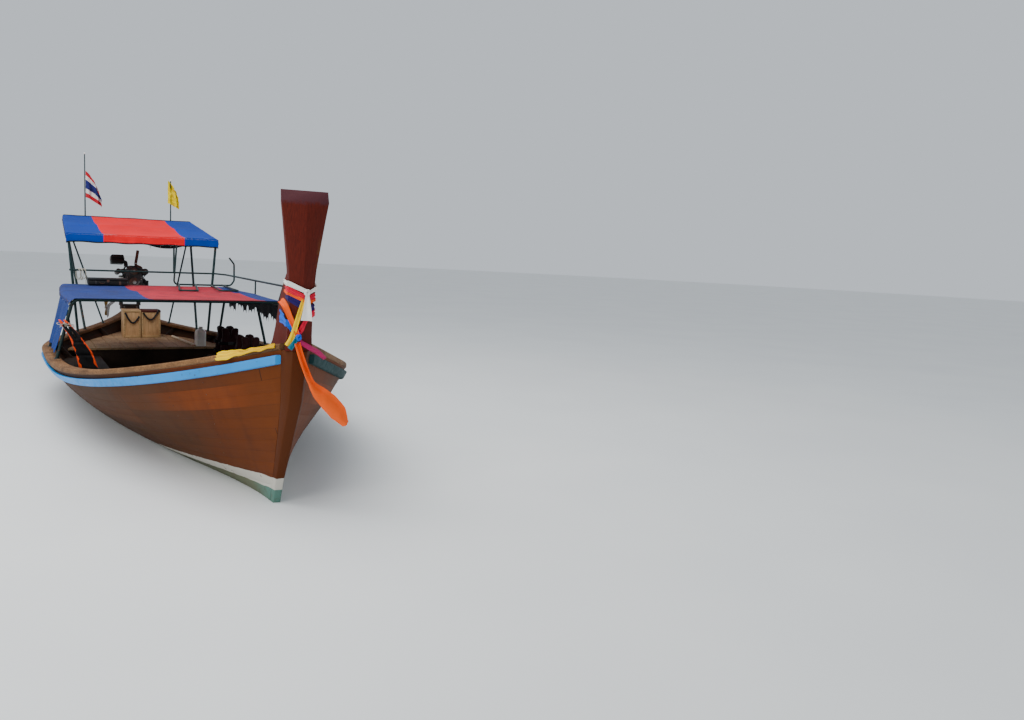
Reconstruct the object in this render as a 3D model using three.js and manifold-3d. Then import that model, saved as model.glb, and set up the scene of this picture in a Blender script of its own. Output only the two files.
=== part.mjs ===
// Longtail boat: a double-ended planked hull with a tall prow board, two striped canopies on
// pipe frames, and a diesel on a swivelling, tilting post that carries a long tail shaft.
// Millimetres, +X to the bow, +Y to port, +Z up, origin amidships on the centreline at the waterline.
// Hull heights below are measured from the foot of the painted stripe, which floats a little above the water.

import * as THREE from 'three';
import { mergeVertices } from 'three/addons/utils/BufferGeometryUtils.js';
import Module from 'manifold-3d';

const wasm = await Module();
wasm.setup();

// General fits
const GAP = 0.3;
const PIPE_SIDES = 8;

// Hull driving sizes
const HALF_BEAM = 1315;
const MAX_BEAM_AT = 0.6;
const BOW_FULLNESS = 3.49;
const STERN_FULLNESS = 1.71;
const STERN_HOLLOW = 1.17;
const LOW_SHEER = 380;
const BOW_SHEER = 1042;
const STERN_SHEER = 565;
const LOWEST_SHEER_AT = 0.66;
const BOW_SHEER_SWEEP = 2.66;
const STERN_SHEER_SWEEP = 3.67;
const KEEL_DRAFT = 280;
const BOW_KEEL_LINE = -150;
const STERN_KEEL_LINE = -200;
const PLANK = 28;
const PLANK_ABOVE_STRAKE = 35;
const STRIPE_ABOVE_WATER = 100;
const STEM_HALF_LOW = 28;
const STEM_HALF_HIGH = 100;
const STERN_POST_HALF = 45;
const CENTRE_SEAM = 2;

// Rails along the sheer
const CAP_THICK = 45;
const CAP_INBOARD = 120;
const CAP_OUTBOARD = 10;
const STRAKE_DEEP = 65;
const STRAKE_THICK = 38;

// Backbone
const KEEL_HALF = 45;
const KEEL_DEEP = 90;

// Inside the hull
const FRAME_DEEP = 50;
const FRAME_THICK = 45;
const FRAME_STATIONS = [3400, 2550, 1700, 850, 0, -850, -1700, -2550, -3400];
const BOARD_THICK = 25;

// Canopies, with the half widths of their pipe frames
const LOWER = { front: 300, middle: -1000, rear: -2450, halfFront: 1078, halfMiddle: 1100, halfRear: 1026 };
const UPPER = { front: -2620, rear: -4370, halfFront: 963, halfRear: 905, heightFront: 1770, heightRear: 2020 };
const CANVAS = 6;
const RAIL_HEIGHT = 1285;

// Engine unit, whose own frame has its origin on the tilt axis
const PIVOT = { x: -4300, z: 800 };
const REST_TILT = THREE.MathUtils.degToRad(9.5);

const finishOf = (color, roughness, metalness = 0) =>
  new THREE.MeshStandardMaterial({ color, roughness, metalness });

const finishes = {
  hullBrown: finishOf(0x7d4423, 0.55),
  prowMaroon: finishOf(0x612618, 0.5),
  wornTimber: finishOf(0x8a6a4c, 0.8),
  strakeBlue: finishOf(0x55aad2, 0.5),
  keelTeal: finishOf(0x6f9a86, 0.6),
  darkTimber: finishOf(0x2b2320, 0.8),
  deckTimber: finishOf(0xa98f6e, 0.85),
  plywood: finishOf(0xa08459, 0.75),
  pipeTeal: finishOf(0x1d3f42, 0.45, 0.3),
  canvasBlue: finishOf(0x1e50a8, 0.8),
  canvasNavy: finishOf(0x1b2436, 0.85),
  engineBlack: finishOf(0x1b1b1c, 0.6, 0.4),
  steel: finishOf(0x4a4d4e, 0.4, 0.8),
  bronze: finishOf(0x9a7437, 0.35, 0.9),
  jacketMaroon: finishOf(0x3a1116, 0.8),
  jacketOrange: finishOf(0xe2643a, 0.8),
  canWhite: finishOf(0xd9d8cc, 0.5),
  flagRed: finishOf(0xb63038, 0.8),
  flagYellow: finishOf(0xe8d32c, 0.8),
  sashOrange: finishOf(0xf06a2c, 0.7),
  sashYellow: finishOf(0xf2d21f, 0.7),
  sashRed: finishOf(0xd8394a, 0.7),
};

const boat = new THREE.Group();
boat.position.z = STRIPE_ABOVE_WATER;

// Solid helpers

function solidOf(geometry) {
  const bare = geometry.clone();
  bare.deleteAttribute('normal');
  bare.deleteAttribute('uv');
  const merged = mergeVertices(bare, 1e-4);
  return new wasm.Manifold(new wasm.Mesh({
    numProp: 3,
    vertProperties: new Float32Array(merged.attributes.position.array),
    triVerts: new Uint32Array(merged.index.array),
  }));
}

function geometryOf(solid) {
  const mesh = solid.getMesh();
  const geometry = new THREE.BufferGeometry();
  geometry.setAttribute('position', new THREE.BufferAttribute(new Float32Array(mesh.vertProperties), 3));
  geometry.setIndex(new THREE.BufferAttribute(new Uint32Array(mesh.triVerts), 1));
  geometry.computeVertexNormals();
  return geometry;
}

function addPiece(name, geometry, material, parent = boat) {
  const mesh = new THREE.Mesh(geometry, material);
  mesh.name = name;
  parent.add(mesh);
  return mesh;
}

const addSolid = (name, solid, material, parent = boat) =>
  addPiece(name, geometryOf(solid), material, parent);

const joined = (solids) => solids.reduce((whole, next) => whole.add(next));

function slab(x0, x1, y0, y1, z0, z1) {
  const geometry = new THREE.BoxGeometry(x1 - x0, y1 - y0, z1 - z0);
  geometry.translate((x0 + x1) / 2, (y0 + y1) / 2, (z0 + z1) / 2);
  return geometry;
}

const slabSolid = (...sides) => solidOf(slab(...sides));

// A round bar between two points, run on by a little at each end so that bars join at a corner
function bar(from, to, radius, runOn = 0, sides = PIPE_SIDES, farRadius = radius) {
  const start = new THREE.Vector3(...from);
  const end = new THREE.Vector3(...to);
  const along = end.clone().sub(start);
  const length = along.length();
  const geometry = new THREE.CylinderGeometry(farRadius, radius, length + 2 * runOn, sides);
  const turn = new THREE.Quaternion().setFromUnitVectors(new THREE.Vector3(0, 1, 0), along.normalize());
  geometry.applyQuaternion(turn);
  const middle = start.add(end).multiplyScalar(0.5);
  geometry.translate(middle.x, middle.y, middle.z);
  return solidOf(geometry);
}

// Bars through a list of points
function pipeRun(points, radius) {
  const bars = [];
  for (let i = 1; i < points.length; i += 1) {
    bars.push(bar(points[i - 1], points[i], radius, radius * 0.35));
  }
  return joined(bars);
}

const mirrored = (points) => points.map(([x, y, z]) => [x, -y, z]);

// A closed skin between two equal grids of points, such as the outer and inner face of planking
function skinBetween(outer, inner) {
  const rows = outer.length;
  const columns = outer[0].length;
  const positions = [];
  for (const grid of [outer, inner]) {
    for (const row of grid) {
      for (const point of row) {
        positions.push(...point);
      }
    }
  }
  const at = (face, row, column) => face * rows * columns + row * columns + column;
  const triangles = [];
  const quad = (a, b, c, d) => triangles.push(a, b, c, a, c, d);
  for (let r = 0; r < rows - 1; r += 1) {
    for (let c = 0; c < columns - 1; c += 1) {
      quad(at(0, r, c), at(0, r, c + 1), at(0, r + 1, c + 1), at(0, r + 1, c));
      quad(at(1, r, c), at(1, r + 1, c), at(1, r + 1, c + 1), at(1, r, c + 1));
    }
  }
  for (let r = 0; r < rows - 1; r += 1) {
    quad(at(0, r, 0), at(0, r + 1, 0), at(1, r + 1, 0), at(1, r, 0));
    quad(at(0, r + 1, columns - 1), at(0, r, columns - 1), at(1, r, columns - 1), at(1, r + 1, columns - 1));
  }
  for (let c = 0; c < columns - 1; c += 1) {
    quad(at(0, 0, c + 1), at(0, 0, c), at(1, 0, c), at(1, 0, c + 1));
    quad(at(0, rows - 1, c), at(0, rows - 1, c + 1), at(1, rows - 1, c + 1), at(1, rows - 1, c));
  }
  return facingOut(positions, triangles);
}

// A closed loft through equal rings of points, with flat fans at both ends
function loft(rings) {
  const count = rings[0].length;
  const positions = rings.flat(2);
  const triangles = [];
  for (let r = 0; r < rings.length - 1; r += 1) {
    for (let i = 0; i < count; i += 1) {
      const next = (i + 1) % count;
      const low = r * count;
      const high = low + count;
      triangles.push(low + i, low + next, high + next, low + i, high + next, high + i);
    }
  }
  const last = (rings.length - 1) * count;
  for (let i = 1; i < count - 1; i += 1) {
    triangles.push(0, i + 1, i);
    triangles.push(last, last + i, last + i + 1);
  }
  return facingOut(positions, triangles);
}

// Turns the triangles over where they enclose a negative volume
function facingOut(positions, triangles) {
  const corner = (index) => new THREE.Vector3().fromArray(positions, index * 3);
  let volume = 0;
  for (let t = 0; t < triangles.length; t += 3) {
    const a = corner(triangles[t]);
    volume += a.dot(corner(triangles[t + 1]).cross(corner(triangles[t + 2])));
  }
  if (volume < 0) {
    triangles.reverse();
  }
  const geometry = new THREE.BufferGeometry();
  geometry.setAttribute('position', new THREE.Float32BufferAttribute(positions, 3));
  geometry.setIndex(triangles);
  geometry.computeVertexNormals();
  return geometry;
}

// Hull form. The fraction s runs along the sheer from 0 at the bow to 1 at the stern.

const mix = (a, b, t) => a + (b - a) * t;

function sheerHeight(s) {
  if (s < LOWEST_SHEER_AT) {
    return LOW_SHEER + (BOW_SHEER - LOW_SHEER) * (1 - s / LOWEST_SHEER_AT) ** BOW_SHEER_SWEEP;
  }
  const run = (s - LOWEST_SHEER_AT) / (1 - LOWEST_SHEER_AT);
  return LOW_SHEER + (STERN_SHEER - LOW_SHEER) * run ** STERN_SHEER_SWEEP;
}

function beamShare(s) {
  if (s < MAX_BEAM_AT) {
    return 1 - (1 - s / MAX_BEAM_AT) ** BOW_FULLNESS;
  }
  const run = (1 - s) / (1 - MAX_BEAM_AT);
  return (1 - (1 - run) ** STERN_FULLNESS) ** STERN_HOLLOW;
}

// Lower edge of the planking: deepest amidships, rising to both ends
function keelLine(s) {
  const bowRise = (BOW_KEEL_LINE + KEEL_DRAFT) * Math.max(0, 1 - s / 0.45) ** 2;
  const sternRise = (STERN_KEEL_LINE + KEEL_DRAFT) * Math.max(0, 1 - (1 - s) / 0.35) ** 2;
  return -KEEL_DRAFT + bowRise + sternRise;
}

// How quickly a section widens above the keel: a low power is a flat floor, 1 a straight vee
function sectionPower(s) {
  const run = s < MAX_BEAM_AT ? 1 - s / MAX_BEAM_AT : (s - MAX_BEAM_AT) / (1 - MAX_BEAM_AT);
  return 0.25 + 0.37 * run ** 0.7;
}

// Fore and aft ends of the planking by height, as [height, x]
const STEM_RABBET = [[-150, 4085], [60, 4195], [430, 4385], [710, 4520], [1077, 4590]];
const STERN_RABBET = [[-200, -4150], [100, -4330], [600, -4590]];

function along(table, height) {
  let i = 1;
  while (i < table.length - 1 && height > table[i][0]) {
    i += 1;
  }
  const [z0, x0] = table[i - 1];
  const [z1, x1] = table[i];
  return mix(x0, x1, (height - z0) / (z1 - z0));
}

const SECTION_LEVELS = [0, 0.03, 0.1, 0.22, 0.4, 0.6, 0.8];

// Heights of one section: levels up to the strake, then the strake's two edges and the plank top
function sectionHeights(s) {
  const keel = keelLine(s);
  const strakeTop = sheerHeight(s);
  const strakeFoot = strakeTop - STRAKE_DEEP;
  const heights = SECTION_LEVELS.map((level) => mix(keel, strakeFoot, level));
  return [...heights, strakeFoot, strakeTop, strakeTop + PLANK_ABOVE_STRAKE];
}

function halfBreadth(s, height) {
  const keel = keelLine(s);
  const level = Math.max(0, (height - keel) / (sheerHeight(s) + PLANK_ABOVE_STRAKE - keel));
  const bowEnd = Math.max(0, 1 - s / 0.12) ** 2;
  const sternEnd = Math.max(0, 1 - (1 - s) / 0.12) ** 2;
  const bowPost = mix(STEM_HALF_LOW, STEM_HALF_HIGH, level) * bowEnd;
  const sternPost = STERN_POST_HALF * sternEnd;
  const post = Math.max(CENTRE_SEAM, bowPost + sternPost);
  return post + (HALF_BEAM - CENTRE_SEAM) * beamShare(s) * level ** sectionPower(s);
}

function outerPoint(s, height, topHeights) {
  const bowX = along(STEM_RABBET, topHeights.bow);
  const sternX = along(STERN_RABBET, topHeights.stern);
  return [mix(bowX, sternX, s), halfBreadth(s, height), height];
}

const STATIONS = [0, 0.012, 0.035, 0.07, 0.12, 0.18, 0.25, 0.33, 0.42, 0.51, 0.6, 0.68, 0.76, 0.83, 0.89, 0.94,
  0.975, 1];

// Points of one section, moved in by a distance square to the planking and never past the centreline
function section(s, inset, side) {
  const heights = sectionHeights(s);
  const bowHeights = sectionHeights(0);
  const sternHeights = sectionHeights(1);
  const points = heights.map((height, i) =>
    outerPoint(s, height, { bow: bowHeights[i], stern: sternHeights[i] }));
  return points.map(([x, y, z], i) => {
    const before = points[Math.max(0, i - 1)];
    const after = points[Math.min(points.length - 1, i + 1)];
    const run = Math.hypot(after[1] - before[1], after[2] - before[2]);
    const inwardY = -(after[2] - before[2]) / run;
    const inwardZ = i > points.length - 3 ? 0 : (after[1] - before[1]) / run;
    return [x, side * Math.max(CENTRE_SEAM, y + inwardY * inset), z + inwardZ * inset];
  });
}

function planking(side) {
  const outer = STATIONS.map((s) => section(s, 0, side));
  const inner = STATIONS.map((s) => section(s, PLANK, side));
  return skinBetween(outer, inner);
}

// The space inside the hull, shrunk by a distance, with its open top raised
function hullSpace(inset, raise) {
  const stations = STATIONS.filter((s) => s > 0.02 && s < 0.98);
  const halves = [1, -1].map((side) => {
    const rings = stations.map((s) => {
      const wall = section(s, PLANK + inset, 1);
      const [footX, , footZ] = wall[0];
      const [topX, topY, topZ] = wall.at(-1);
      const ring = [[footX, -1, footZ], ...wall, [topX, topY, topZ + raise], [topX, -1, topZ + raise]];
      return ring.map(([x, y, z]) => [x, side * y, z]);
    });
    return solidOf(loft(rings));
  });
  return joined(halves);
}

// Rails that follow the sheer, as four-sided lofts from the same stations

function capRail(side, grow = 0) {
  const rings = STATIONS.map((s) => {
    const top = section(s, 0, 1).at(-1);
    const outer = top[1] + CAP_OUTBOARD + grow;
    const inner = Math.max(2 * CENTRE_SEAM, top[1] - CAP_INBOARD - grow);
    const low = top[2] + GAP - grow;
    const high = top[2] + CAP_THICK + grow;
    return [[top[0], side * outer, low], [top[0], side * outer, high],
      [top[0], side * inner, high], [top[0], side * inner, low]];
  });
  return loft(rings);
}

// The rub strake is in three lengths, butted at two stations
const STRAKE_LENGTHS = [['fore', 0, 0.25], ['middle', 0.25, 0.6], ['aft', 0.6, 0.975]];

function rubStrake(side, from, to) {
  const stations = STATIONS.filter((s) => s >= from && s <= to);
  const face = (offset) => stations.map((s) => {
    const joint = s === from && from > 0 ? GAP : 0;
    return section(s, 0, 1).slice(-3, -1).map(([x, y, z]) => [x - joint, side * (y + offset), z]);
  });
  return skinBetween(face(STRAKE_THICK), face(GAP));
}

// Backbone: keel, stem, stern post and prow board

function keel() {
  const rings = STATIONS.map((s) => {
    const [x, , z] = section(s, 0, 1)[0];
    const low = z - KEEL_DEEP * (s < 0.07 ? 0.35 + s * 9 : 1);
    return [[x, -KEEL_HALF, low], [x, KEEL_HALF, low], [x, KEEL_HALF, z - GAP], [x, -KEEL_HALF, z - GAP]];
  });
  return loft(rings);
}

// Columns: height, leading edge x, half thickness at the planking
const STEM_TABLE = [
  [-180, 4150, 28],
  [60, 4240, 40],
  [430, 4440, 62],
  [710, 4600, 80],
  [1077, 4690, 100],
];
const STEM_FACE_HALF = 24;

function stem() {
  const rings = STEM_TABLE.map(([z, front, half]) => {
    const back = along(STEM_RABBET, Math.max(z, STEM_RABBET[0][0])) + GAP;
    const face = STEM_FACE_HALF + (half - STEM_HALF_LOW) * 0.35;
    return [[back, -half, z], [front, -face, z], [front, face, z], [back, half, z]];
  });
  return loft(rings);
}

function sternPost() {
  const rings = [-200, 100, 600].map((z) => {
    const front = along(STERN_RABBET, z) - GAP;
    const half = STERN_POST_HALF;
    return [[front, -half, z], [front - 90, -half * 0.6, z], [front - 90, half * 0.6, z], [front, half, z]];
  });
  return loft(rings);
}

// Columns: height, ridge x, back x, half width
const PROW_TABLE = [
  [1077.3, 4695, 4591, 92],
  [1180, 4710, 4591, 84],
  [1420, 4740, 4590, 78],
  [1620, 4758, 4598, 92],
  [1810, 4772, 4606, 119],
  [1940, 4782, 4613, 138],
  [2060, 4792, 4620, 157],
];
const PROW_RIDGE = 38;
const PROW_CROWN = 72;
const PROW_BEVEL = 60;
const PROW_BACK_SHARE = 0.8;

// The board as a whole, or swollen by a distance for cutting what is wrapped around it
function prowShape(grow = 0) {
  const ring = (z, ridge, corner, back, half) => [
    [ridge + grow, 0, z], [corner + grow, half + grow, z], [back - grow, half * PROW_BACK_SHARE + grow, z],
    [back - grow, -half * PROW_BACK_SHARE - grow, z], [corner + grow, -half - grow, z],
  ];
  const rings = PROW_TABLE.map(([z, ridge, back, half]) => ring(z, ridge, ridge - PROW_RIDGE, back, half));
  const [top, ridge, back, half] = PROW_TABLE.at(-1);
  rings.push(ring(top + PROW_CROWN, ridge - PROW_BEVEL, ridge - PROW_BEVEL - 2, back, half));
  return solidOf(loft(rings));
}

// The knee that braces the board aft, as [x, z] round its side view
const KNEE_OUTLINE = [
  [4640, 1090], [4640, 1610], [4570, 1610], [4491, 1543], [4377, 1397], [4285, 1208], [4211, 1101],
  [4117, 1033], [4060, 980], [4030, 900],
];
const KNEE_HALF = 58;

function prowKnee() {
  const outline = new THREE.Shape(KNEE_OUTLINE.map(([x, z]) => new THREE.Vector2(x, z)));
  const geometry = new THREE.ExtrudeGeometry(outline, { depth: 2 * KNEE_HALF, bevelEnabled: false });
  geometry.rotateX(Math.PI / 2);
  geometry.translate(0, KNEE_HALF, 0);
  return solidOf(geometry);
}

// Foredeck: a sloping board between the planking, its top line through two points
const FORE_DECK = { front: 4430, rear: 3500, heightFront: 993, heightRear: 770 };

function foreDeckSlab(grow) {
  const deck = FORE_DECK;
  const outline = new THREE.Shape();
  outline.moveTo(deck.rear - grow, deck.heightRear + grow);
  outline.lineTo(deck.front + grow, deck.heightFront + grow);
  outline.lineTo(deck.front + grow, deck.heightFront - BOARD_THICK - 200 * (grow > 0));
  outline.lineTo(deck.rear - grow, deck.heightRear - BOARD_THICK - 200 * (grow > 0));
  const geometry = new THREE.ExtrudeGeometry(outline, { depth: 2 * HALF_BEAM, bevelEnabled: false });
  geometry.rotateX(Math.PI / 2);
  geometry.translate(0, HALF_BEAM, 0);
  return solidOf(geometry);
}

const cutByCaps = (solid) =>
  solid.subtract(solidOf(capRail(1, GAP))).subtract(solidOf(capRail(-1, GAP)));

function addHull() {
  for (const [sideName, side] of [['starboard', -1], ['port', 1]]) {
    addPiece(`${sideName}_planking`, planking(side), finishes.hullBrown);
    addPiece(`${sideName}_cap_rail`, capRail(side), finishes.wornTimber);
    for (const [part, from, to] of STRAKE_LENGTHS) {
      addPiece(`${sideName}_rub_strake_${part}`, rubStrake(side, from, to), finishes.strakeBlue);
    }
  }
  addPiece('keel', keel(), finishes.keelTeal);
  addPiece('stem', stem(), finishes.hullBrown);
  addPiece('stern_post', sternPost(), finishes.hullBrown);
  const knee = cutByCaps(prowKnee()).subtract(foreDeckSlab(GAP)).subtract(solidOf(stem()));
  addSolid('prow_board', prowShape().add(knee), finishes.prowMaroon);
}

// Inside the hull: frames on a keelson with a stringer, floor, decks and benches

// Keelson and stringers are scarfed between these groups of frames: name, rear x and front x
const FRAME_GROUPS = [
  ['aft_frames', -4600, -1275 - GAP],
  ['middle_frames', -1275, 1275 - GAP],
  ['fore_frames', 1275, 4600],
];
const KEELSON = { front: 3300, rear: -3300, half: 50, top: -185 };
const STRINGER = { low: 150, high: 200, front: 3650, rear: -3650 };
const SOLE = { front: 3250, rear: -2350, top: -110 };
const STERN_DECK = { front: -1860, rear: -3980, top: 330 };
const BENCH_THICK = 35;
const THWARTS = [['forward_thwart', 2350], ['middle_thwart', 1120]];
const THWART_HALF = 140;
const SIDE_BENCH = { front: 560, rear: -1820, inboard: 640, outboard: 1150 };

const WIDE = 1600;
const acrossSlab = (x0, x1, z0, z1) => slabSolid(x0, x1, -WIDE, WIDE, z0, z1);

function addInside() {
  const againstPlanks = hullSpace(GAP, 0);
  const insideFrames = hullSpace(FRAME_DEEP + GAP, 300);
  const skin = againstPlanks.subtract(hullSpace(FRAME_DEEP, 300));
  const ribHalf = FRAME_THICK / 2;
  const ribSlabs = (play) => FRAME_STATIONS.map((x) =>
    acrossSlab(x - ribHalf - play, x + ribHalf + play, -KEEL_DRAFT, BOW_SHEER));
  const ribRoom = joined(ribSlabs(GAP)).subtract(insideFrames);

  const ribs = ribSlabs(0).map((rib) => skin.intersect(rib));
  const stringer = skin.intersect(acrossSlab(STRINGER.rear, STRINGER.front, STRINGER.low, STRINGER.high));
  const keelson = againstPlanks.intersect(
    slabSolid(KEELSON.rear, KEELSON.front, -KEELSON.half, KEELSON.half, -KEEL_DRAFT, KEELSON.top));
  const framing = joined([...ribs, stringer, keelson]);
  for (const [name, rear, front] of FRAME_GROUPS) {
    addSolid(name, framing.intersect(acrossSlab(rear, front, -KEEL_DRAFT, BOW_SHEER)), finishes.darkTimber);
  }

  const sole = insideFrames.intersect(acrossSlab(SOLE.rear, SOLE.front, SOLE.top - BOARD_THICK, SOLE.top));
  addSolid('floor_boards', sole, finishes.darkTimber);

  const foreDeck = againstPlanks.intersect(foreDeckSlab(0));
  addSolid('fore_deck', foreDeck, finishes.deckTimber);

  const deck = STERN_DECK;
  const sternDeck = insideFrames.intersect(acrossSlab(deck.rear, deck.front, deck.top - BOARD_THICK, deck.top));
  addSolid('stern_deck', sternDeck, finishes.deckTimber);
  const riser = insideFrames.intersect(acrossSlab(deck.front - BOARD_THICK - 20, deck.front - 20,
    SOLE.top + GAP, deck.top - BOARD_THICK - GAP));
  addSolid('stern_deck_riser', riser, finishes.darkTimber);

  const benchLow = STRINGER.high + GAP;
  const benchHigh = benchLow + BENCH_THICK;
  for (const [name, x] of THWARTS) {
    const thwart = againstPlanks.intersect(acrossSlab(x - THWART_HALF, x + THWART_HALF, benchLow, benchHigh));
    addSolid(name, thwart, finishes.darkTimber);
  }
  for (const [sideName, side] of [['starboard', -1], ['port', 1]]) {
    const inboard = side * SIDE_BENCH.inboard;
    const edges = [inboard, side * SIDE_BENCH.outboard].sort((a, b) => a - b);
    const seat = againstPlanks.intersect(
      slabSolid(SIDE_BENCH.rear, SIDE_BENCH.front, ...edges, benchLow, benchHigh)).subtract(ribRoom);
    const frontEdges = [inboard, inboard + side * BOARD_THICK].sort((a, b) => a - b);
    const front = insideFrames.intersect(
      slabSolid(SIDE_BENCH.rear, SIDE_BENCH.front, ...frontEdges, SOLE.top + GAP, benchHigh));
    addSolid(`${sideName}_side_bench`, seat.add(front), finishes.darkTimber);
  }
  addStores(benchHigh);
}

// Boxes, fuel can and life jackets, each standing on a deck or a bench

const PLYWOOD_BOXES = [['starboard_battery_box', -225, 0], ['port_battery_box', 12, 265]];
const PLYWOOD_BOX = { rear: -3350, front: -3060, height: 390 };
const FUEL_CAN = { x: -1985, y: 614, length: 200, width: 130, height: 262 };
const PORT_JACKETS = [-1560, -1250, -480, -170];
const JACKET = { thick: 120, width: 300, height: 430, y: 850 };

// The orange jacket leans out from the bench against the canopy's front leg. Columns: height above the bench,
// middle y, half width
const ORANGE_JACKET = [
  [0, -905, 118],
  [315, -985, 92],
  [500, -1075, 75],
  [665, -1190, 48],
];
const ORANGE_JACKET_REAR = 318;
const ORANGE_JACKET_THICK = 115;

function standing(x, y, length, width, bottom, height) {
  const foot = bottom + GAP;
  return slab(x - length / 2, x + length / 2, y - width / 2, y + width / 2, foot, foot + height);
}

function addStores(benchTop) {
  const deckTop = STERN_DECK.top;
  for (const [name, y0, y1] of PLYWOOD_BOXES) {
    const { rear, front, height } = PLYWOOD_BOX;
    addPiece(name, slab(rear, front, y0, y1, deckTop + GAP, deckTop + height), finishes.plywood);
  }
  const can = FUEL_CAN;
  addPiece('fuel_can', standing(can.x, can.y, can.length, can.width, deckTop, can.height), finishes.canWhite);
  PORT_JACKETS.forEach((x, i) => {
    const jacket = standing(x, JACKET.y, JACKET.thick, JACKET.width, benchTop, JACKET.height);
    addPiece(`maroon_life_jacket_${i + 1}`, jacket, finishes.jacketMaroon);
  });
  const rear = ORANGE_JACKET_REAR;
  const front = rear + ORANGE_JACKET_THICK;
  const leaning = ORANGE_JACKET.map(([rise, y, half]) => {
    const z = benchTop + GAP + rise;
    return [[rear, y - half, z], [front, y - half, z], [front, y + half, z], [rear, y + half, z]];
  });
  addPiece('orange_life_jacket', loft(leaning), finishes.jacketOrange);
}

// Canopies and their pipe frames

const FRAME_PIPE = 17;
const LIGHT_PIPE = 12;
const CORNER = 35;
const SIDE_RAIL_HEIGHT = 1060;
const ROOF_PIPE_HEIGHT = 1093;
const FOOT_DEPTH = 14;
const LEG_INBOARD = 75;
const LOWER_LEGS = [300, -1000, -2350];

const sheerFraction = (x) => (STEM_RABBET.at(-1)[1] - x) / (STEM_RABBET.at(-1)[1] - STERN_RABBET.at(-1)[1]);

// Where a leg meets the top of the cap rail, run into the wood so that the foot can be trimmed to it
function capFoot(x, side) {
  const s = sheerFraction(x);
  const top = sheerHeight(s) + PLANK_ABOVE_STRAKE;
  return [x, side * (halfBreadth(s, top) - LEG_INBOARD), top + CAP_THICK - FOOT_DEPTH];
}

function lowerHalf(x) {
  const { front, middle, rear, halfFront, halfMiddle, halfRear } = LOWER;
  if (x > middle) {
    return mix(halfFront, halfMiddle, (front - x) / (front - middle));
  }
  return mix(halfMiddle, halfRear, (middle - x) / (middle - rear));
}

// The frame with its pipes at a radius, which is a little more where neighbours are cut round it
function lowerFrame(radius) {
  const hoops = LOWER_LEGS.map((x) => {
    const half = lowerHalf(x);
    const starboard = [capFoot(x, -1), [x, -half, SIDE_RAIL_HEIGHT], [x, CORNER - half, ROOF_PIPE_HEIGHT]];
    const port = mirrored(starboard).map((point, i) => (i === 0 ? capFoot(x, 1) : point)).reverse();
    return pipeRun([...starboard, ...port], radius);
  });
  const rails = [-1, 1].map((side) => pipeRun([LOWER.front, LOWER.middle, LOWER.rear].map((x) =>
    [x, side * lowerHalf(x), SIDE_RAIL_HEIGHT]), radius));
  const rearBar = bar([LOWER.rear, -LOWER.halfRear, SIDE_RAIL_HEIGHT],
    [LOWER.rear, LOWER.halfRear, SIDE_RAIL_HEIGHT], radius, radius * 0.35);
  return cutByCaps(joined([...hoops, ...rails, rearBar]));
}

const LOWER_SKIRT = 1038;
const LOWER_SLACK = { out: 32, shoulder: 26, shoulderHeight: 1080, roofIn: 28, roofHeight: 1110.6 };
const LOWER_OVERHANG = 25;
const ROOF_TOP = LOWER_SLACK.roofHeight + CANVAS + GAP;

// Canvas across the hoops: outer and inner face of one section, port skirt to starboard skirt
function lowerCanvasSection(x, thick) {
  const half = lowerHalf(x);
  const slack = LOWER_SLACK;
  const portSide = [
    [x, half + slack.out + thick, LOWER_SKIRT],
    [x, half + slack.shoulder + thick, slack.shoulderHeight + thick * 0.4],
    [x, half - slack.roofIn + thick * 0.4, slack.roofHeight + thick],
    [x, half * 0.45, slack.roofHeight + thick],
  ];
  return [...portSide, ...mirrored(portSide).reverse()];
}

function lowerCanvas() {
  const sections = [LOWER.front + LOWER_OVERHANG, LOWER.middle, LOWER.rear - LOWER_OVERHANG];
  const face = (thick) => sections.map((x) => lowerCanvasSection(x, thick));
  return skinBetween(face(CANVAS), face(0));
}

// Hangs from the starboard edge of the canopy, outside the legs, down to just above the cap rail
const CURTAIN = { front: 300, rear: -960, thick: 12, top: LOWER_SKIRT - GAP, topOut: 26,
  foot: 545, legClear: 3 };

function sideCurtain() {
  const { front, rear, thick, topOut, foot, top, legClear } = CURTAIN;
  const rings = [front, rear].map((x) => {
    const high = lowerHalf(x) + topOut;
    const [, legFoot, legFootHeight] = capFoot(x, 1);
    const down = (SIDE_RAIL_HEIGHT - foot) / (SIDE_RAIL_HEIGHT - legFootHeight);
    const low = mix(lowerHalf(x), legFoot, down) + FRAME_PIPE + legClear;
    return [[x, -high, top], [x, -high - thick, top], [x, -low - thick, foot], [x, -low, foot]];
  });
  return loft(rings);
}

const VALANCE = { front: 255, rear: -2280, foot: 905, thick: 4 };

function portValance() {
  const { front, rear, foot, thick } = VALANCE;
  const rings = [front, LOWER.middle, rear].map((x) => {
    const outer = lowerHalf(x) + thick / 2;
    const inner = outer - thick;
    return [[x, outer, foot], [x, outer, SIDE_RAIL_HEIGHT], [x, inner, SIDE_RAIL_HEIGHT], [x, inner, foot]];
  });
  return solidOf(loft(rings)).subtract(lowerFrame(FRAME_PIPE + GAP));
}

const upperRun = (x) => (UPPER.front - x) / (UPPER.front - UPPER.rear);
const upperHalf = (x) => mix(UPPER.halfFront, UPPER.halfRear, upperRun(x));
const upperHeight = (x) => mix(UPPER.heightFront, UPPER.heightRear, upperRun(x));
const UPPER_PIPE_DROP = FRAME_PIPE + GAP;
const UPPER_PIPE_IN = 22;
const RAKED_POST_FOOT = -2880;
const AFT_STRUT_FOOT = -3500;
const MID_POST_Y = 375;
const ROOF_RAIL = { endIn: 30, kink: -2300, kinkHalf: 1020, front: 400, frontHalf: 1080, posts: [-800, 370],
  postIn: 45 };

function upperCorner(x, side) {
  return [x, side * (upperHalf(x) - UPPER_PIPE_IN), upperHeight(x) - UPPER_PIPE_DROP];
}

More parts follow.
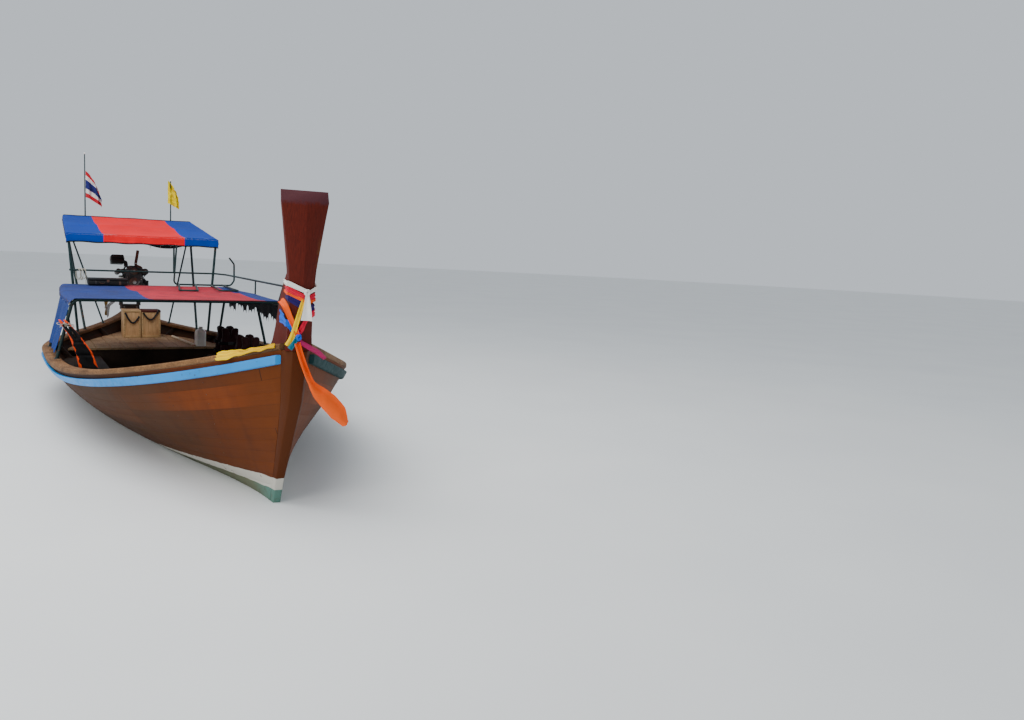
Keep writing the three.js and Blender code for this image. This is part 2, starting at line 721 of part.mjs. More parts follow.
function upperFrame() {
  const { front, rear } = UPPER;
  const bars = [];
  for (const side of [-1, 1]) {
    bars.push(bar(capFoot(front, side), upperCorner(front, side), FRAME_PIPE, 0));
    bars.push(bar(upperCorner(front, side), upperCorner(rear, side), FRAME_PIPE, FRAME_PIPE * 0.35));
    bars.push(bar(capFoot(RAKED_POST_FOOT, side), upperCorner(rear, side), FRAME_PIPE));
    bars.push(bar(capFoot(AFT_STRUT_FOOT, side), upperCorner(rear + 120, side), LIGHT_PIPE));
  }
  for (const x of [front, (front + rear) / 2, rear]) {
    bars.push(bar(upperCorner(x, -1), upperCorner(x, 1), FRAME_PIPE, FRAME_PIPE * 0.35));
  }
  const rail = ROOF_RAIL;
  const railEnd = upperHalf(front) - rail.endIn;
  const midTop = upperHeight(front) - UPPER_PIPE_DROP;
  bars.push(bar([front, -railEnd, RAIL_HEIGHT], [front, railEnd, RAIL_HEIGHT], LIGHT_PIPE));
  bars.push(bar([front, MID_POST_Y, RAIL_HEIGHT], [front, MID_POST_Y, midTop], LIGHT_PIPE));
  const run = [[front, railEnd, RAIL_HEIGHT], [rail.kink, rail.kinkHalf, RAIL_HEIGHT],
    [rail.front, rail.frontHalf, RAIL_HEIGHT]];
  bars.push(pipeRun(run, LIGHT_PIPE));
  for (const x of rail.posts) {
    const y = mix(rail.kinkHalf, rail.frontHalf, (rail.kink - x) / (rail.kink - rail.front));
    const foot = Math.min(y, lowerHalf(x) - rail.postIn);
    bars.push(bar([x, foot, ROOF_TOP - 20], [x, y, RAIL_HEIGHT], LIGHT_PIPE * 0.8));
  }
  const roof = slabSolid(LOWER.rear + 100, LOWER.front + 200, 800, 1200, ROOF_TOP - 60, ROOF_TOP);
  return cutByCaps(joined(bars)).subtract(roof);
}

const UPPER_VALANCE = 118;
const UPPER_SKIRT = 78;

function upperCanvasSection(x, thick) {
  const half = upperHalf(x);
  const high = upperHeight(x) + thick;
  const portSide = [
    [x, half + thick, high - UPPER_SKIRT],
    [x, half + thick, high - 12],
    [x, half - 14, high],
    [x, half * 0.5, high],
  ];
  return [...portSide, ...mirrored(portSide).reverse()];
}

// Roof with a valance that hangs down in front; the first section is the foot of the valance
function upperCanvas() {
  const { front, rear } = UPPER;
  const face = (thick) => {
    const roof = [front + 24 + thick, (front + rear) / 2, rear - 12].map((x) => upperCanvasSection(x, thick));
    const foot = roof[0].map(([x, y, z]) => [x + 2, y, z - UPPER_VALANCE]);
    return [foot, ...roof];
  };
  return skinBetween(face(CANVAS), face(0));
}

function addCanopies() {
  addSolid('lower_canopy_frame', lowerFrame(FRAME_PIPE), finishes.pipeTeal);
  addPiece('lower_canopy', lowerCanvas(), finishes.canvasBlue);
  addPiece('starboard_curtain', sideCurtain(), finishes.canvasBlue);
  addSolid('port_valance', portValance(), finishes.canvasNavy);
  addSolid('upper_canopy_frame', upperFrame(), finishes.pipeTeal);
  addPiece('upper_canopy', upperCanvas(), finishes.canvasBlue);
}

// Fittings on the roofs: boarding ladder, locker, flag poles and flags

// The ladder stands on the roof against the upper canopy's front bar: a stile, a long rung on the roof
// and a hook, with two U-shaped steps that lie forward over the roof
const LADDER_PIPE = 12;
const LADDER_X = -2485;
const LADDER_STILE = [[-2530, 396, 1660], [LADDER_X, 352, 0], [LADDER_X, 1120, 0]];
const LADDER_HOOK = [[LADDER_X, 1120, 0], [-2480, 1165, 1200], [-2470, 1160, 1434], [-2460, 1090, 1520]];
const LADDER_STEPS = [
  [[LADDER_X, 420], [-1120, 200], [-1060, 410], [LADDER_X, 640]],
  [[LADDER_X, 850], [-1160, 700], [-1220, 940], [LADDER_X, 1000]],
];

function boardingLadder() {
  const lying = ROOF_TOP + LADDER_PIPE;
  const onRoof = ([x, y, z]) => [x, y, z || lying];
  const runs = [LADDER_STILE, LADDER_HOOK, ...LADDER_STEPS].map((run) => pipeRun(run.map(onRoof), LADDER_PIPE));
  return joined(runs);
}

const LOCKER = { x0: -2430, x1: -2190, y0: -742, y1: -265, height: 84 };

const POLES = [
  { name: 'starboard_flag_pole', y: -600, top: 2960 },
  { name: 'port_flag_pole', y: 610, top: 2660 },
];
const POLE_RADIUS = 10;
const POLE_FOOT = 1950;
const FLAGS = [
  { name: 'striped_flag', pole: 0, width: 190, low: 2130, high: 2680, finish: 'flagRed' },
  { name: 'yellow_flag', pole: 1, width: 120, low: 2170, high: 2640, finish: 'flagYellow' },
];
const FLAG_THICK = 14;

function addRoofFittings() {
  addSolid('boarding_ladder', boardingLadder(), finishes.pipeTeal);
  const locker = LOCKER;
  addPiece('roof_locker', slab(locker.x0, locker.x1, locker.y0, locker.y1, ROOF_TOP, ROOF_TOP + locker.height),
    finishes.darkTimber);
  const poleX = UPPER.rear - FRAME_PIPE - POLE_RADIUS - GAP;
  for (const pole of POLES) {
    const upright = bar([poleX, pole.y, POLE_FOOT], [poleX, pole.y, pole.top], POLE_RADIUS);
    addSolid(pole.name, upright, finishes.pipeTeal);
  }
  for (const flag of FLAGS) {
    const hoist = POLES[flag.pole].y + POLE_RADIUS + GAP;
    const half = FLAG_THICK / 2;
    const cloth = slab(poleX - half, poleX + half, hoist, hoist + flag.width, flag.low, flag.high);
    addPiece(flag.name, cloth, finishes[flag.finish]);
  }
}

// Cloths tied on the prow for luck: a wound band, a long orange sash and a yellow one along the rail

const BAND = { low: 1110, high: 1560, thick: 24 };

function prowBand() {
  const reach = acrossSlab(4300, 5000, BAND.low, BAND.high);
  const knee = solidOf(slab(4300, 4640, -KNEE_HALF - 2, KNEE_HALF + 2, BAND.low, BAND.high));
  return cutByCaps(prowShape(BAND.thick).intersect(reach).subtract(prowShape(GAP)).subtract(knee));
}

// Columns: x, y, height of the sash's middle line, and its width
const ORANGE_SASH = [
  [4737, -38, 1150, 42],
  [4742, 16, 985, 44],
  [4744, 72, 870, 48],
  [4746, 130, 804, 92],
  [4746, 205, 735, 140],
  [4744, 272, 655, 128],
  [4742, 312, 590, 82],
];
const SASH_THICK = 12;

function orangeSash() {
  const rings = ORANGE_SASH.map(([x, y, z, width]) => {
    const [left, right] = [y - width / 2, y + width / 2];
    return [[x, left, z], [x, right, z], [x - SASH_THICK, right, z], [x - SASH_THICK, left, z]];
  });
  return loft(rings);
}

const YELLOW_SASH = { from: 0.012, to: 0.07, after: 4105, half: 34, thick: 12 };

function yellowSash() {
  const stations = STATIONS.filter((s) => s >= YELLOW_SASH.from && s <= YELLOW_SASH.to);
  const rings = stations.map((s) => {
    const [x, y, z] = section(s, 0, 1).at(-1);
    const middle = y - (CAP_INBOARD - CAP_OUTBOARD) / 2;
    const low = z + CAP_THICK + GAP;
    const { half, thick } = YELLOW_SASH;
    return [[x, -middle - half, low], [x, -middle + half, low],
      [x, -middle + half, low + thick], [x, -middle - half, low + thick]];
  });
  return solidOf(loft(rings)).intersect(acrossSlab(YELLOW_SASH.after, 5000, 900, 1300));
}

function addSashes() {
  addSolid('prow_band', prowBand(), finishes.sashRed);
  addPiece('orange_sash', orangeSash(), finishes.sashOrange);
  addSolid('yellow_sash', yellowSash(), finishes.sashYellow);
}

// Engine bed on the stern, and the swivel that turns on it

const BED = { rear: -4420, front: -4190, half: 130, low: 560, top: 700, tenonHalf: 34, tenonLow: 350 };
const SWIVEL = { plateHalf: 62, plateWide: 150, plateThick: 14, pin: 18, pinDeep: 100, pinPlay: 0.6,
  cheekIn: 136, cheekHalf: 38, cheekTop: 840, axlePlay: 0.6 };
const AXLE = 14;
const ROUND = 24;

function engineBed() {
  const { rear, front, half, low, top, tenonHalf, tenonLow } = BED;
  const head = slabSolid(rear, front, -half, half, low + 75, top);
  const tenon = slabSolid(rear + 20, front - 20, -tenonHalf, tenonHalf, tenonLow, low + 90);
  const holeRadius = SWIVEL.pin + SWIVEL.pinPlay;
  const hole = bar([PIVOT.x, 0, top - SWIVEL.pinDeep - 2], [PIVOT.x, 0, top + 20], holeRadius, 0, ROUND);
  return cutByCaps(head.add(tenon)).subtract(hole);
}

function swivelYoke() {
  const { plateHalf, plateWide, plateThick, pin, pinDeep, cheekIn, cheekHalf, cheekTop, axlePlay } = SWIVEL;
  const x = PIVOT.x;
  const floor = BED.top + GAP;
  const plate = slabSolid(x - plateHalf, x + plateHalf, -plateWide, plateWide, floor, floor + plateThick);
  const post = bar([x, 0, BED.top - pinDeep], [x, 0, floor + plateThick / 2], pin, 0, ROUND);
  const cheeks = [-1, 1].map((side) => {
    const edges = [side * cheekIn, side * plateWide].sort((a, b) => a - b);
    return slabSolid(x - cheekHalf, x + cheekHalf, ...edges, floor, cheekTop);
  });
  const axleHole = bar([x, -200, PIVOT.z], [x, 200, PIVOT.z], AXLE + axlePlay, 0, ROUND);
  return joined([plate, post, ...cheeks]).subtract(axleHole);
}

// The engine unit in its own frame: x forward, the tilt axis through the origin

const CRADLE = { rear: -170, front: 620, inner: 92, outer: 116, low: 22, high: 66 };
const BLOCK = { rear: 70, front: 590, half: 125, low: 66.4, high: 330 };
const HEAD = { rear: 110, front: 550, half: 90, high: 445 };
const SUMP = { rear: 150, front: 520, half: 80, low: 24 };
const BELL = { rear: -70, height: 195, small: 100, large: 128, sides: 16 };
const PULLEY = { front: 635, height: 210, radius: 105 };
// Manifolds, starter and dynamo on the block's sides: x, y and z from and to
const SIDE_BOXES = [
  [170, 500, 120, 190, 150, 300],
  [230, 330, 180, 245, 170, 250],
  [350, 540, 85, 235, 300, 400],
  [200, 450, -190, -120, 180, 320],
  [300, 540, -260, -85, 300, 410],
  [120, 260, -235, -120, 110, 220],
];
const SHAFT_HEIGHT = 170;
const TAIL = { rear: -3500, bore: 15.6, boreDeep: 110, thick: 36, thin: 24, neck: 60, neckRear: -900, boss: 34,
  bossLong: 120 };
// The fin under the tube's end, as [x from the tube's rear end, z from the shaft]
const FIN_OUTLINE = [[60, -15], [640, -15], [330, -190], [130, -210]];
const FIN_THICK = 8;
const PROPELLER = { x: -3560, hub: 27, hubLong: 70, radius: 150, chord: 74, thick: 7, pitch: 0.5, blades: 2 };

function cradle() {
  const { rear, front, inner, outer, low, high } = CRADLE;
  const parts = [bar([0, -170, 0], [0, 170, 0], AXLE, 0, ROUND)];
  for (const side of [-1, 1]) {
    const edges = [side * inner, side * outer].sort((a, b) => a - b);
    parts.push(slabSolid(rear, front, ...edges, low, high));
    parts.push(slabSolid(-30, 30, ...edges, -22, low + 5));
  }
  for (const x of [rear, front - 40]) {
    parts.push(slabSolid(x, x + 40, -inner - 5, inner + 5, low, high - 24));
  }
  return joined(parts);
}

function engineBlock() {
  const parts = [
    slabSolid(BLOCK.rear, BLOCK.front, -BLOCK.half, BLOCK.half, BLOCK.low, BLOCK.high),
    slabSolid(HEAD.rear, HEAD.front, -HEAD.half, HEAD.half, BLOCK.high - 5, HEAD.high),
    slabSolid(SUMP.rear, SUMP.front, -SUMP.half, SUMP.half, SUMP.low, BLOCK.low + 5),
    bar([BELL.rear, 0, BELL.height], [BLOCK.rear + 5, 0, BELL.height], BELL.small, 0, BELL.sides, BELL.large),
    bar([BLOCK.front - 5, 0, PULLEY.height], [PULLEY.front, 0, PULLEY.height], PULLEY.radius, 0, BELL.sides),
    ...SIDE_BOXES.map((box) => slabSolid(...box)),
  ];
  return joined(parts);
}

const AIR_BOX = { x0: 270, x1: 450, y0: -295, y1: -110, z0: 480, z1: 615, ductX0: 330, ductX1: 400, ductY: -70,
  ductTop: 545 };

function airCleaner() {
  const box = AIR_BOX;
  const duct = slabSolid(box.ductX0, box.ductX1, box.y1 - 10, box.ductY, HEAD.high + GAP, box.ductTop);
  return slabSolid(box.x0, box.x1, box.y0, box.y1, box.z0, box.z1).add(duct);
}

const EXHAUST = { radius: 22, x: 330, y: 60, bend: 510, topX: 310, topY: 95, top: 700 };

function exhaust() {
  const { radius, x, y, bend, topX, topY, top } = EXHAUST;
  const foot = bar([x, y, HEAD.high + GAP], [x, y, bend], radius);
  return foot.add(pipeRun([[x, y, bend], [topX, topY, top]], radius));
}

const TILLER = { flangeHalf: 60, flangeLow: 20, flangeHigh: 70, pipe: 16,
  run: [[900, 0, 100], [1330, 0, 120]] };

function tiller() {
  const rear = CRADLE.front + GAP + 6;
  const { flangeHalf, flangeLow, flangeHigh, pipe, run } = TILLER;
  const face = CRADLE.front + GAP;
  const flange = slabSolid(face, face + 12, -flangeHalf, flangeHalf, flangeLow, flangeHigh);
  return flange.add(pipeRun([[rear, 0, (flangeLow + flangeHigh) / 2], ...run], pipe));
}

function tailTube() {
  const { rear, bore, boreDeep, thick, thin, neckRear, bossLong } = TAIL;
  const z = SHAFT_HEIGHT;
  const tube = bar([neckRear, 0, z], [rear, 0, z], thick, 0, BELL.sides, thin);
  const neck = bar([BELL.rear - GAP, 0, z], [neckRear - 5, 0, z], TAIL.neck, 0, BELL.sides, thick);
  const boss = bar([rear + bossLong, 0, z], [rear, 0, z], TAIL.boss, 0, BELL.sides);
  const hole = bar([rear + boreDeep, 0, z], [rear - 10, 0, z], bore, 0, BELL.sides);
  const finShape = new THREE.Shape(FIN_OUTLINE.map(([x, down]) => new THREE.Vector2(rear + x, z + down)));
  const fin = new THREE.ExtrudeGeometry(finShape, { depth: FIN_THICK, bevelEnabled: false });
  fin.rotateX(Math.PI / 2);
  fin.translate(0, FIN_THICK / 2, 0);
  return joined([tube, neck, boss, solidOf(fin)]).subtract(hole);
}

// A blade is a flat paddle twisted about its own span
function propellerBlade(turn) {
  const { radius, chord, thick, pitch } = PROPELLER;
  const steps = [[0.12, 0.55], [0.45, 0.95], [0.75, 1], [1, 0.45]];
  const rings = steps.map(([share, width]) => {
    const r = share * radius;
    const angle = Math.atan2(pitch, Math.max(share, 0.25));
    const half = (chord * width) / 2;
    const chordwise = [Math.sin(angle) * half, Math.cos(angle) * half];
    const through = [Math.cos(angle) * thick / 2, -Math.sin(angle) * thick / 2];
    const corner = (a, b) => [a * chordwise[0] + b * through[0], a * chordwise[1] + b * through[1], r];
    return [corner(-1, -1), corner(1, -1), corner(1, 1), corner(-1, 1)];
  });
  const blade = loft(rings);
  blade.rotateX(turn);
  return solidOf(blade);
}

function propeller() {
  const { hub, hubLong, blades } = PROPELLER;
  const parts = [bar([-hubLong / 2, 0, 0], [hubLong / 2, 0, 0], hub, 0, 16),
    bar([hubLong / 2 - 5, 0, 0], [120, 0, 0], TAIL.bore - 0.8, 0, 16)];
  for (let i = 0; i < blades; i += 1) {
    parts.push(propellerBlade((i * 2 * Math.PI) / blades));
  }
  return joined(parts);
}

function addEngine() {
  addSolid('engine_bed', engineBed(), finishes.darkTimber);
  addSolid('swivel_yoke', swivelYoke(), finishes.steel);
  const unit = new THREE.Group();
  unit.position.set(PIVOT.x, 0, PIVOT.z);
  unit.rotation.y = -REST_TILT;
  boat.add(unit);
  addSolid('engine_cradle', cradle(), finishes.steel, unit);
  addSolid('engine_block', engineBlock().subtract(cradleSpace()), finishes.engineBlack, unit);
  addSolid('air_cleaner', airCleaner(), finishes.engineBlack, unit);
  addSolid('exhaust_stack', exhaust(), finishes.engineBlack, unit);
  addSolid('tiller', tiller(), finishes.steel, unit);
  addSolid('tail_tube', tailTube(), finishes.steel, unit);
  const turning = addSolid('propeller', propeller(), finishes.bronze, unit);
  turning.position.set(PROPELLER.x, 0, SHAFT_HEIGHT);
}

// Room for the cradle's rails under the block
function cradleSpace() {
  const { rear, front, inner, outer, low, high } = CRADLE;
  return joined([-1, 1].map((side) => {
    const edges = [side * (inner - GAP), side * (outer + GAP)].sort((a, b) => a - b);
    return slabSolid(rear - 10, front + 10, ...edges, low - GAP, high + GAP);
  }));
}

addHull();
addInside();
addCanopies();
addRoofFittings();
addSashes();
addEngine();

export default boat;
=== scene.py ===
"""Longtail boat: the looks of an open wooden passenger boat with a tall prow board, two striped canopies
on pipe frames, and a diesel with a long tail shaft. Metres, +X to the bow, +Y to port, +Z up, with the
water at z = 0."""

import math
import random

import bmesh
import bpy
from mathutils import Matrix, Vector, noise


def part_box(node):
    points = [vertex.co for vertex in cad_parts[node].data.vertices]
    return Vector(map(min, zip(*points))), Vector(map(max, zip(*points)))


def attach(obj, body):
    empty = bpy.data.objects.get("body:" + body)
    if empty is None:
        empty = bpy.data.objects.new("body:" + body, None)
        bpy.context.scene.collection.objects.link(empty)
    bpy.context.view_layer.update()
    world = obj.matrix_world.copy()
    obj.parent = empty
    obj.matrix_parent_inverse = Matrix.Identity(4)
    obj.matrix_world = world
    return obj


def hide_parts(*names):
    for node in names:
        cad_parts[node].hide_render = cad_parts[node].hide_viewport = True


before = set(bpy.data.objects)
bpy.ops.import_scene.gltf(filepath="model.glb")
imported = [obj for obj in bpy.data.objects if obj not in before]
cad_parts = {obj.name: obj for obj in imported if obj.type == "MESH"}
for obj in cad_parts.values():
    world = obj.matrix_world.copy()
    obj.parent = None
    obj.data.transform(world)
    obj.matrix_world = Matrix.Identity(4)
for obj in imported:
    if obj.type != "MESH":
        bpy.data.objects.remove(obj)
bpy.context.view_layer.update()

bl_info = {
    "name": "Longtail boat looks",
    "version": (1, 0, 0),
    "blender": (4, 5, 0),
    "location": "3D View > Sidebar > Longtail boat",
    "description": "Builds the visible surfaces of a wooden longtail boat over its CAD frame",
    "category": "Object",
}

# Camera found from the photograph's horizon and the boat's known points
CAMERA_PLACE = (10.461, -1.720, 1.908)
CAMERA_FORWARD = (-0.858, 0.499, -0.122)
CAMERA_RIGHT = (0.497, 0.867, 0.048)
FOCAL_PIXELS = 885.0
IMAGE_WIDTH = 1024.0
SENSOR_WIDTH = 36.0

SIDES = {"starboard": -1, "port": 1}
MILLIMETRE = 0.001


# Nodes and meshes

def linear(code):
    """An sRGB hex colour as linear red, green, blue and alpha."""
    channels = [int(code[i:i + 2], 16) / 255 for i in (1, 3, 5)]
    return [c / 12.92 if c <= 0.04045 else ((c + 0.055) / 1.055) ** 2.4 for c in channels] + [1.0]


def put(tree, kind, inputs=None, stops=None, **settings):
    """Adds a node with its settings, colour stops, values and links."""
    node = tree.nodes.new(kind)
    for key, value in settings.items():
        setattr(node, key, value)
    if stops:
        points = node.color_ramp.elements
        while len(points) < len(stops):
            points.new(0.5)
        for point, (place, colour) in zip(points, stops):
            point.position = place
            point.color = linear(colour) if isinstance(colour, str) else [colour] * 3 + [1.0]
    for key, value in (inputs or {}).items():
        if isinstance(value, bpy.types.NodeSocket):
            tree.links.new(value, node.inputs[key])
        else:
            node.inputs[key].default_value = value
    return node


def blank_material(name):
    """A material with only its shader and output, and the shader's tree."""
    material = bpy.data.materials.new(name)
    material.use_nodes = True
    tree = material.node_tree
    tree.nodes.clear()
    shader = put(tree, "ShaderNodeBsdfPrincipled")
    put(tree, "ShaderNodeOutputMaterial", {"Surface": shader.outputs[0]})
    return material, tree, shader


def feed(tree, shader, **inputs):
    """Sets or links the shader's sockets, with underscores for spaces."""
    for key, value in inputs.items():
        socket = shader.inputs[key.replace("_", " ")]
        if isinstance(value, bpy.types.NodeSocket):
            tree.links.new(value, socket)
        else:
            socket.default_value = value


def object_place(tree, scale=(1, 1, 1), turn=(0, 0, 0), shift=(0, 0, 0)):
    """Object coordinates, scaled for a pattern that is longer one way than the other."""
    place = put(tree, "ShaderNodeTexCoord").outputs["Object"]
    mapped = put(tree, "ShaderNodeMapping",
                 {"Vector": place, "Scale": scale, "Rotation": turn, "Location": shift})
    return mapped.outputs[0]


def bumped(tree, height, strength, distance):
    """The normal of a surface that a height pattern roughens, the distance in metres."""
    return put(tree, "ShaderNodeBump",
               {"Height": height, "Strength": strength, "Distance": distance}).outputs[0]


def blended(tree, share, a, b):
    """Two colours mixed by a share from 0 to 1."""
    return put(tree, "ShaderNodeMix", {0: share, 6: a, 7: b}, data_type="RGBA").outputs[2]


def reckoned(tree, how, a, b):
    """One arithmetic step on values."""
    return put(tree, "ShaderNodeMath", {0: a, 1: b}, operation=how).outputs[0]


def times(tree, a, b):
    return reckoned(tree, "MULTIPLY", a, b)


def plus(tree, a, b):
    return reckoned(tree, "ADD", a, b)


def minus(tree, a, b):
    return reckoned(tree, "SUBTRACT", a, b)


def noisy(tree, place, scale, detail=2.0, roughness=0.5, distortion=0.0):
    """Noise from 0 to 1 at a place, its scale in lumps per metre."""
    inputs = {"Vector": place, "Scale": scale, "Detail": detail, "Roughness": roughness,
              "Distortion": distortion}
    return put(tree, "ShaderNodeTexNoise", inputs).outputs["Fac"]


def ramped(tree, value, *stops):
    """A colour or share read off stops of (value, colour or share)."""
    return put(tree, "ShaderNodeValToRGB", {"Fac": value}, stops=stops).outputs[0]


def ranged(tree, value, start=0.0, end=1.0, low=0.0, high=1.0):
    """A value moved from the range start to end into the range low to high, and held inside it."""
    inputs = {"Value": value, "From Min": start, "From Max": end, "To Min": low, "To Max": high}
    return put(tree, "ShaderNodeMapRange", inputs).outputs[0]


def new_object(name, mesh):
    piece = bpy.data.objects.new(name, mesh)
    bpy.context.scene.collection.objects.link(piece)
    return piece


def mesh_piece(name, points, faces, finish, uvs=None, smooth=True):
    """A mesh object from points and faces, with its corners' UVs if they are given by point."""
    mesh = bpy.data.meshes.new(name)
    mesh.from_pydata([tuple(p) for p in points], [], faces)
    mesh.materials.append(finish_named(finish))
    if uvs:
        layer = mesh.uv_layers.new(name="UVMap")
        for loop in mesh.loops:
            layer.data[loop.index].uv = uvs[loop.vertex_index]
    mesh.polygons.foreach_set("use_smooth", [smooth] * len(mesh.polygons))
    mesh.update()
    return new_object(name, mesh)


def applied(piece):
    """Makes what is live on a piece into its plain mesh."""
    view = bpy.context.evaluated_depsgraph_get()
    made = bpy.data.meshes.new_from_object(piece.evaluated_get(view))
    piece.modifiers.clear()
    piece.data = made
    return made


def settle(piece, body="hull", stands_for=(), crease=None):
    """Applies what is live on a piece, then has it ride on its body in the place of its CAD nodes."""
    if piece.modifiers:
        applied(piece)
    if crease is not None:
        piece.data.set_sharp_from_angle(angle=math.radians(crease))
    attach(piece, body)
    if stands_for:
        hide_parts(*stands_for)
    return piece


def facing_out(piece):
    """Merges doubles and turns all faces outwards."""
    work = bmesh.new()
    work.from_mesh(piece.data)
    bmesh.ops.remove_doubles(work, verts=work.verts, dist=1e-05)
    bmesh.ops.recalc_face_normals(work, faces=work.faces)
    work.to_mesh(piece.data)
    work.free()
    return piece


def joined(name, pieces):
    """Several pieces as one mesh, with all their materials."""
    if len(pieces) > 1:
        with bpy.context.temp_override(active_object=pieces[0], selected_editable_objects=pieces):
            bpy.ops.object.join()
    pieces[0].name = name
    return pieces[0]


def softened(node, finish, width=0.004, segments=2, name=None, crease=38):
    """A CAD node's own shape with its edges eased by a bevel, as a plane and sandpaper leave them."""
    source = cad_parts[node]
    piece = new_object(name or node + "_timber", source.data.copy())
    piece.data.materials.clear()
    piece.data.materials.append(finish_named(finish))
    work = bmesh.new()
    work.from_mesh(piece.data)
    bmesh.ops.remove_doubles(work, verts=work.verts, dist=5e-05)
    bmesh.ops.dissolve_limit(work, angle_limit=math.radians(1.5), verts=work.verts, edges=work.edges)
    work.to_mesh(piece.data)
    work.free()
    bevel = piece.modifiers.new("eased", "BEVEL")
    bevel.width = width
    bevel.segments = segments
    bevel.limit_method = "ANGLE"
    bevel.angle_limit = math.radians(28)
    bevel.use_clamp_overlap = True
    made = applied(piece)
    made.polygons.foreach_set("use_smooth", [True] * len(made.polygons))
    made.set_sharp_from_angle(angle=math.radians(crease))
    return piece


def full_turn(count, closed=False):
    """Angles that share out a full turn evenly, with the first one once more at the end if closed."""
    return [2 * math.pi * i / count for i in range(count + 1 if closed else count)]


def grid_faces(rows, columns, wrap=False):
    """Quads over rows by columns of points, closed round the columns if asked."""
    last = columns if wrap else columns - 1
    return [(r * columns + c, r * columns + (c + 1) % columns, (r + 1) * columns + (c + 1) % columns,
             (r + 1) * columns + c) for r in range(rows - 1) for c in range(last)]


def edge_faces(count):
    """Quads between two like outlines of so many points."""
    return [(i, (i + 1) % count, count + (i + 1) % count, count + i) for i in range(count)]


def plate_faces(count):
    """Both flat sides of a plate and its edge, from the outline of one side and then of the other."""
    return [tuple(range(count)), tuple(range(2 * count - 1, count - 1, -1)), *edge_faces(count)]


def lofted(name, rings, finish, smooth=True):
    """A closed body through rings of points, capped flat at both ends."""
    count = len(rings[0])
    faces = grid_faces(len(rings), count, wrap=True)
    faces += [
        tuple(range(count - 1, -1, -1)),
        tuple((len(rings) - 1) * count + i for i in range(count)),
    ]
    piece = mesh_piece(name, [p for ring in rings for p in ring], faces, finish, smooth=smooth)
    return facing_out(piece)


def rounded_block(name, low, high, finish, radius=0.006, segments=3):
    """A block with eased edges, from its lowest and highest corners."""
    work = bmesh.new()
    bmesh.ops.create_cube(work, size=1)
    middle = (Vector(low) + Vector(high)) / 2
    size = Vector(high) - Vector(low)
    for vert in work.verts:
        vert.co = Vector(v * s for v, s in zip(vert.co, size)) + middle
    reach = min(radius, min(size) * 0.45)
    bmesh.ops.bevel(work, geom=work.edges[:], offset=reach, segments=segments, profile=0.5, affect="EDGES")
    mesh = bpy.data.meshes.new(name)
    work.to_mesh(mesh)
    work.free()
    mesh.materials.append(finish_named(finish))
    mesh.polygons.foreach_set("use_smooth", [True] * len(mesh.polygons))
    mesh.set_sharp_from_angle(angle=math.radians(40))
    return new_object(name, mesh)


def turned(name, stations, finish, start, end, sides=24, turn=None):
    """A body of revolution between two points. Stations are (share of the length, radius)."""
    axis = Vector(end) - Vector(start)
    across = axis.orthogonal().normalized()
    third = axis.normalized().cross(across)
    rings = []
    for share, radius in stations:
        centre = Vector(start) + axis * share
        angles = full_turn(sides)
        rings.append([centre + (across * math.cos(a) + third * math.sin(a)) * radius for a in angles])
    piece = lofted(name, rings, finish)
    if turn is not None:
        piece.data.transform(turn)
    piece.data.set_sharp_from_angle(angle=math.radians(35))
    return piece


# Geometry Nodes trees

def node_tree(name, inputs):
    """A geometry tree with its geometry in and out and its named inputs, and the group input and output."""
    tree = bpy.data.node_groups.new(name, "GeometryNodeTree")
    tree.interface.new_socket("Geometry", in_out="INPUT", socket_type="NodeSocketGeometry")
    tree.interface.new_socket("Geometry", in_out="OUTPUT", socket_type="NodeSocketGeometry")
    for label, kind in inputs:
        tree.interface.new_socket(label, in_out="INPUT", socket_type="NodeSocket" + kind)
    return tree, put(tree, "NodeGroupInput"), put(tree, "NodeGroupOutput")


def grown(name, start, tree, values):
    """The plain mesh that a tree makes of a starting object, which is then removed."""
    modifier = start.modifiers.new("growth", "NODES")
    modifier.node_group = tree
    for item in tree.interface.items_tree:
        if item.in_out == "INPUT" and item.name in values:
            modifier[item.identifier] = values[item.name]
    start.update_tag()
    bpy.context.view_layer.update()
    view = bpy.context.evaluated_depsgraph_get()
    made = bpy.data.meshes.new_from_object(start.evaluated_get(view))
    start.modifiers.clear()
    bpy.data.objects.remove(start)
    return new_object(name, made)


def pipe_tree():
    """Follows every run of edges with a pipe: bends are filleted and ends capped."""
    inputs = [("Radius", "Float"), ("Bend", "Float"), ("Sides", "Int"), ("Finish", "Material")]
    tree, given, out = node_tree("pipe_run", inputs)
    line = put(tree, "GeometryNodeMeshToCurve", {"Mesh": given.outputs["Geometry"]})
    filleted = put(tree, "GeometryNodeFilletCurve",
                   {"Curve": line.outputs[0], "Radius": given.outputs["Bend"]})
    if "Mode" in filleted.inputs:
        filleted.inputs["Mode"].default_value = "Poly"
    else:
        filleted.mode = "POLY"
    filleted.inputs["Count"].default_value = 6
    filleted.inputs["Limit Radius"].default_value = True
    ring = put(tree, "GeometryNodeCurvePrimitiveCircle",
               {"Resolution": given.outputs["Sides"], "Radius": given.outputs["Radius"]})
    tube = put(tree, "GeometryNodeCurveToMesh",
               {"Curve": filleted.outputs[0], "Profile Curve": ring.outputs[0], "Fill Caps": True})
    soft = put(tree, "GeometryNodeSetShadeSmooth", {"Geometry": tube.outputs[0], "Shade Smooth": True})
    real = put(tree, "GeometryNodeRealizeInstances", {"Geometry": soft.outputs[0]})
    finish = put(tree, "GeometryNodeSetMaterial",
                 {"Geometry": real.outputs[0], "Material": given.outputs["Finish"]})
    tree.links.new(finish.outputs[0], out.inputs[0])
    return tree


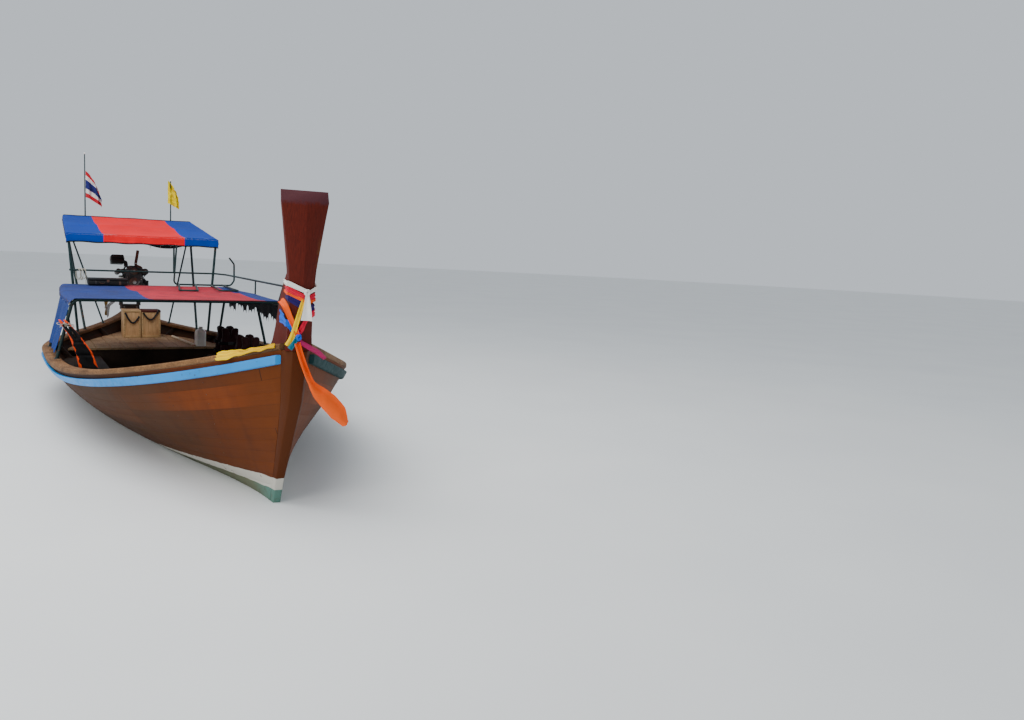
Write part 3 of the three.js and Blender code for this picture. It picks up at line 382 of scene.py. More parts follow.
def scatter_tree():
    """Sets a copy of a small shape on every point, standing along the point's own facing."""
    inputs = [("Shape", "Object"), ("Size", "Float"), ("Size spread", "Float"), ("Seed", "Int"),
              ("Finish", "Material")]
    tree, given, out = node_tree("scattered_shape", inputs)
    shape = put(tree, "GeometryNodeObjectInfo", {"Object": given.outputs["Shape"]})
    facing = put(tree, "GeometryNodeInputNamedAttribute", {"Name": "facing"}, data_type="FLOAT_VECTOR")
    stood = put(tree, "FunctionNodeAlignRotationToVector", {"Vector": facing.outputs[0]}, axis="Z")
    low = put(tree, "ShaderNodeMath", {0: given.outputs["Size"], 1: given.outputs["Size spread"]},
              operation="SUBTRACT")
    high = put(tree, "ShaderNodeMath", {0: given.outputs["Size"], 1: given.outputs["Size spread"]},
               operation="ADD")
    size = put(tree, "FunctionNodeRandomValue", data_type="FLOAT")
    for key, source in (("Min", low.outputs[0]), ("Max", high.outputs[0]), ("Seed", given.outputs["Seed"])):
        socket = [s for s in size.inputs if s.name == key and s.enabled][0]
        tree.links.new(source, socket)
    chosen = [s for s in size.outputs if s.enabled][0]
    copies = put(tree, "GeometryNodeInstanceOnPoints",
                 {"Points": given.outputs["Geometry"], "Instance": shape.outputs["Geometry"],
                  "Rotation": stood.outputs[0], "Scale": chosen})
    real = put(tree, "GeometryNodeRealizeInstances", {"Geometry": copies.outputs[0]})
    finish = put(tree, "GeometryNodeSetMaterial",
                 {"Geometry": real.outputs[0], "Material": given.outputs["Finish"]})
    tree.links.new(finish.outputs[0], out.inputs[0])
    return tree


TREES = {}


def tree_named(name, maker):
    if name not in TREES:
        TREES[name] = maker()
    return TREES[name]


def piped(name, runs, radius, finish, bend=0.05, sides=14):
    """Pipes through lists of points, made by the pipe tree."""
    points, edges = [], []
    for run in runs:
        first = len(points)
        points.extend(tuple(p) for p in run)
        edges.extend((first + i, first + i + 1) for i in range(len(run) - 1))
    mesh = bpy.data.meshes.new(name)
    mesh.from_pydata(points, edges, [])
    values = {"Radius": radius, "Bend": bend, "Sides": sides, "Finish": finish_named(finish)}
    return grown(name, new_object(name + "_line", mesh), tree_named("pipe", pipe_tree), values)


def scattered(name, spots, shape, finish, size=1.0, spread=0.0, seed=1):
    """Copies of a small shape at (place, direction) spots, made by the scatter tree."""
    mesh = bpy.data.meshes.new(name)
    mesh.from_pydata([tuple(p) for p, _ in spots], [], [])
    facing = mesh.attributes.new("facing", "FLOAT_VECTOR", "POINT")
    for item, (_, way) in zip(facing.data, spots):
        item.vector = tuple(way)
    values = {"Shape": shape, "Size": size, "Size spread": spread, "Seed": seed,
              "Finish": finish_named(finish)}
    return grown(name, new_object(name + "_spots", mesh), tree_named("scatter", scatter_tree), values)


def small_shape(kind, radius, height):
    """A bolt head, weld bead, eyelet or nail head, standing on z = 0. It is never linked to the scene."""
    work = bmesh.new()
    if kind == "bolt":
        bmesh.ops.create_cone(work, cap_ends=True, segments=6, radius1=radius, radius2=radius * 0.92,
                              depth=height)
    elif kind == "ring":
        rings = [[(radius * r * math.cos(a), radius * r * math.sin(a), height * z)
                  for a in (math.pi * i / 6 for i in range(12))]
                 for r, z in ((0.5, 0), (0.6, 0.6), (0.9, 0.6), (1, 0))]
        verts = [[work.verts.new(p) for p in ring] for ring in rings]
        for k in range(4):
            inner, outer = verts[k], verts[(k + 1) % 4]
            for i in range(12):
                j = (i + 1) % 12
                work.faces.new((inner[i], outer[i], outer[j], inner[j]))
        bmesh.ops.recalc_face_normals(work, faces=work.faces)
    elif kind == "weld":
        bmesh.ops.create_uvsphere(work, u_segments=20, v_segments=10, radius=radius)
        for vert in work.verts:
            vert.co.z *= height / radius
    else:
        bmesh.ops.create_uvsphere(work, u_segments=8, v_segments=4, radius=radius)
        for vert in work.verts:
            vert.co.z *= height / radius
    mesh = bpy.data.meshes.new(kind)
    work.to_mesh(mesh)
    work.free()
    mesh.polygons.foreach_set("use_smooth", [kind in ("weld", "nail")] * len(mesh.polygons))
    return bpy.data.objects.new(kind, mesh)


# Sizes and colours that a user would change

def colour_choice(name, text, code):
    return bpy.props.FloatVectorProperty(name=name, description=text, default=linear(code)[:3],
                                         subtype="COLOR", size=3, min=0, max=1)


def length_choice(name, text, default):
    return bpy.props.FloatProperty(name=name, description=text, default=default, min=0.0, unit="LENGTH")


class LongtailColours(bpy.types.PropertyGroup):
    """Paints, stains and cloths"""
    planking: colour_choice("Planking", "Oil stain of the hull planks near the bow", "#6A2E04")
    stripe: colour_choice("Boot stripe", "Painted stripe above the water", "#C9C6BC")
    bottom: colour_choice("Bottom paint", "Paint below the stripe", "#5E6550")
    strake: colour_choice("Starboard strake", "Gloss paint of the starboard rub strake", "#1690E0")
    # The port strake wears the starboard's light blue paint; its dark teal is painted shade.
    strake_port: colour_choice("Port strake", "Gloss paint of the port rub strake", "#0A3638")
    prow: colour_choice("Prow stain", "Stain of the prow board", "#571306")
    pipe: colour_choice("Pipe enamel", "Enamel of the canopy pipes", "#0C2A2C")
    canvas_blue: colour_choice("Blue canvas", "Outer stripes of the canopies", "#003C9E")
    canvas_red: colour_choice("Red canvas", "Middle stripe of the canopies", "#EE1220")
    jacket_maroon: colour_choice("Maroon jackets", "Cloth of the port life jackets", "#2A080C")
    jacket_orange: colour_choice("Orange jacket", "Cloth of the starboard life jacket", "#F24A10")
    sash_orange: colour_choice("Orange ribbon", "Long ribbon on the prow", "#FF6212")
    sash_yellow: colour_choice("Yellow ribbon", "Ribbon along the rail", "#FFD200")


class LongtailSizes(bpy.types.PropertyGroup):
    """Sizes of what repeats or sags"""
    planks: bpy.props.IntProperty(name="Planks", description="Planks on each side below the rub strake",
                                  default=6, min=4, max=16)
    seam: length_choice("Seam depth", "How deep the caulked seams lie between planks", 0.003)
    canopy_sag: length_choice("Canopy sag", "How far the canvas sinks between its hoops", 0.022)
    pipe_bend: length_choice("Pipe bend", "Radius of the bends in the lower canopy's hoops", 0.075)
    deck_gap: length_choice("Deck gap", "Gap between deck boards", 0.006)
    rivet_step: length_choice("Fastening step", "Distance between fastenings along a plank", 0.425)


def chosen(name):
    """A colour of the palette as linear red, green, blue and alpha."""
    return list(getattr(bpy.context.scene.longtail_colours, name)) + [1.0]


# Materials. Pattern scales are per metre: a grain of 3 mm is about 330.

def timber(name, dark, light, along=0, grain_mm=4.0, rough=(0.6, 0.85), relief=0.5, stain="#2A1D16",
           stain_share=0.35, coat=0.0):
    """Sawn and planed wood: grain streaks run along one axis, with weather stains across boards. The grain is
    drawn a little coarser than real so that it shows."""
    material, tree, shader = blank_material(name)
    fine = 1000 / grain_mm
    scale = [fine] * 3
    scale[along] = fine / 22
    streaks = noisy(tree, object_place(tree, scale), 1.0, 5.0, 0.62, 0.7)
    tone = ramped(tree, streaks, (0.3, dark), (0.72, light))
    weather = noisy(tree, object_place(tree), 3.1, 6.0, 0.6)
    worn = ramped(tree, weather, (0.42, 0.0), (0.68, stain_share))
    colour = blended(tree, worn, tone, linear(stain))
    sheen = ranged(tree, weather, low=rough[0], high=rough[1])
    feed(tree, shader, Base_Color=colour, Roughness=sheen, Coat_Weight=coat, Coat_Roughness=0.25,
         Specular_IOR_Level=0.25, Normal=bumped(tree, streaks, relief, 0.0012))
    return material


def enamel(name, paint, under="#5A4634", rough=0.32, chips=0.60, dirt="#2B2A26", grime=0.35, metallic=0.0):
    """Brushed gloss paint, chipped through to what is under it, with grime that takes the shine off."""
    material, tree, shader = blank_material(name)
    place = object_place(tree)
    chip = noisy(tree, place, 26.0, 8.0, 0.68)
    broad = noisy(tree, place, 2.3, 4.0)
    worn = plus(tree, chip, times(tree, broad, 0.3))
    mask = ramped(tree, worn, (chips + 0.15, 0.0), (chips + 0.175, 1.0))
    shade = ramped(tree, broad, (0.35, 0.0), (0.75, grime))
    soiled = blended(tree, shade, paint, linear(dirt))
    colour = blended(tree, mask, soiled, linear(under))
    brush = noisy(tree, object_place(tree, (8, 260, 260)), 1.0, 3.0)
    dull = ranged(tree, worn, 0.5, 0.85, rough, rough + 0.35)
    relief = minus(tree, times(tree, brush, 0.25), mask)
    feed(tree, shader, Base_Color=colour, Roughness=dull, Metallic=metallic, Specular_IOR_Level=0.22,
         Normal=bumped(tree, relief, 0.4, 0.0006))
    return material


def woven(name, colour, thread_mm=2.4, rough=0.85, sheen=0.04, soil="#241F1C", soil_share=0.3, relief=0.35,
          paint=None, through=0.0):
    """Cloth: a plain weave of crossed threads, drawn coarser than real, with soiling in broad patches. Paint
    is a function that gives the colour from the tree for cloths with stripes."""
    material, tree, shader = blank_material(name)
    place = object_place(tree)
    step = 1000 / thread_mm * math.pi
    threads = []
    for axis in ("X", "Y", "Z"):
        wave = put(tree, "ShaderNodeTexWave",
                   {"Vector": place, "Scale": step / math.pi / 2, "Distortion": 0.6, "Detail": 1.0},
                   wave_type="BANDS", bands_direction=axis)
        threads.append(wave.outputs["Fac"])
    weave = times(tree, plus(tree, threads[0], threads[2]), plus(tree, threads[1], 0.6))
    broad = noisy(tree, place, 4.2, 6.0, 0.65)
    spots = ramped(tree, broad, (0.4, 0.0), (0.78, soil_share))
    base = paint(tree) if paint else colour
    soiled = blended(tree, spots, base, linear(soil))
    bleach = noisy(tree, place, 1.3, 3.0)
    faded = ranged(tree, bleach, 0.3, 0.7, 0.84, 1.06)
    toned = put(tree, "ShaderNodeHueSaturation", {"Value": faded, "Color": soiled})
    feed(tree, shader, Base_Color=toned.outputs[0], Roughness=rough, Sheen_Weight=sheen, Sheen_Roughness=0.5,
         Specular_IOR_Level=0.12, Normal=bumped(tree, weave, relief, 0.0008))
    if through:
        feed(tree, shader, Subsurface_Weight=through, Subsurface_Scale=0.004)
    return material


def metal(name, colour, rust="#5A2E18", rust_share=0.45, rough=0.42, metallic=0.85, grain_mm=6.0, relief=0.3):
    """Bare or oily metal: dull forged or cast skin, with rust in patches that isn't metallic."""
    material, tree, shader = blank_material(name)
    place = object_place(tree)
    skin = noisy(tree, place, 1000 / grain_mm, 4.0)
    broad = noisy(tree, place, 9.0, 8.0, 0.7)
    mask = ramped(tree, broad, (0.62 - rust_share * 0.3, 0.0), (0.74 - rust_share * 0.2, 1.0))
    tint = blended(tree, skin, linear(colour), [c * 0.55 for c in linear(colour)[:3]] + [1])
    feed(tree, shader, Base_Color=blended(tree, mask, tint, linear(rust)),
         Metallic=times(tree, minus(tree, 1.0, mask), metallic),
         Roughness=plus(tree, rough, times(tree, mask, 0.4)),
         Normal=bumped(tree, plus(tree, skin, mask), relief, 0.0007))
    return material


def moulded(name, colour, rough=0.45, through=0.0, mottle=0.12):
    """Moulded plastic or rubber: an even skin with a faint mottle and scuffs that break its shine."""
    material, tree, shader = blank_material(name)
    place = object_place(tree)
    scuff = noisy(tree, place, 34.0, 7.0, 0.7)
    shade = ramped(tree, scuff, (0.45, 0.0), (0.8, mottle * 2))
    feed(tree, shader, Base_Color=blended(tree, shade, linear(colour), linear("#2E2A26")),
         Roughness=plus(tree, rough, times(tree, shade, 0.8)), Normal=bumped(tree, scuff, 0.15, 0.0004))
    if through:
        feed(tree, shader, Subsurface_Weight=through, Subsurface_Scale=0.02)
    return material


def bands_across(edges, low, high, wobble=0.006):
    """Colour bands across the boat, as [(y where the band starts, colour)], sewn edge to edge."""
    def paint(tree):
        place = put(tree, "ShaderNodeTexCoord").outputs["Object"]
        across = put(tree, "ShaderNodeSeparateXYZ", {"Vector": place}).outputs["Y"]
        drift = noisy(tree, place, 1.6)
        moved = plus(tree, across, times(tree, drift, wobble))
        share = ranged(tree, moved, low, high)
        ramp = put(tree, "ShaderNodeValToRGB", {"Fac": share},
                   stops=[((y - low) / (high - low), 0.0) for y, _ in edges])
        ramp.color_ramp.interpolation = "CONSTANT"
        for point, (_, colour) in zip(ramp.color_ramp.elements, edges):
            point.color = colour
        return ramp.outputs[0]
    return paint


# The white boot stripe, by its edges' heights at two stations; further aft it is worn away
STRIPE_AFT, STRIPE_FORE = 1.95, 4.10
STRIPE_LOW = (0.022, 0.106)
STRIPE_HIGH = (0.034, 0.198)
# How many plank rows the UVs of the planks' inner faces are moved up, which tells them from the outer ones
INNER_ROWS = 40


def oiled_planking(posts=False):
    """Hardwood planks, planed, oiled and stained red-brown: straight grain along each plank, a tone of its
    own for each, darker caulked joints, grey-olive weathering aft, and drips. Below the stripe it is bottom
    paint, darkened aft to olive with painted shade."""
    material, tree, shader = blank_material("oiled_hardwood_posts" if posts else "oiled_hardwood_planking")
    if posts:
        seat = object_place(tree, (0, 0, 0), shift=(0.9, 0.5, 0))
    else:
        seat = put(tree, "ShaderNodeUVMap", uv_map="UVMap").outputs[0]
    boards = put(tree, "ShaderNodeTexBrick", {
        "Vector": seat, "Scale": 1.0, "Brick Width": 2.7, "Row Height": 1.0, "Mortar Size": 0.0045,
        "Mortar Smooth": 0.5, "Color1": (0.25, 0.25, 0.25, 1), "Color2": (1, 1, 1, 1), "Mortar": (0, 0, 0, 1),
        "Bias": 0.0}, offset=0.37, offset_frequency=3)
    if posts:
        grain_place = object_place(tree, (120, 120, 7))
    else:
        grain_place = put(tree, "ShaderNodeMapping", {"Vector": seat, "Scale": (5.0, 30.0, 1.0)}).outputs[0]
    grain = noisy(tree, grain_place, 1.0, 6.0, 0.65, 0.5)
    place = put(tree, "ShaderNodeTexCoord").outputs["Object"]
    spot = put(tree, "ShaderNodeSeparateXYZ", {"Vector": place})
    weather = noisy(tree, place, 1.7, 7.0, 0.6)
    run = ranged(tree, plus(tree, spot.outputs["X"], times(tree, weather, 1.6)), 2.2, 5.2)
    aged = ramped(tree, run, (0.0, "#26210F"), (0.3, "#2C2410"), (0.6, "#44280B"), (0.85, "#602C05"),
                  (1.0, "#6C3407"))
    stained = blended(tree, 0.15, aged, chosen("planking"))
    light = blended(tree, times(tree, boards.outputs["Color"], 0.22), stained, linear("#874008"))
    renewed = ramped(tree, boards.outputs["Color"], (0.78, 0.0), (0.8, 0.5))
    rising, falling = (ranged(tree, spot.outputs["X"], start, end)
                       for start, end in ((3.1, 3.7), (4.3, 4.05)))
    by_bow = times(tree, rising, falling)
    patched = blended(tree, times(tree, renewed, by_bow), light, linear("#9E4606"))
    grained = blended(tree, times(tree, grain, 0.5), patched, linear("#2C1407"))
    joint = times(tree, boards.outputs["Fac"], 0.7)
    seamed = blended(tree, joint, grained, linear("#150C07"))
    drips_place = put(tree, "ShaderNodeMapping", {"Vector": place, "Scale": (9, 9, 0.8)})
    drips = noisy(tree, drips_place.outputs[0], 1.0, 3.0)
    streak = ramped(tree, drips, (0.5, 0.0), (0.8, 0.3))
    oiled = blended(tree, streak, seamed, linear("#2A1509"))
    if posts:
        oiled = blended(tree, 0.14, oiled, linear("#9A4A0C"))
        inside = 0.0
    else:
        rows = put(tree, "ShaderNodeSeparateXYZ", {"Vector": seat}).outputs["Y"]
        inside = reckoned(tree, "GREATER_THAN", rows, INNER_ROWS / 2)
    outside = minus(tree, 1.0, inside)
    oiled = blended(tree, times(tree, inside, 0.5), oiled, linear("#2A1C12"))
    # Stripe and bottom paint, both with a hand-cut edge, on the outer faces only
    ragged = noisy(tree, place, 9.0, 5.0)
    shake = times(tree, minus(tree, ragged, 0.5), 0.022)
    height = plus(tree, spot.outputs["Z"], shake)
    edges = [ranged(tree, spot.outputs["X"], STRIPE_AFT, STRIPE_FORE, low, high)
             for low, high in (STRIPE_LOW, STRIPE_HIGH)]
    above = reckoned(tree, "GREATER_THAN", height, edges[0])
    below = reckoned(tree, "LESS_THAN", height, edges[1])
    fore = reckoned(tree, "GREATER_THAN", spot.outputs["X"], STRIPE_AFT + 0.25)
    flakes = noisy(tree, place, 21.0, 9.0, 0.7)
    kept = ramped(tree, flakes, (0.6, 1.0), (0.66, 0.25))
    on_stripe = times(tree, times(tree, above, below), times(tree, fore, kept))
    chalk = blended(tree, times(tree, weather, 0.5), chosen("stripe"), linear("#8E8672"))
    striped = blended(tree, times(tree, on_stripe, outside), oiled, chalk)
    # Bottom paint: the teal near the bow is its own colour; the olive that darkens aft is painted shade, the
    # hull under water in its own shadow.
    bottom_shade_run = ranged(tree, spot.outputs["X"], 0.0, 4.25)
    bottom_shade_tone = ramped(tree, bottom_shade_run, (0.0, "#3C3C2C"), (0.55, "#4A4B38"), (0.9, "#686B55"),
                   (0.97, "#4F8C84"))
    bottom_paint_shaded = blended(tree, 0.45, bottom_shade_tone, chosen("bottom"))
    rusty = ramped(tree, flakes, (0.5, 0.0), (0.68, 0.55))
    bottom = blended(tree, rusty, bottom_paint_shaded, linear("#5A4431"))
    under = times(tree, reckoned(tree, "LESS_THAN", height, edges[0]), outside)
    painted = blended(tree, under, striped, bottom)
    shine = ranged(tree, weather, low=0.55, high=0.85)
    relief = minus(tree, times(tree, grain, 0.5), times(tree, boards.outputs["Fac"], 1.0))
    feed(tree, shader, Base_Color=painted, Roughness=shine, Specular_IOR_Level=0.16,
         Normal=bumped(tree, relief, 0.55, 0.0022))
    return material


def prow_stain():
    """A single hardwood board, stained maroon and oiled: grain up the board, the stain rubbed off to yellow
    wood along its port edge and faded purple on the crown."""
    material, tree, shader = blank_material("maroon_stained_prow")
    place = put(tree, "ShaderNodeTexCoord").outputs["Object"]
    spot = put(tree, "ShaderNodeSeparateXYZ", {"Vector": place})
    streaks = noisy(tree, object_place(tree, (190, 190, 9)), 1.0, 6.0, 0.62, 0.4)
    tone = ramped(tree, streaks, (0.28, "#3A0D05"), (0.52, "#55160A"), (0.8, "#6A2110"))
    stained = blended(tree, 0.3, tone, chosen("prow"))
    rough_edge = noisy(tree, place, 34.0, 8.0, 0.7)
    jitter = times(tree, rough_edge, 0.09)
    port_edge = ranged(tree, plus(tree, spot.outputs["Y"], jitter), 0.132, 0.168)
    low = ranged(tree, plus(tree, spot.outputs["Z"], jitter), 2.0, 1.86)
    rubbed = blended(tree, times(tree, times(tree, port_edge, low), 0.55), stained, linear("#8A6430"))
    crown = ranged(tree, plus(tree, spot.outputs["Z"], jitter), 2.185, 2.21)
    faded = blended(tree, times(tree, crown, 0.7), rubbed, linear("#4A2A33"))
    pits = ramped(tree, rough_edge, (0.62, 0.0), (0.74, 0.4))
    feed(tree, shader, Base_Color=blended(tree, pits, faded, linear("#2A0F0A")),
         Roughness=ranged(tree, rough_edge, low=0.5, high=0.8), Specular_IOR_Level=0.18,
         Normal=bumped(tree, plus(tree, streaks, rough_edge), 0.35, 0.0012))
    return material


def floor_paint():
    """A pale matt paint with a faint haze."""
    material, tree, shader = blank_material("pale_studio_floor")
    haze = noisy(tree, object_place(tree), 0.6, 2.0)
    tone = ramped(tree, haze, (0.3, "#E4E6E6"), (0.7, "#E9EBEA"))
    feed(tree, shader, Base_Color=tone, Roughness=0.7)
    return material


MATERIALS = {}


def canopy_bands(start, finish, fade=0.0):
    """The three stripes of a canopy, faded by a share towards the grey of old canvas."""
    dull = linear("#3A3C50")
    blue, red = ([mix(a, b, fade) for a, b in zip(chosen(name), dull)]
                 for name in ("canvas_blue", "canvas_red"))
    return bands_across([(-2.0, blue), (start, red), (finish, blue)], -2.0, 2.0)


# Every material of the boat by its common name. Each is made when a piece first asks for it.
RECIPES = {
    "planking": oiled_planking,
    "posts": lambda: oiled_planking(posts=True),
    "prow": prow_stain,
    "cap_rail": lambda: timber("bare_worn_cap_rail", "#4A2810", "#9A7248", grain_mm=7.0, stain="#2E180A",
                               stain_share=0.7, relief=0.7),
    "strake": lambda: enamel("light_blue_gloss_paint", chosen("strake"), chips=0.66, grime=0.22),
    # The port strake's dark teal is painted shade on the same light blue paint.
    "strake_port": lambda: enamel("dark_teal_gloss_paint", chosen("strake_port"), rough=0.6, chips=0.68),
    "keel": lambda: enamel("antifouling_paint", chosen("bottom"), under="#4A3322", rough=0.7, chips=0.56),
    "frames": lambda: timber("dark_soaked_frames", "#1A120D", "#3E2A1D", along=1, stain="#0E0B09"),
    "boards": lambda: timber("dark_trodden_boards", "#1E1611", "#4A3728", stain="#0F0C0A", stain_share=0.6),
    "deck": lambda: timber("sun_bleached_decking", "#80654A", "#C8A67C", grain_mm=5.0, stain="#4C3826",
                           stain_share=0.45, relief=0.8),
    "plywood": lambda: timber("raw_plywood", "#B28458", "#E6BE8C", along=2, grain_mm=9.0, stain="#5A4127",
                              stain_share=0.45, relief=0.3),
    "plywood_edge": lambda: timber("plywood_cut_edge", "#A07848", "#E8C694", along=1, grain_mm=2.5),
    "red_board": lambda: timber("red_brown_lid_strip", "#3A1712", "#6B3026", along=1),
    "pipe": lambda: enamel("dark_teal_pipe_enamel", chosen("pipe"), under="#55301C", rough=0.3, chips=0.62),
    "upper_canvas": lambda: woven("striped_polyester_canvas", None, thread_mm=2.2, through=0.03,
                                  soil_share=0.14, paint=canopy_bands(-0.525, 0.505)),
    "lower_canvas": lambda: woven("faded_striped_canvas", None, thread_mm=2.2, soil="#332C34",
                                  soil_share=0.6, through=0.03, paint=canopy_bands(-0.31, 0.9, 0.45)),
    "curtain": lambda: woven("blue_curtain_canvas", linear("#08337C"), soil="#101A34", soil_share=0.5),
    "navy": lambda: woven("navy_tarpaulin", linear("#10182A"), thread_mm=3.0, rough=0.6),
    "hem": lambda: woven("dark_edge_binding", linear("#12181C"), thread_mm=2.0),
    "jacket_maroon": lambda: woven("maroon_jacket_nylon", chosen("jacket_maroon"), thread_mm=2.0, rough=0.6,
                                   soil="#120606", soil_share=0.5),
    "jacket_orange": lambda: woven("orange_jacket_nylon", chosen("jacket_orange"), thread_mm=2.0, rough=0.6,
                                   soil="#6A3A20", soil_share=0.35),
    "jacket_black": lambda: woven("black_jacket_nylon", linear("#0C0C0E"), thread_mm=2.0, rough=0.6),
    "webbing": lambda: woven("black_webbing", linear("#0E0E10"), thread_mm=2.8, rough=0.7),
    "can": lambda: moulded("translucent_hdpe", "#F6F4EC", rough=0.38, through=0.2, mottle=0.03),
    "cap_plastic": lambda: moulded("white_screw_cap", "#DEDCD2", rough=0.4),
    "striped_flag": lambda: woven("striped_flag_polyester", None, thread_mm=1.6, soil_share=0.1,
                                  paint=flag_bands),
    "yellow_flag": lambda: woven("yellow_flag_polyester", linear("#F0DC08"), thread_mm=1.6, soil="#8A8410",
                                 soil_share=0.15),
    "sash_orange": lambda: satin("orange_satin", chosen("sash_orange")),
    "sash_yellow": lambda: satin("yellow_satin", chosen("sash_yellow")),
    "sash_red": lambda: satin("rose_satin", linear("#E0183C")),
    "sash_blue": lambda: satin("blue_satin", linear("#0A62D8")),
    "sash_purple": lambda: satin("purple_satin", linear("#24125E")),
    "sash_green": lambda: satin("green_satin", linear("#1C6F88")),
    "sash_white": lambda: satin("white_satin", linear("#F2F0EA")),
    "sash_magenta": lambda: satin("magenta_satin", linear("#B81860")),
    "pale_stick": lambda: timber("peeled_pale_stick", "#C8B698", "#F2E8D0", grain_mm=3.0, stain="#8A7860",
                                 stain_share=0.2, relief=0.3),
    "iron": lambda: metal("oily_cast_iron", "#171718", rust="#1F1611", rust_share=0.35, rough=0.5,
                          metallic=0.5),
    "alloy": lambda: metal("dull_cast_alloy", "#4A4A4A", rust="#221D19", rust_share=0.5, rough=0.5,
                           metallic=0.8),
    "steel": lambda: metal("part_rusted_steel", "#4B4A48", rust="#54301C", rust_share=0.55, rough=0.42),
    "bright": lambda: metal("worn_bright_steel", "#A9A7A2", rust="#6A4B35", rust_share=0.2, rough=0.3,
                            metallic=0.95),
    "bronze": lambda: metal("worn_bronze", "#6A4E26", rust="#2E3F33", rust_share=0.4, rough=0.35,
                            metallic=0.95),
    "rubber": lambda: moulded("black_rubber_hose", "#141414", rough=0.55),
    "black_paint": lambda: enamel("black_stove_paint", linear("#101112"), under="#4A3020", rough=0.38,
                                  chips=0.66),
    # The second colour is painted shade in the rope's grooves.
    "rope_white": lambda: twisted("white_polypropylene_rope", "#C6C2B4", "#7A7464"),
    "rusty": lambda: metal("rusted_exhaust_pipe", "#3A2A22", rust="#5B3320", rust_share=0.95, rough=0.6,
                           metallic=0.4, relief=0.6),
    "floor": floor_paint,
    "nail": lambda: metal("galvanised_nail_heads", "#6B665E", rust="#3A2115", rust_share=0.6),
}


def finish_named(name):
    if name not in MATERIALS:
        MATERIALS[name] = RECIPES[name]()
    return MATERIALS[name]


def flag_bands(tree):
    """Five stripes along the flag's UV: red, white, a double blue, white and red."""
    seat = put(tree, "ShaderNodeUVMap", uv_map="UVMap").outputs[0]
    up = put(tree, "ShaderNodeSeparateXYZ", {"Vector": seat}).outputs["Y"]
    codes = ["#B9202E", "#DAD8D4", "#25296B", "#DAD8D4", "#B9202E"]
    places = [0.0, 1 / 6, 2 / 6, 4 / 6, 5 / 6]
    ramp = put(tree, "ShaderNodeValToRGB", {"Fac": up}, stops=list(zip(places, codes)))
    ramp.color_ramp.interpolation = "CONSTANT"
    return ramp.outputs[0]


def satin(name, colour):
    """Polyester satin ribbon: a close weave with a long sheen across it, puckered by fine creases."""
    material, tree, shader = blank_material(name)
    place = object_place(tree)
    crease = noisy(tree, object_place(tree, (60, 60, 14)), 1.0, 5.0, distortion=1.2)
    broad = noisy(tree, place, 11.0, 4.0)
    shade = ranged(tree, broad, low=0.72, high=1.0)
    toned = put(tree, "ShaderNodeHueSaturation", {"Value": shade, "Color": colour})
    feed(tree, shader, Base_Color=toned.outputs[0], Roughness=0.5, Sheen_Weight=0.04, Sheen_Roughness=0.35,
         Anisotropic=0.5, Specular_IOR_Level=0.15, Normal=bumped(tree, crease, 0.5, 0.003))
    return material


def twisted(name, light, dark):
    """Laid rope: strands twist round it, so light bands alternate with grooves darkened by painted shade."""
    material, tree, shader = blank_material(name)
    place = object_place(tree, turn=(0.5, 0.4, 0.6))
    lay = put(tree, "ShaderNodeTexWave", {"Vector": place, "Scale": 60.0, "Distortion": 0.8},
              wave_type="BANDS", bands_direction="DIAGONAL")
    # The dark stop is painted shade in the grooves between strands.
    tone = ramped(tree, lay.outputs["Fac"], (0.15, dark), (0.6, light))
    feed(tree, shader, Base_Color=tone, Roughness=0.7, Sheen_Weight=0.3,
         Normal=bumped(tree, lay.outputs["Fac"], 0.6, 0.002))
    return material


# Hull form, as the CAD has it. The fraction s runs along the sheer from 0 at the bow to 1 at the stern, and
# heights are from the foot of the painted stripe until a point is placed.

STRIPE_ABOVE_WATER = 0.1
HALF_BEAM, MAX_BEAM_AT, TURN_EASE = 1.315, 0.6, 0.12
BOW_FULLNESS, STERN_FULLNESS, STERN_HOLLOW = 3.49, 1.71, 1.17
LOW_SHEER, BOW_SHEER, STERN_SHEER = 0.380, 1.042, 0.565
LOWEST_SHEER_AT, BOW_SHEER_SWEEP, STERN_SHEER_SWEEP = 0.66, 2.66, 3.67
KEEL_DRAFT, BOW_KEEL_LINE, STERN_KEEL_LINE = 0.28, -0.15, -0.2
PLANK, PLANK_ABOVE_STRAKE, CENTRE_SEAM = 0.028, 0.035, 0.002
STEM_HALF_LOW, STEM_HALF_HIGH, STERN_POST_HALF = 0.028, 0.100, 0.045
CAP_THICK, CAP_INBOARD, CAP_OUTBOARD = 0.045, 0.120, 0.010
STRAKE_DEEP, STRAKE_THICK = 0.065, 0.038
FIT = 0.0003
HOSE_RADIUS = 0.012
STEM_TOP, STERN_TOP = 4.59, -4.59
STEM_RABBET = [(-0.15, 4.085), (0.06, 4.195), (0.43, 4.385), (0.71, 4.52), (1.077, STEM_TOP)]
STERN_RABBET = [(-0.2, -4.15), (0.1, -4.33), (0.6, STERN_TOP)]
ROW_FOOT, ROW_STRAKE_FOOT, ROW_STRAKE_TOP, ROW_TOP = 0.0, 1.0, 2.0, 3.0


def mix(a, b, t):
    return a + (b - a) * t


def sheer_height(s):
    if s < LOWEST_SHEER_AT:
        return LOW_SHEER + (BOW_SHEER - LOW_SHEER) * (1 - s / LOWEST_SHEER_AT) ** BOW_SHEER_SWEEP
    run = (s - LOWEST_SHEER_AT) / (1 - LOWEST_SHEER_AT)
    return LOW_SHEER + (STERN_SHEER - LOW_SHEER) * run ** STERN_SHEER_SWEEP


def beam_share(s):
    if s < MAX_BEAM_AT:
        return 1 - (1 - s / MAX_BEAM_AT) ** BOW_FULLNESS
    run = (1 - s) / (1 - MAX_BEAM_AT)
    return max(0.0, 1 - (1 - run) ** STERN_FULLNESS) ** STERN_HOLLOW


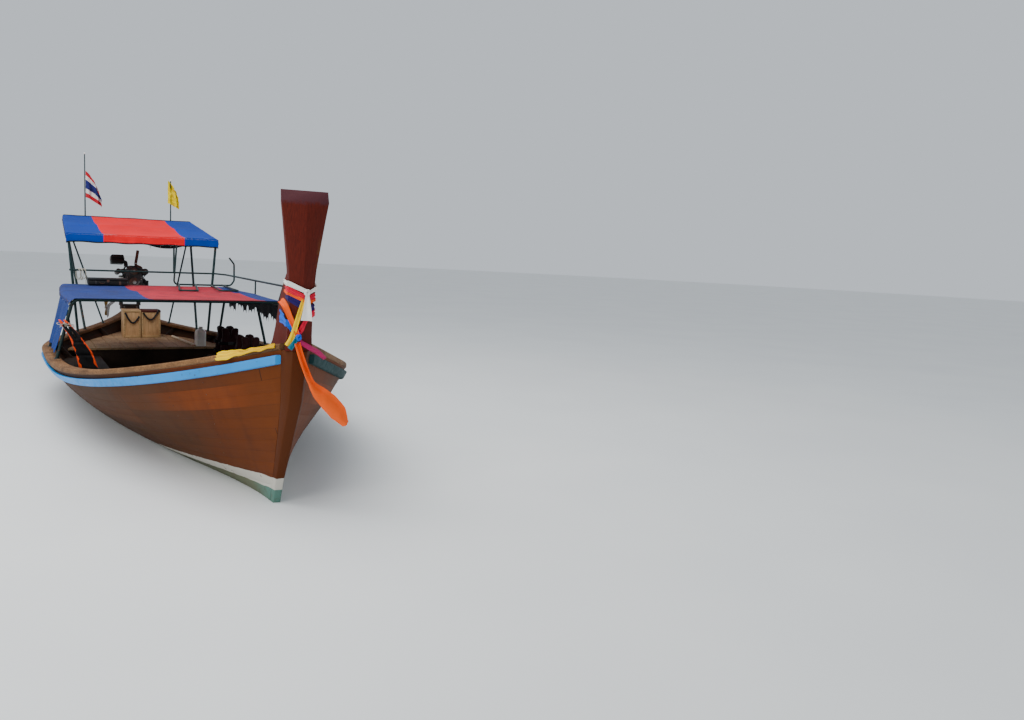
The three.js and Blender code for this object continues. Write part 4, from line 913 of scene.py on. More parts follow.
def keel_line(s):
    bow = (BOW_KEEL_LINE + KEEL_DRAFT) * max(0.0, 1 - s / 0.45) ** 2
    stern = (STERN_KEEL_LINE + KEEL_DRAFT) * max(0.0, 1 - (1 - s) / 0.35) ** 2
    return -KEEL_DRAFT + bow + stern


def section_power(s):
    run = 1 - s / MAX_BEAM_AT if s < MAX_BEAM_AT else (s - MAX_BEAM_AT) / (1 - MAX_BEAM_AT)
    # The power of the run is 0.7, eased to a round turn at the widest station
    return 0.25 + 0.37 * run ** 2 / (run ** 2 + TURN_EASE ** 2) ** 0.65


def along(table, height):
    for (z0, x0), (z1, x1) in zip(table, table[1:]):
        if height <= z1 or (z1, x1) == table[-1]:
            return mix(x0, x1, (height - z0) / (z1 - z0))


def row_height(s, row):
    """Height of a row of the planking: 0 to 1 from keel to rub strake, then the strake and the top."""
    foot = sheer_height(s) - STRAKE_DEEP
    if row <= ROW_STRAKE_FOOT:
        return mix(keel_line(s), foot, row)
    if row <= ROW_STRAKE_TOP:
        return mix(foot, foot + STRAKE_DEEP, row - ROW_STRAKE_FOOT)
    return mix(foot + STRAKE_DEEP, foot + STRAKE_DEEP + PLANK_ABOVE_STRAKE, row - ROW_STRAKE_TOP)


def half_breadth(s, height):
    keel = keel_line(s)
    level = max(0.0, (height - keel) / (sheer_height(s) + PLANK_ABOVE_STRAKE - keel))
    bow_end = max(0.0, 1 - s / 0.12) ** 2
    stern_end = max(0.0, 1 - (1 - s) / 0.12) ** 2
    posts = mix(STEM_HALF_LOW, STEM_HALF_HIGH, level) * bow_end + STERN_POST_HALF * stern_end
    return max(CENTRE_SEAM, posts) + (HALF_BEAM - CENTRE_SEAM) * beam_share(s) * level ** section_power(s)


def hull_point(s, row, side=1, inset=0.0):
    """A point of the hull's outer face, moved inwards square to the section by an inset."""
    def bare(r):
        height = row_height(s, r)
        x = mix(along(STEM_RABBET, row_height(0, r)), along(STERN_RABBET, row_height(1, r)), s)
        return Vector((x, half_breadth(s, height), height))
    here = bare(row)
    if inset:
        step = 0.02
        slope = bare(min(ROW_TOP, row + step)) - bare(max(0.0, row - step))
        run = math.hypot(slope.y, slope.z)
        rise = 0.0 if row > ROW_STRAKE_FOOT else slope.y / run
        here += Vector((0, -slope.z / run, rise)) * inset
    return Vector((here.x, side * max(CENTRE_SEAM, here.y), here.z + STRIPE_ABOVE_WATER))


def sheer_fraction(x):
    return (STEM_TOP - x) / (STEM_TOP - STERN_TOP)


def hull_half(x, z, inset):
    """Half breadth inside the hull at a station and a height above the water."""
    s = min(max(sheer_fraction(x), 0.001), 0.999)
    return half_breadth(s, z - STRIPE_ABOVE_WATER) - inset


def eased(count, ends=0.5):
    """Fractions from 0 to 1, closer together at both ends."""
    shares = [i / (count - 1) for i in range(count)]
    return [mix(t, (1 - math.cos(math.pi * t)) / 2, ends) for t in shares]


HULL_FRACTIONS = eased(76)
STRAKE_LENGTHS = {"fore": (0.0, 0.25), "middle": (0.25, 0.6), "aft": (0.6, 0.975)}


def swept_rail(name, section, finish, fractions=HULL_FRACTIONS):
    """A rail along the sheer. The section gives its ring of points at a fraction s; U runs along the rail."""
    rings = [section(s) for s in fractions]
    count = len(rings[0])
    faces = grid_faces(len(rings), count, wrap=True)
    faces += [
        tuple(range(count)),
        tuple((len(rings) - 1) * count + i for i in range(count)),
    ]
    uvs = [(rings[r][0][0], i / count) for r in range(len(rings)) for i in range(count)]
    piece = mesh_piece(name, [p for ring in rings for p in ring], faces, finish, uvs)
    return facing_out(piece)


def rounded_ring(y0, y1, z0, z1, radius, steps=3):
    """A rounded rectangle as (y, z) points, anticlockwise from its lower outer corner."""
    ring = []
    for cy, cz, start in ((y1 - radius, z0 + radius, -90), (y1 - radius, z1 - radius, 0),
                          (y0 + radius, z1 - radius, 90), (y0 + radius, z0 + radius, 180)):
        for i in range(steps + 1):
            angle = math.radians(start + 90 * i / steps)
            ring.append((cy + radius * math.cos(angle), cz + radius * math.sin(angle)))
    return ring


def build_planking(sizes):
    for name, side in SIDES.items():
        rows = []
        count = sizes.planks
        ease = 0.045 / count
        for k in range(count):
            rows.append((k / count, sizes.seam if k else 0.0))
            rows.extend((mix(k, k + 1, t) / count, 0.0) for t in (ease * count, 0.5, 1 - ease * count))
        rows.extend(((ROW_STRAKE_FOOT, 0.0), (1.5, 0.0), (ROW_STRAKE_TOP, 0.0), (ROW_TOP, 0.0)))
        points, uvs = [], []
        for s in HULL_FRACTIONS:
            outer = [hull_point(s, row, side, deep) for row, deep in rows]
            inner = [hull_point(s, row, side, PLANK) for row, _ in reversed(rows)]
            points.extend(outer + inner)
            uvs.extend((p.x, row * count + 0.5) for p, (row, _) in zip(outer, rows))
            uvs.extend((p.x, row * count + 0.5 + INNER_ROWS) for p, (row, _) in zip(inner, reversed(rows)))
        ring = 2 * len(rows)
        faces = grid_faces(len(HULL_FRACTIONS), ring, wrap=True)
        for end in (0, (len(HULL_FRACTIONS) - 1) * ring):
            faces.extend((end + i, end + i + 1, end + ring - 2 - i, end + ring - 1 - i)
                         for i in range(len(rows) - 1))
        piece = mesh_piece(f"{name}_planked_side", points, faces, "planking", uvs)
        facing_out(piece)
        settle(piece, stands_for=[f"{name}_planking"], crease=30)


def build_fastenings(sizes):
    """Plugged nail heads in pairs where each plank crosses a frame."""
    spots = []
    for side in SIDES.values():
        x = 3.9
        while x > -4.0:
            s = sheer_fraction(x)
            for k in range(1, sizes.planks):
                for offset in (0.22, 0.78):
                    row = (k + offset) / sizes.planks
                    here = hull_point(s, row, side)
                    if here.z > 0.01:
                        out = here - hull_point(s, row, side, 0.02)
                        spots.append((here, out.normalized()))
            x -= sizes.rivet_step
    head = small_shape("nail", 0.0055, 0.0016)
    piece = scattered("plank_nail_heads", spots, head, "nail", 1.0, 0.15, 4)
    settle(piece)


def build_rails(sizes):
    for name, side in SIDES.items():
        def cap(s):
            top = hull_point(s, ROW_TOP)
            outer = top.y + CAP_OUTBOARD
            inner = max(2 * CENTRE_SEAM, top.y - CAP_INBOARD)
            radius = min(0.012, (outer - inner) * 0.3)
            ring = rounded_ring(inner, outer, top.z + FIT, top.z + CAP_THICK, radius)
            return [(top.x, side * y, z) for y, z in ring]

        def strake(s):
            low, high = hull_point(s, ROW_STRAKE_FOOT), hull_point(s, ROW_STRAKE_TOP)
            ring = rounded_ring(0, 1, 0, 1, 0.18)
            points = []
            for out, up in ring:
                edge = mix(low, high, up)
                y = edge.y + FIT + (STRAKE_THICK - FIT) * out
                points.append((edge.x, side * y, edge.z))
            return points

        piece = swept_rail(f"{name}_worn_cap", cap, "cap_rail")
        settle(piece, stands_for=[f"{name}_cap_rail"], crease=40)
        # Port takes the light blue paint darkened to teal as painted shade.
        paint = "strake" if side < 0 else "strake_port"
        for part, (start, end) in STRAKE_LENGTHS.items():
            first = start + 0.0002 if start else 0.0
            fractions = [first] + [s for s in HULL_FRACTIONS if first + 0.001 < s < end - 0.001] + [end]
            piece = swept_rail(f"{name}_painted_strake_{part}", strake, paint, fractions)
            settle(piece, stands_for=[f"{name}_rub_strake_{part}"], crease=40)


def build_backbone(sizes):
    """Keel, stem, stern post and the prow board with its knee."""
    for node, finish, slot in (("keel", "keel", "bottom_paint"), ("stem", "posts", "planking"),
                               ("stern_post", "posts", "planking")):
        settle(softened(node, finish, 0.006), stands_for=[node])
    settle(softened("prow_board", "prow", 0.009, 3), stands_for=["prow_board"])


def board_rows(low, high, width, gap):
    """Edges of boards side by side from low to high."""
    count = max(1, round((high - low) / width))
    step = (high - low) / count
    return [(low + i * step + gap / 2, low + (i + 1) * step - gap / 2) for i in range(count)]


def shaped_boards(name, x0, x1, top, thick, inset, width, finish, node, slope=0.0, wobble=0.0015):
    """Boards fore and aft, each trimmed to the inside of the hull. Height rises by the slope along X."""
    draw = random.Random(11)
    pieces = []
    def room(x):
        z = top + slope * (x - x0)
        return hull_half(x, z - thick, inset)
    reach = max(room(mix(x0, x1, i / 40)) for i in range(41))
    gap = bpy.context.scene.longtail_sizes.deck_gap
    for y0, y1 in board_rows(-reach, reach, width, gap):
        near = min(abs(y0), abs(y1)) if y0 * y1 > 0 else 0.0
        spans = [x for x in (mix(x0, x1, i / 160) for i in range(161)) if room(x) > near + 0.02]
        if len(spans) < 8:
            continue
        rise = draw.uniform(-wobble, 0)
        rings = []
        for i in range(25):
            x = mix(spans[0], spans[-1], i / 24)
            z = top + slope * (x - x0) + rise + math.sin(i * 1.3 + y0 * 9) * wobble * 0.3
            edge = room(x)
            a, b = max(y0, -edge), min(y1, edge)
            if b - a < 0.01:
                a, b = (b - 0.01, b) if b < 0 else (a, a + 0.01)
            rings.append([(x, y, h) for y, h in rounded_ring(a, b, z - thick, z, 0.003, 1)])
        pieces.append(lofted(f"{name}_board", rings, finish, smooth=False))
    piece = joined(name, pieces)
    return settle(piece, stands_for=[node])


def build_inside(sizes):
    """Frames, floor, decks, thwarts and benches."""
    lift = STRIPE_ABOVE_WATER
    for node in ("fore_frames", "middle_frames", "aft_frames"):
        settle(softened(node, "frames", 0.005), stands_for=[node])
    shaped_boards("floor_planks", -2.35, 3.25, -0.11 + lift, 0.025, 0.085, 0.14, "boards",
                  "floor_boards")
    shaped_boards("stern_deck_planks", -3.98, -1.86, 0.33 + lift, 0.025, 0.085, 0.17, "deck",
                  "stern_deck")
    slope = (0.993 - 0.77) / (4.43 - 3.5)
    shaped_boards("fore_deck_planks", 3.5, 4.43, 0.77 + lift, 0.025, 0.034, 0.15, "deck",
                  "fore_deck", slope)
    for node in ("forward_thwart", "middle_thwart", "stern_deck_riser"):
        settle(softened(node, "boards", 0.005), stands_for=[node])
    for name in SIDES:
        node = f"{name}_side_bench"
        settle(softened(node, "boards", 0.005), stands_for=[node])


def build_boxes(sizes):
    """Two battery boxes of raw plywood with lids, corner battens, screws and a hose looped on each."""
    draw = random.Random(5)
    for name in SIDES:
        node = f"{name}_battery_box"
        low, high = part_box(node)
        lid = 0.03
        parts = [rounded_block("body", low, (high.x - 0.004, high.y, high.z - lid), "plywood", 0.003)]
        strip = "red_board" if name == "port" else "plywood_edge"
        parts.append(rounded_block("lid", (low.x - 0.004, low.y - 0.004, high.z - lid + 0.001),
                                   (high.x + 0.004, high.y + 0.004, high.z), strip, 0.005))
        for y0, y1 in ((low.y, low.y + 0.024), (high.y - 0.024, high.y)):
            parts.append(rounded_block("batten", (high.x - 0.004, y0, low.z + 0.002),
                                       (high.x + 0.006, y1, high.z - lid - 0.001), "plywood_edge", 0.002))
        parts.append(rounded_block("sill", (high.x - 0.004, low.y + 0.025, low.z + 0.002),
                                   (high.x + 0.005, high.y - 0.025, low.z + 0.03), "plywood_edge", 0.002))
        piece = joined(f"{name}_plywood_box", parts)
        settle(piece, stands_for=[node])
        screws = [((high.x + 0.006, y, mix(low.z + 0.02, high.z - 0.05, i / 4)), (1, 0, 0))
                  for y in (low.y + 0.012, high.y - 0.012) for i in range(5)]
        head = small_shape("bolt", 0.0045, 0.003)
        settle(scattered(f"{name}_box_screws", screws, head, "nail", 1.0, 0.1, 2))
        face = high.x + 0.016
        drop = draw.uniform(0.1, 0.13)
        hose = []
        for i in range(15):
            t = i / 14
            sag = math.sin(math.pi * t) * drop
            hose.append((face + 0.004 * math.sin(5 * t), mix(low.y + 0.02, high.y - 0.02, t),
                         high.z - 0.035 - sag - 0.05 * t * (1 if name == "starboard" else -1)))
        tube = piped(f"{name}_box_hose", [hose], HOSE_RADIUS, "rubber", 0.02, 10)
        settle(tube)
        run_length(hose)


def build_fuel_can(sizes):
    """A blow-moulded jug: body with soft shoulders, a handle beside the neck and a screw cap."""
    low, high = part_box("fuel_can")
    cx, cy = (low.x + high.x) / 2, (low.y + high.y) / 2
    half_x, half_y = (high.x - low.x) / 2, (high.y - low.y) / 2
    tall = high.z - low.z
    rings = []
    for share, wide in ((0, 0.90), (0.02, 0.98), (0.10, 1.0), (0.36, 0.985), (0.40, 0.965), (0.44, 0.985),
                        (0.66, 1.0), (0.76, 0.94), (0.84, 0.72), (0.88, 0.45), (0.90, 0.32), (0.91, 0.3)):
        ring = []
        for a in full_turn(32):
            power = 0.45 if share < 0.8 else 0.8
            ux = math.copysign(abs(math.cos(a)) ** power, math.cos(a))
            uy = math.copysign(abs(math.sin(a)) ** power, math.sin(a))
            shift = 0.25 * half_x if share > 0.86 else 0.25 * half_x * max(0, (share - 0.66) / 0.2)
            ring.append((cx + shift + ux * half_x * wide * (1 if share < 0.8 else 0.8),
                         cy + uy * half_y * wide, low.z + share * tall))
        rings.append(ring)
    body = lofted("can_body", rings, "can")
    top = low.z + 0.905 * tall
    cap = turned("can_cap", [(0, 0.026), (0.06, 0.028), (0.9, 0.028), (1, 0.024)], "cap_plastic",
                 (cx + 0.25 * half_x, cy, top - 0.004), (cx + 0.25 * half_x, cy, high.z), 20)
    handle = piped("can_handle",
                   [[(cx - 0.62 * half_x, cy, low.z + 0.76 * tall),
                     (cx - 0.66 * half_x, cy, low.z + 0.93 * tall),
                     (cx - 0.02 * half_x, cy, low.z + 0.95 * tall),
                     (cx + 0.06 * half_x, cy, low.z + 0.86 * tall)]], 0.009, "can", 0.02, 12)
    settle(joined("fuel_jug", [body, cap, handle]), stands_for=["fuel_can"], crease=50)


# Canopies and their pipe frames. Places come in metres with heights from the stripe's foot.

def boat(x, y, z):
    return Vector((x, y, z + STRIPE_ABOVE_WATER))


LOWER_FRONT, LOWER_MIDDLE, LOWER_REAR = 0.3, -1.0, -2.45
LOWER_HALVES = (1.078, 1.1, 1.026)
LOWER_LEGS = [0.3, -1.0, -2.35]
LOWER_OVERHANG = 0.025
SIDE_RAIL_HEIGHT, ROOF_PIPE_HEIGHT = 1.060, 1.093
LOWER_SKIRT, LOWER_ROOF, ROOF_TOP = 1.038, 1.1106, 1.1169
LEG_INBOARD, FRAME_PIPE, LIGHT_PIPE = 0.075, 0.017, 0.012
UPPER_FRONT, UPPER_REAR = -2.620, -4.370
UPPER_MIDDLE_FOOT, UPPER_REAR_FOOT = -2.88, -3.5
RAIL_REAR, RAIL_FRONT = (-2.3, 1.02), (0.4, 1.08)
CURTAIN_FOOT = 0.545
UPPER_HALVES, UPPER_HEIGHTS = (0.963, 0.905), (1.770, 2.020)
UPPER_SKIRT, UPPER_VALANCE = 0.078, 0.118
RAIL_HEIGHT = 1.285
CANVAS = 0.0024
BENCH_TOP = 0.2356


def lower_half(x):
    front, middle, rear = LOWER_HALVES
    if x > LOWER_MIDDLE:
        return mix(front, middle, (LOWER_FRONT - x) / (LOWER_FRONT - LOWER_MIDDLE))
    return mix(middle, rear, (LOWER_MIDDLE - x) / (LOWER_MIDDLE - LOWER_REAR))


def upper_run(x):
    return (UPPER_FRONT - x) / (UPPER_FRONT - UPPER_REAR)


def upper_half(x):
    return mix(*UPPER_HALVES, upper_run(x))


def upper_height(x):
    return mix(*UPPER_HEIGHTS, upper_run(x))


def upper_corner(x, side):
    return boat(x, side * (upper_half(x) - 0.022), upper_height(x) - 0.0173)


def cap_foot(x, side):
    """Where a leg meets the top of the cap rail."""
    s = sheer_fraction(x)
    top = sheer_height(s) + PLANK_ABOVE_STRAKE
    return boat(x, side * (half_breadth(s, top) - LEG_INBOARD), top + CAP_THICK - 0.001)


def foot_plates(name, spots):
    """A small welded plate under each leg, held to the rail by two screws."""
    plates, screws = [], []
    for place in spots:
        low, high = place - Vector((0.042, 0.026, 0.002)), place + Vector((0.042, 0.026, 0.004))
        plates.append(rounded_block("foot_plate", low, high, "pipe", 0.002, 2))
        screws.extend((place + Vector((x, 0, 0.004)), (0, 0, 1)) for x in (-0.031, 0.031))
    heads = scattered("foot_screws", screws, small_shape("bolt", 0.006, 0.007), "nail")
    return settle(joined(name, plates + [heads]))


def build_lower_frame(sizes):
    hoops = []
    for x in LOWER_LEGS:
        half = lower_half(x)
        hoops.append([cap_foot(x, -1), boat(x, -half, ROOF_PIPE_HEIGHT), boat(x, half, ROOF_PIPE_HEIGHT),
                      cap_foot(x, 1)])
    stations = (LOWER_FRONT, LOWER_MIDDLE, LOWER_REAR)
    rails = [[boat(x, side * lower_half(x), SIDE_RAIL_HEIGHT) for x in stations] for side in (-1, 1)]
    rear = lower_half(LOWER_REAR)
    rails.append([boat(LOWER_REAR, -rear, SIDE_RAIL_HEIGHT), boat(LOWER_REAR, rear, SIDE_RAIL_HEIGHT)])
    parts = [piped("hoop_pipes", hoops, FRAME_PIPE, "pipe", sizes.pipe_bend, 18),
             piped("rail_pipes", rails, FRAME_PIPE, "pipe", 0.1, 18)]
    welds = [(boat(x, side * lower_half(x), SIDE_RAIL_HEIGHT), (0, 0, 1)) for x in LOWER_LEGS
             for side in (-1, 1)]
    parts.append(scattered("rail_welds", welds, small_shape("weld", 0.0215, 0.0215), "pipe", 1.0, 0.05, 3))
    settle(joined("lower_pipe_frame", parts), stands_for=["lower_canopy_frame"])
    foot_plates("lower_foot_plates", [cap_foot(x, side) for x in LOWER_LEGS for side in (-1, 1)])


def build_upper_frame(sizes):
    thick, light = [], []
    for side in (-1, 1):
        thick.append([cap_foot(UPPER_FRONT, side), upper_corner(UPPER_FRONT, side),
                      upper_corner(UPPER_REAR, side)])
        thick.append([cap_foot(UPPER_MIDDLE_FOOT, side), upper_corner(UPPER_REAR, side)])
        light.append([cap_foot(UPPER_REAR_FOOT, side), upper_corner(UPPER_REAR + 0.12, side)])
    for x in (UPPER_FRONT, (UPPER_FRONT + UPPER_REAR) / 2, UPPER_REAR):
        thick.append([upper_corner(x, -1), upper_corner(x, 1)])
    end = upper_half(UPPER_FRONT) - 0.03
    light.append([boat(UPPER_FRONT, -end, RAIL_HEIGHT), boat(UPPER_FRONT, end, RAIL_HEIGHT),
                  boat(*RAIL_REAR, RAIL_HEIGHT), boat(*RAIL_FRONT, RAIL_HEIGHT)])
    light.append([boat(UPPER_FRONT, 0.375, RAIL_HEIGHT),
                  boat(UPPER_FRONT, 0.375, upper_height(UPPER_FRONT) - 0.02)])
    thin = []
    for x in (-0.800, 0.370):
        y = mix(RAIL_REAR[1], RAIL_FRONT[1], (RAIL_REAR[0] - x) / (RAIL_REAR[0] - RAIL_FRONT[0]))
        thin.append([boat(x, min(y, lower_half(x) - 0.045), ROOF_TOP), boat(x, y, RAIL_HEIGHT)])
    parts = [piped("post_pipes", thick, FRAME_PIPE, "pipe", 0.03, 18),
             piped("light_pipes", light, LIGHT_PIPE, "pipe", 0.06, 14),
             piped("rail_posts", thin, 0.0096, "pipe", 0.02, 12)]
    joints = [upper_corner(x, side) for x in (UPPER_FRONT, -3.495, UPPER_REAR) for side in (-1, 1)]
    parts.append(scattered("frame_welds", [(p, (0, 0, 1)) for p in joints],
                           small_shape("weld", 0.0205, 0.0165), "pipe", 1.0, 0.05, 3))
    settle(joined("upper_pipe_frame", parts), stands_for=["upper_canopy_frame"])
    stations = (UPPER_FRONT, UPPER_MIDDLE_FOOT, UPPER_REAR_FOOT)
    foot_plates("upper_foot_plates", [cap_foot(x, side) for x in stations for side in (-1, 1)])


def wrinkle(place, scale, depth, seed=0.0):
    """Soft random relief at a place, the same on every run."""
    return noise.noise(Vector(place) * scale + Vector((seed, seed * 1.7, seed * 0.6))) * depth


def cloth_grid(name, rows, columns, spot, finish, thickness=CANVAS):
    """A sheet from a function of two fractions, with its thickness behind it. Returns the piece and the
    lengths of its middle row and column."""
    points = [spot(r / (rows - 1), c / (columns - 1)) for r in range(rows) for c in range(columns)]
    seats = [(c / (columns - 1), r / (rows - 1)) for r in range(rows) for c in range(columns)]
    piece = mesh_piece(name, points, grid_faces(rows, columns), finish, seats)
    solid = piece.modifiers.new("cloth", "SOLIDIFY")
    solid.thickness = thickness
    solid.offset = 0.0
    solid.use_even_offset = False
    middle_row = points[rows // 2 * columns:(rows // 2 + 1) * columns]
    middle_column = points[columns // 2::columns]
    return piece, run_length(middle_row), run_length(middle_column)


def run_length(points):
    return sum((Vector(b) - Vector(a)).length for a, b in zip(points, points[1:]))


def sheeted(cloth, stands_for=(), crease=60):
    piece, across, down = cloth
    settle(piece, stands_for=stands_for, crease=crease)
    return piece


def stitches(name, line, facing, finish, step=0.014):
    """A row of stitches along a line of points."""
    spots, carried = [], 0.0
    for a, b in zip(line, line[1:]):
        a, b = Vector(a), Vector(b)
        length = (b - a).length
        while carried < length:
            spots.append((a.lerp(b, carried / length), facing))
            carried += step
        carried -= length
    thread = small_shape("nail", 0.002, 0.0013)
    return settle(scattered(name, spots, thread, finish, 1.0, 0.1, 6))


def canopy_section(half, high, skirt, corner, t):
    """A point of a canopy's section at a fraction from the port skirt's foot to the starboard one: up the
    skirt, round a soft corner and across."""
    arc = corner * math.pi / 2
    flat = half - corner
    lengths = [skirt - corner, arc, 2 * flat, arc, skirt - corner]
    reach = t * sum(lengths)
    if reach < lengths[0]:
        return half, high - skirt + reach
    reach -= lengths[0]
    if reach < arc:
        a = reach / corner
        return half - corner + corner * math.cos(a), high - corner + corner * math.sin(a)
    reach -= arc
    if reach < 2 * flat:
        return flat - reach, high
    reach -= 2 * flat
    if reach < arc:
        a = math.pi / 2 + reach / corner
        return -(half - corner) + corner * math.cos(a), high - corner + corner * math.sin(a)
    reach -= arc
    return -half, high - corner - reach


def hoop_sag(x, hoops, depth):
    """How far canvas sinks at a station between the hoops that carry it."""
    for a, b in zip(hoops, hoops[1:]):
        if b <= x <= a:
            t = (a - x) / (a - b)
            return depth * 4 * t * (1 - t)
    return 0.0


def build_lower_canopy(sizes):
    hoops = [LOWER_FRONT, LOWER_MIDDLE, LOWER_REAR]
    front, rear = LOWER_FRONT + LOWER_OVERHANG, LOWER_REAR - LOWER_OVERHANG
    skirt = LOWER_ROOF - LOWER_SKIRT

    def spot(u, t):
        x = mix(front, rear, u)
        half = lower_half(max(min(x, LOWER_FRONT), LOWER_REAR)) + 0.03
        y, z = canopy_section(half, LOWER_ROOF, skirt, 0.06, t)
        inner = min(1.0, max(0.0, (half - abs(y)) / 0.25))
        z -= hoop_sag(x, hoops, sizes.canopy_sag) * inner
        loose = inner * min(1.0, max(0.0, min(abs(x - hoop) for hoop in hoops) - 0.025) / 0.10)
        z += wrinkle((x, y, 0), 3.4, 0.006, 2.0) * loose
        z += wrinkle((x * 0.5, y * 4.0, 1.0), 3.0, 0.003, 5.0) * loose
        edge = 1.0 - inner
        y += math.copysign(0.004, y) * math.sin(x * 21 + 1) * edge * (1 if z < LOWER_ROOF - 0.03 else 0)
        if u < 0.02 or u > 0.98:
            z -= 0.006
        return boat(x, y, z)

    sheeted(cloth_grid("lower_canvas_roof", 120, 150, spot, "lower_canvas"),
            ["lower_canopy"])

    def hem(u, t):
        place = spot(0.0, u)
        place.x += 0.0035 - 0.018 * t
        out = 0.004 if 0.04 < u < 0.96 else 0.0
        place.z += out
        return place

    sheeted(cloth_grid("lower_canvas_front_binding", 150, 4, hem, "hem", 0.003))
    for side, end in (("port", 0.004), ("starboard", 0.996)):
        line = [spot(i / 160, end) for i in range(161)]
        out = Vector((0, 1 if side == "port" else -1, 0))
        line = [p + out * 0.0028 + Vector((0, 0, 0.012)) for p in line]
        stitches(f"{side}_lower_hem_stitches", line, out, "navy", 0.016)
    eyelets = []
    for end, way in ((0.012, 1), (0.988, -1)):
        eyelets.extend((spot(i / 12, end) + Vector((0, way * 0.002, 0)), (0, way, 0)) for i in range(13))
    settle(scattered("lower_canvas_eyelets", eyelets, small_shape("ring", 0.01, 0.004), "bronze"))


def curtain_line(x):
    """Outer face of the curtain at a station, at its top and its foot."""
    top = lower_half(x) + 0.033
    leg = cap_foot(x, 1)
    down = (SIDE_RAIL_HEIGHT - CURTAIN_FOOT) / (SIDE_RAIL_HEIGHT - (leg.z - STRIPE_ABOVE_WATER))
    return top, mix(lower_half(x), leg.y, down) + FRAME_PIPE + 0.012


def build_curtain(sizes):
    def spot(t, u):
        x = mix(0.3, -0.96, u)
        top, foot = curtain_line(x)
        fold = math.sin(u * 41 + 2.2 * math.sin(u * 9)) * 0.5 + math.sin(u * 17 + 1) * 0.5
        y = mix(top, foot, t) + (0.004 + 0.01 * t) * fold
        y += wrinkle((x, 0, t), 5, 0.006 * t, 8.0)
        z = mix(LOWER_SKIRT - 0.002, CURTAIN_FOOT + 0.003, t) + (0.008 * math.sin(u * 12) if t > 0.98 else 0)
        return boat(x, -y, z)

    sheeted(cloth_grid("starboard_rain_curtain", 60, 150, spot, "curtain"),
            ["starboard_curtain"])


def build_valance(sizes):
    draw = random.Random(21)
    flaps = [draw.uniform(-0.03, 0.07) for _ in range(22)]
    teeth = [draw.uniform(-0.004, 0.004) for _ in range(90)]

    def spot(t, u):
        x = mix(0.255, -2.28, u)
        half = lower_half(x)
        fold = math.sin(u * 63 + 3 * math.sin(u * 7)) * 0.004 * t
        place = u * 88
        i = int(place)
        flap, within = int(u * 20.9), u * 20.9 % 1
        rounded = min(1.0, (4 * within * (1 - within)) ** 0.5)
        ragged = mix(teeth[i], teeth[i + 1], place - i) + flaps[flap] + 0.055 * (1 - rounded)
        z = mix(SIDE_RAIL_HEIGHT - 0.002, 0.908, t) - ragged * t * t
        return boat(x, half + 0.0215 - 0.004 * t + fold, z)

    sheeted(cloth_grid("port_ragged_valance", 22, 360, spot, "navy", 0.0018),
            ["port_valance"])


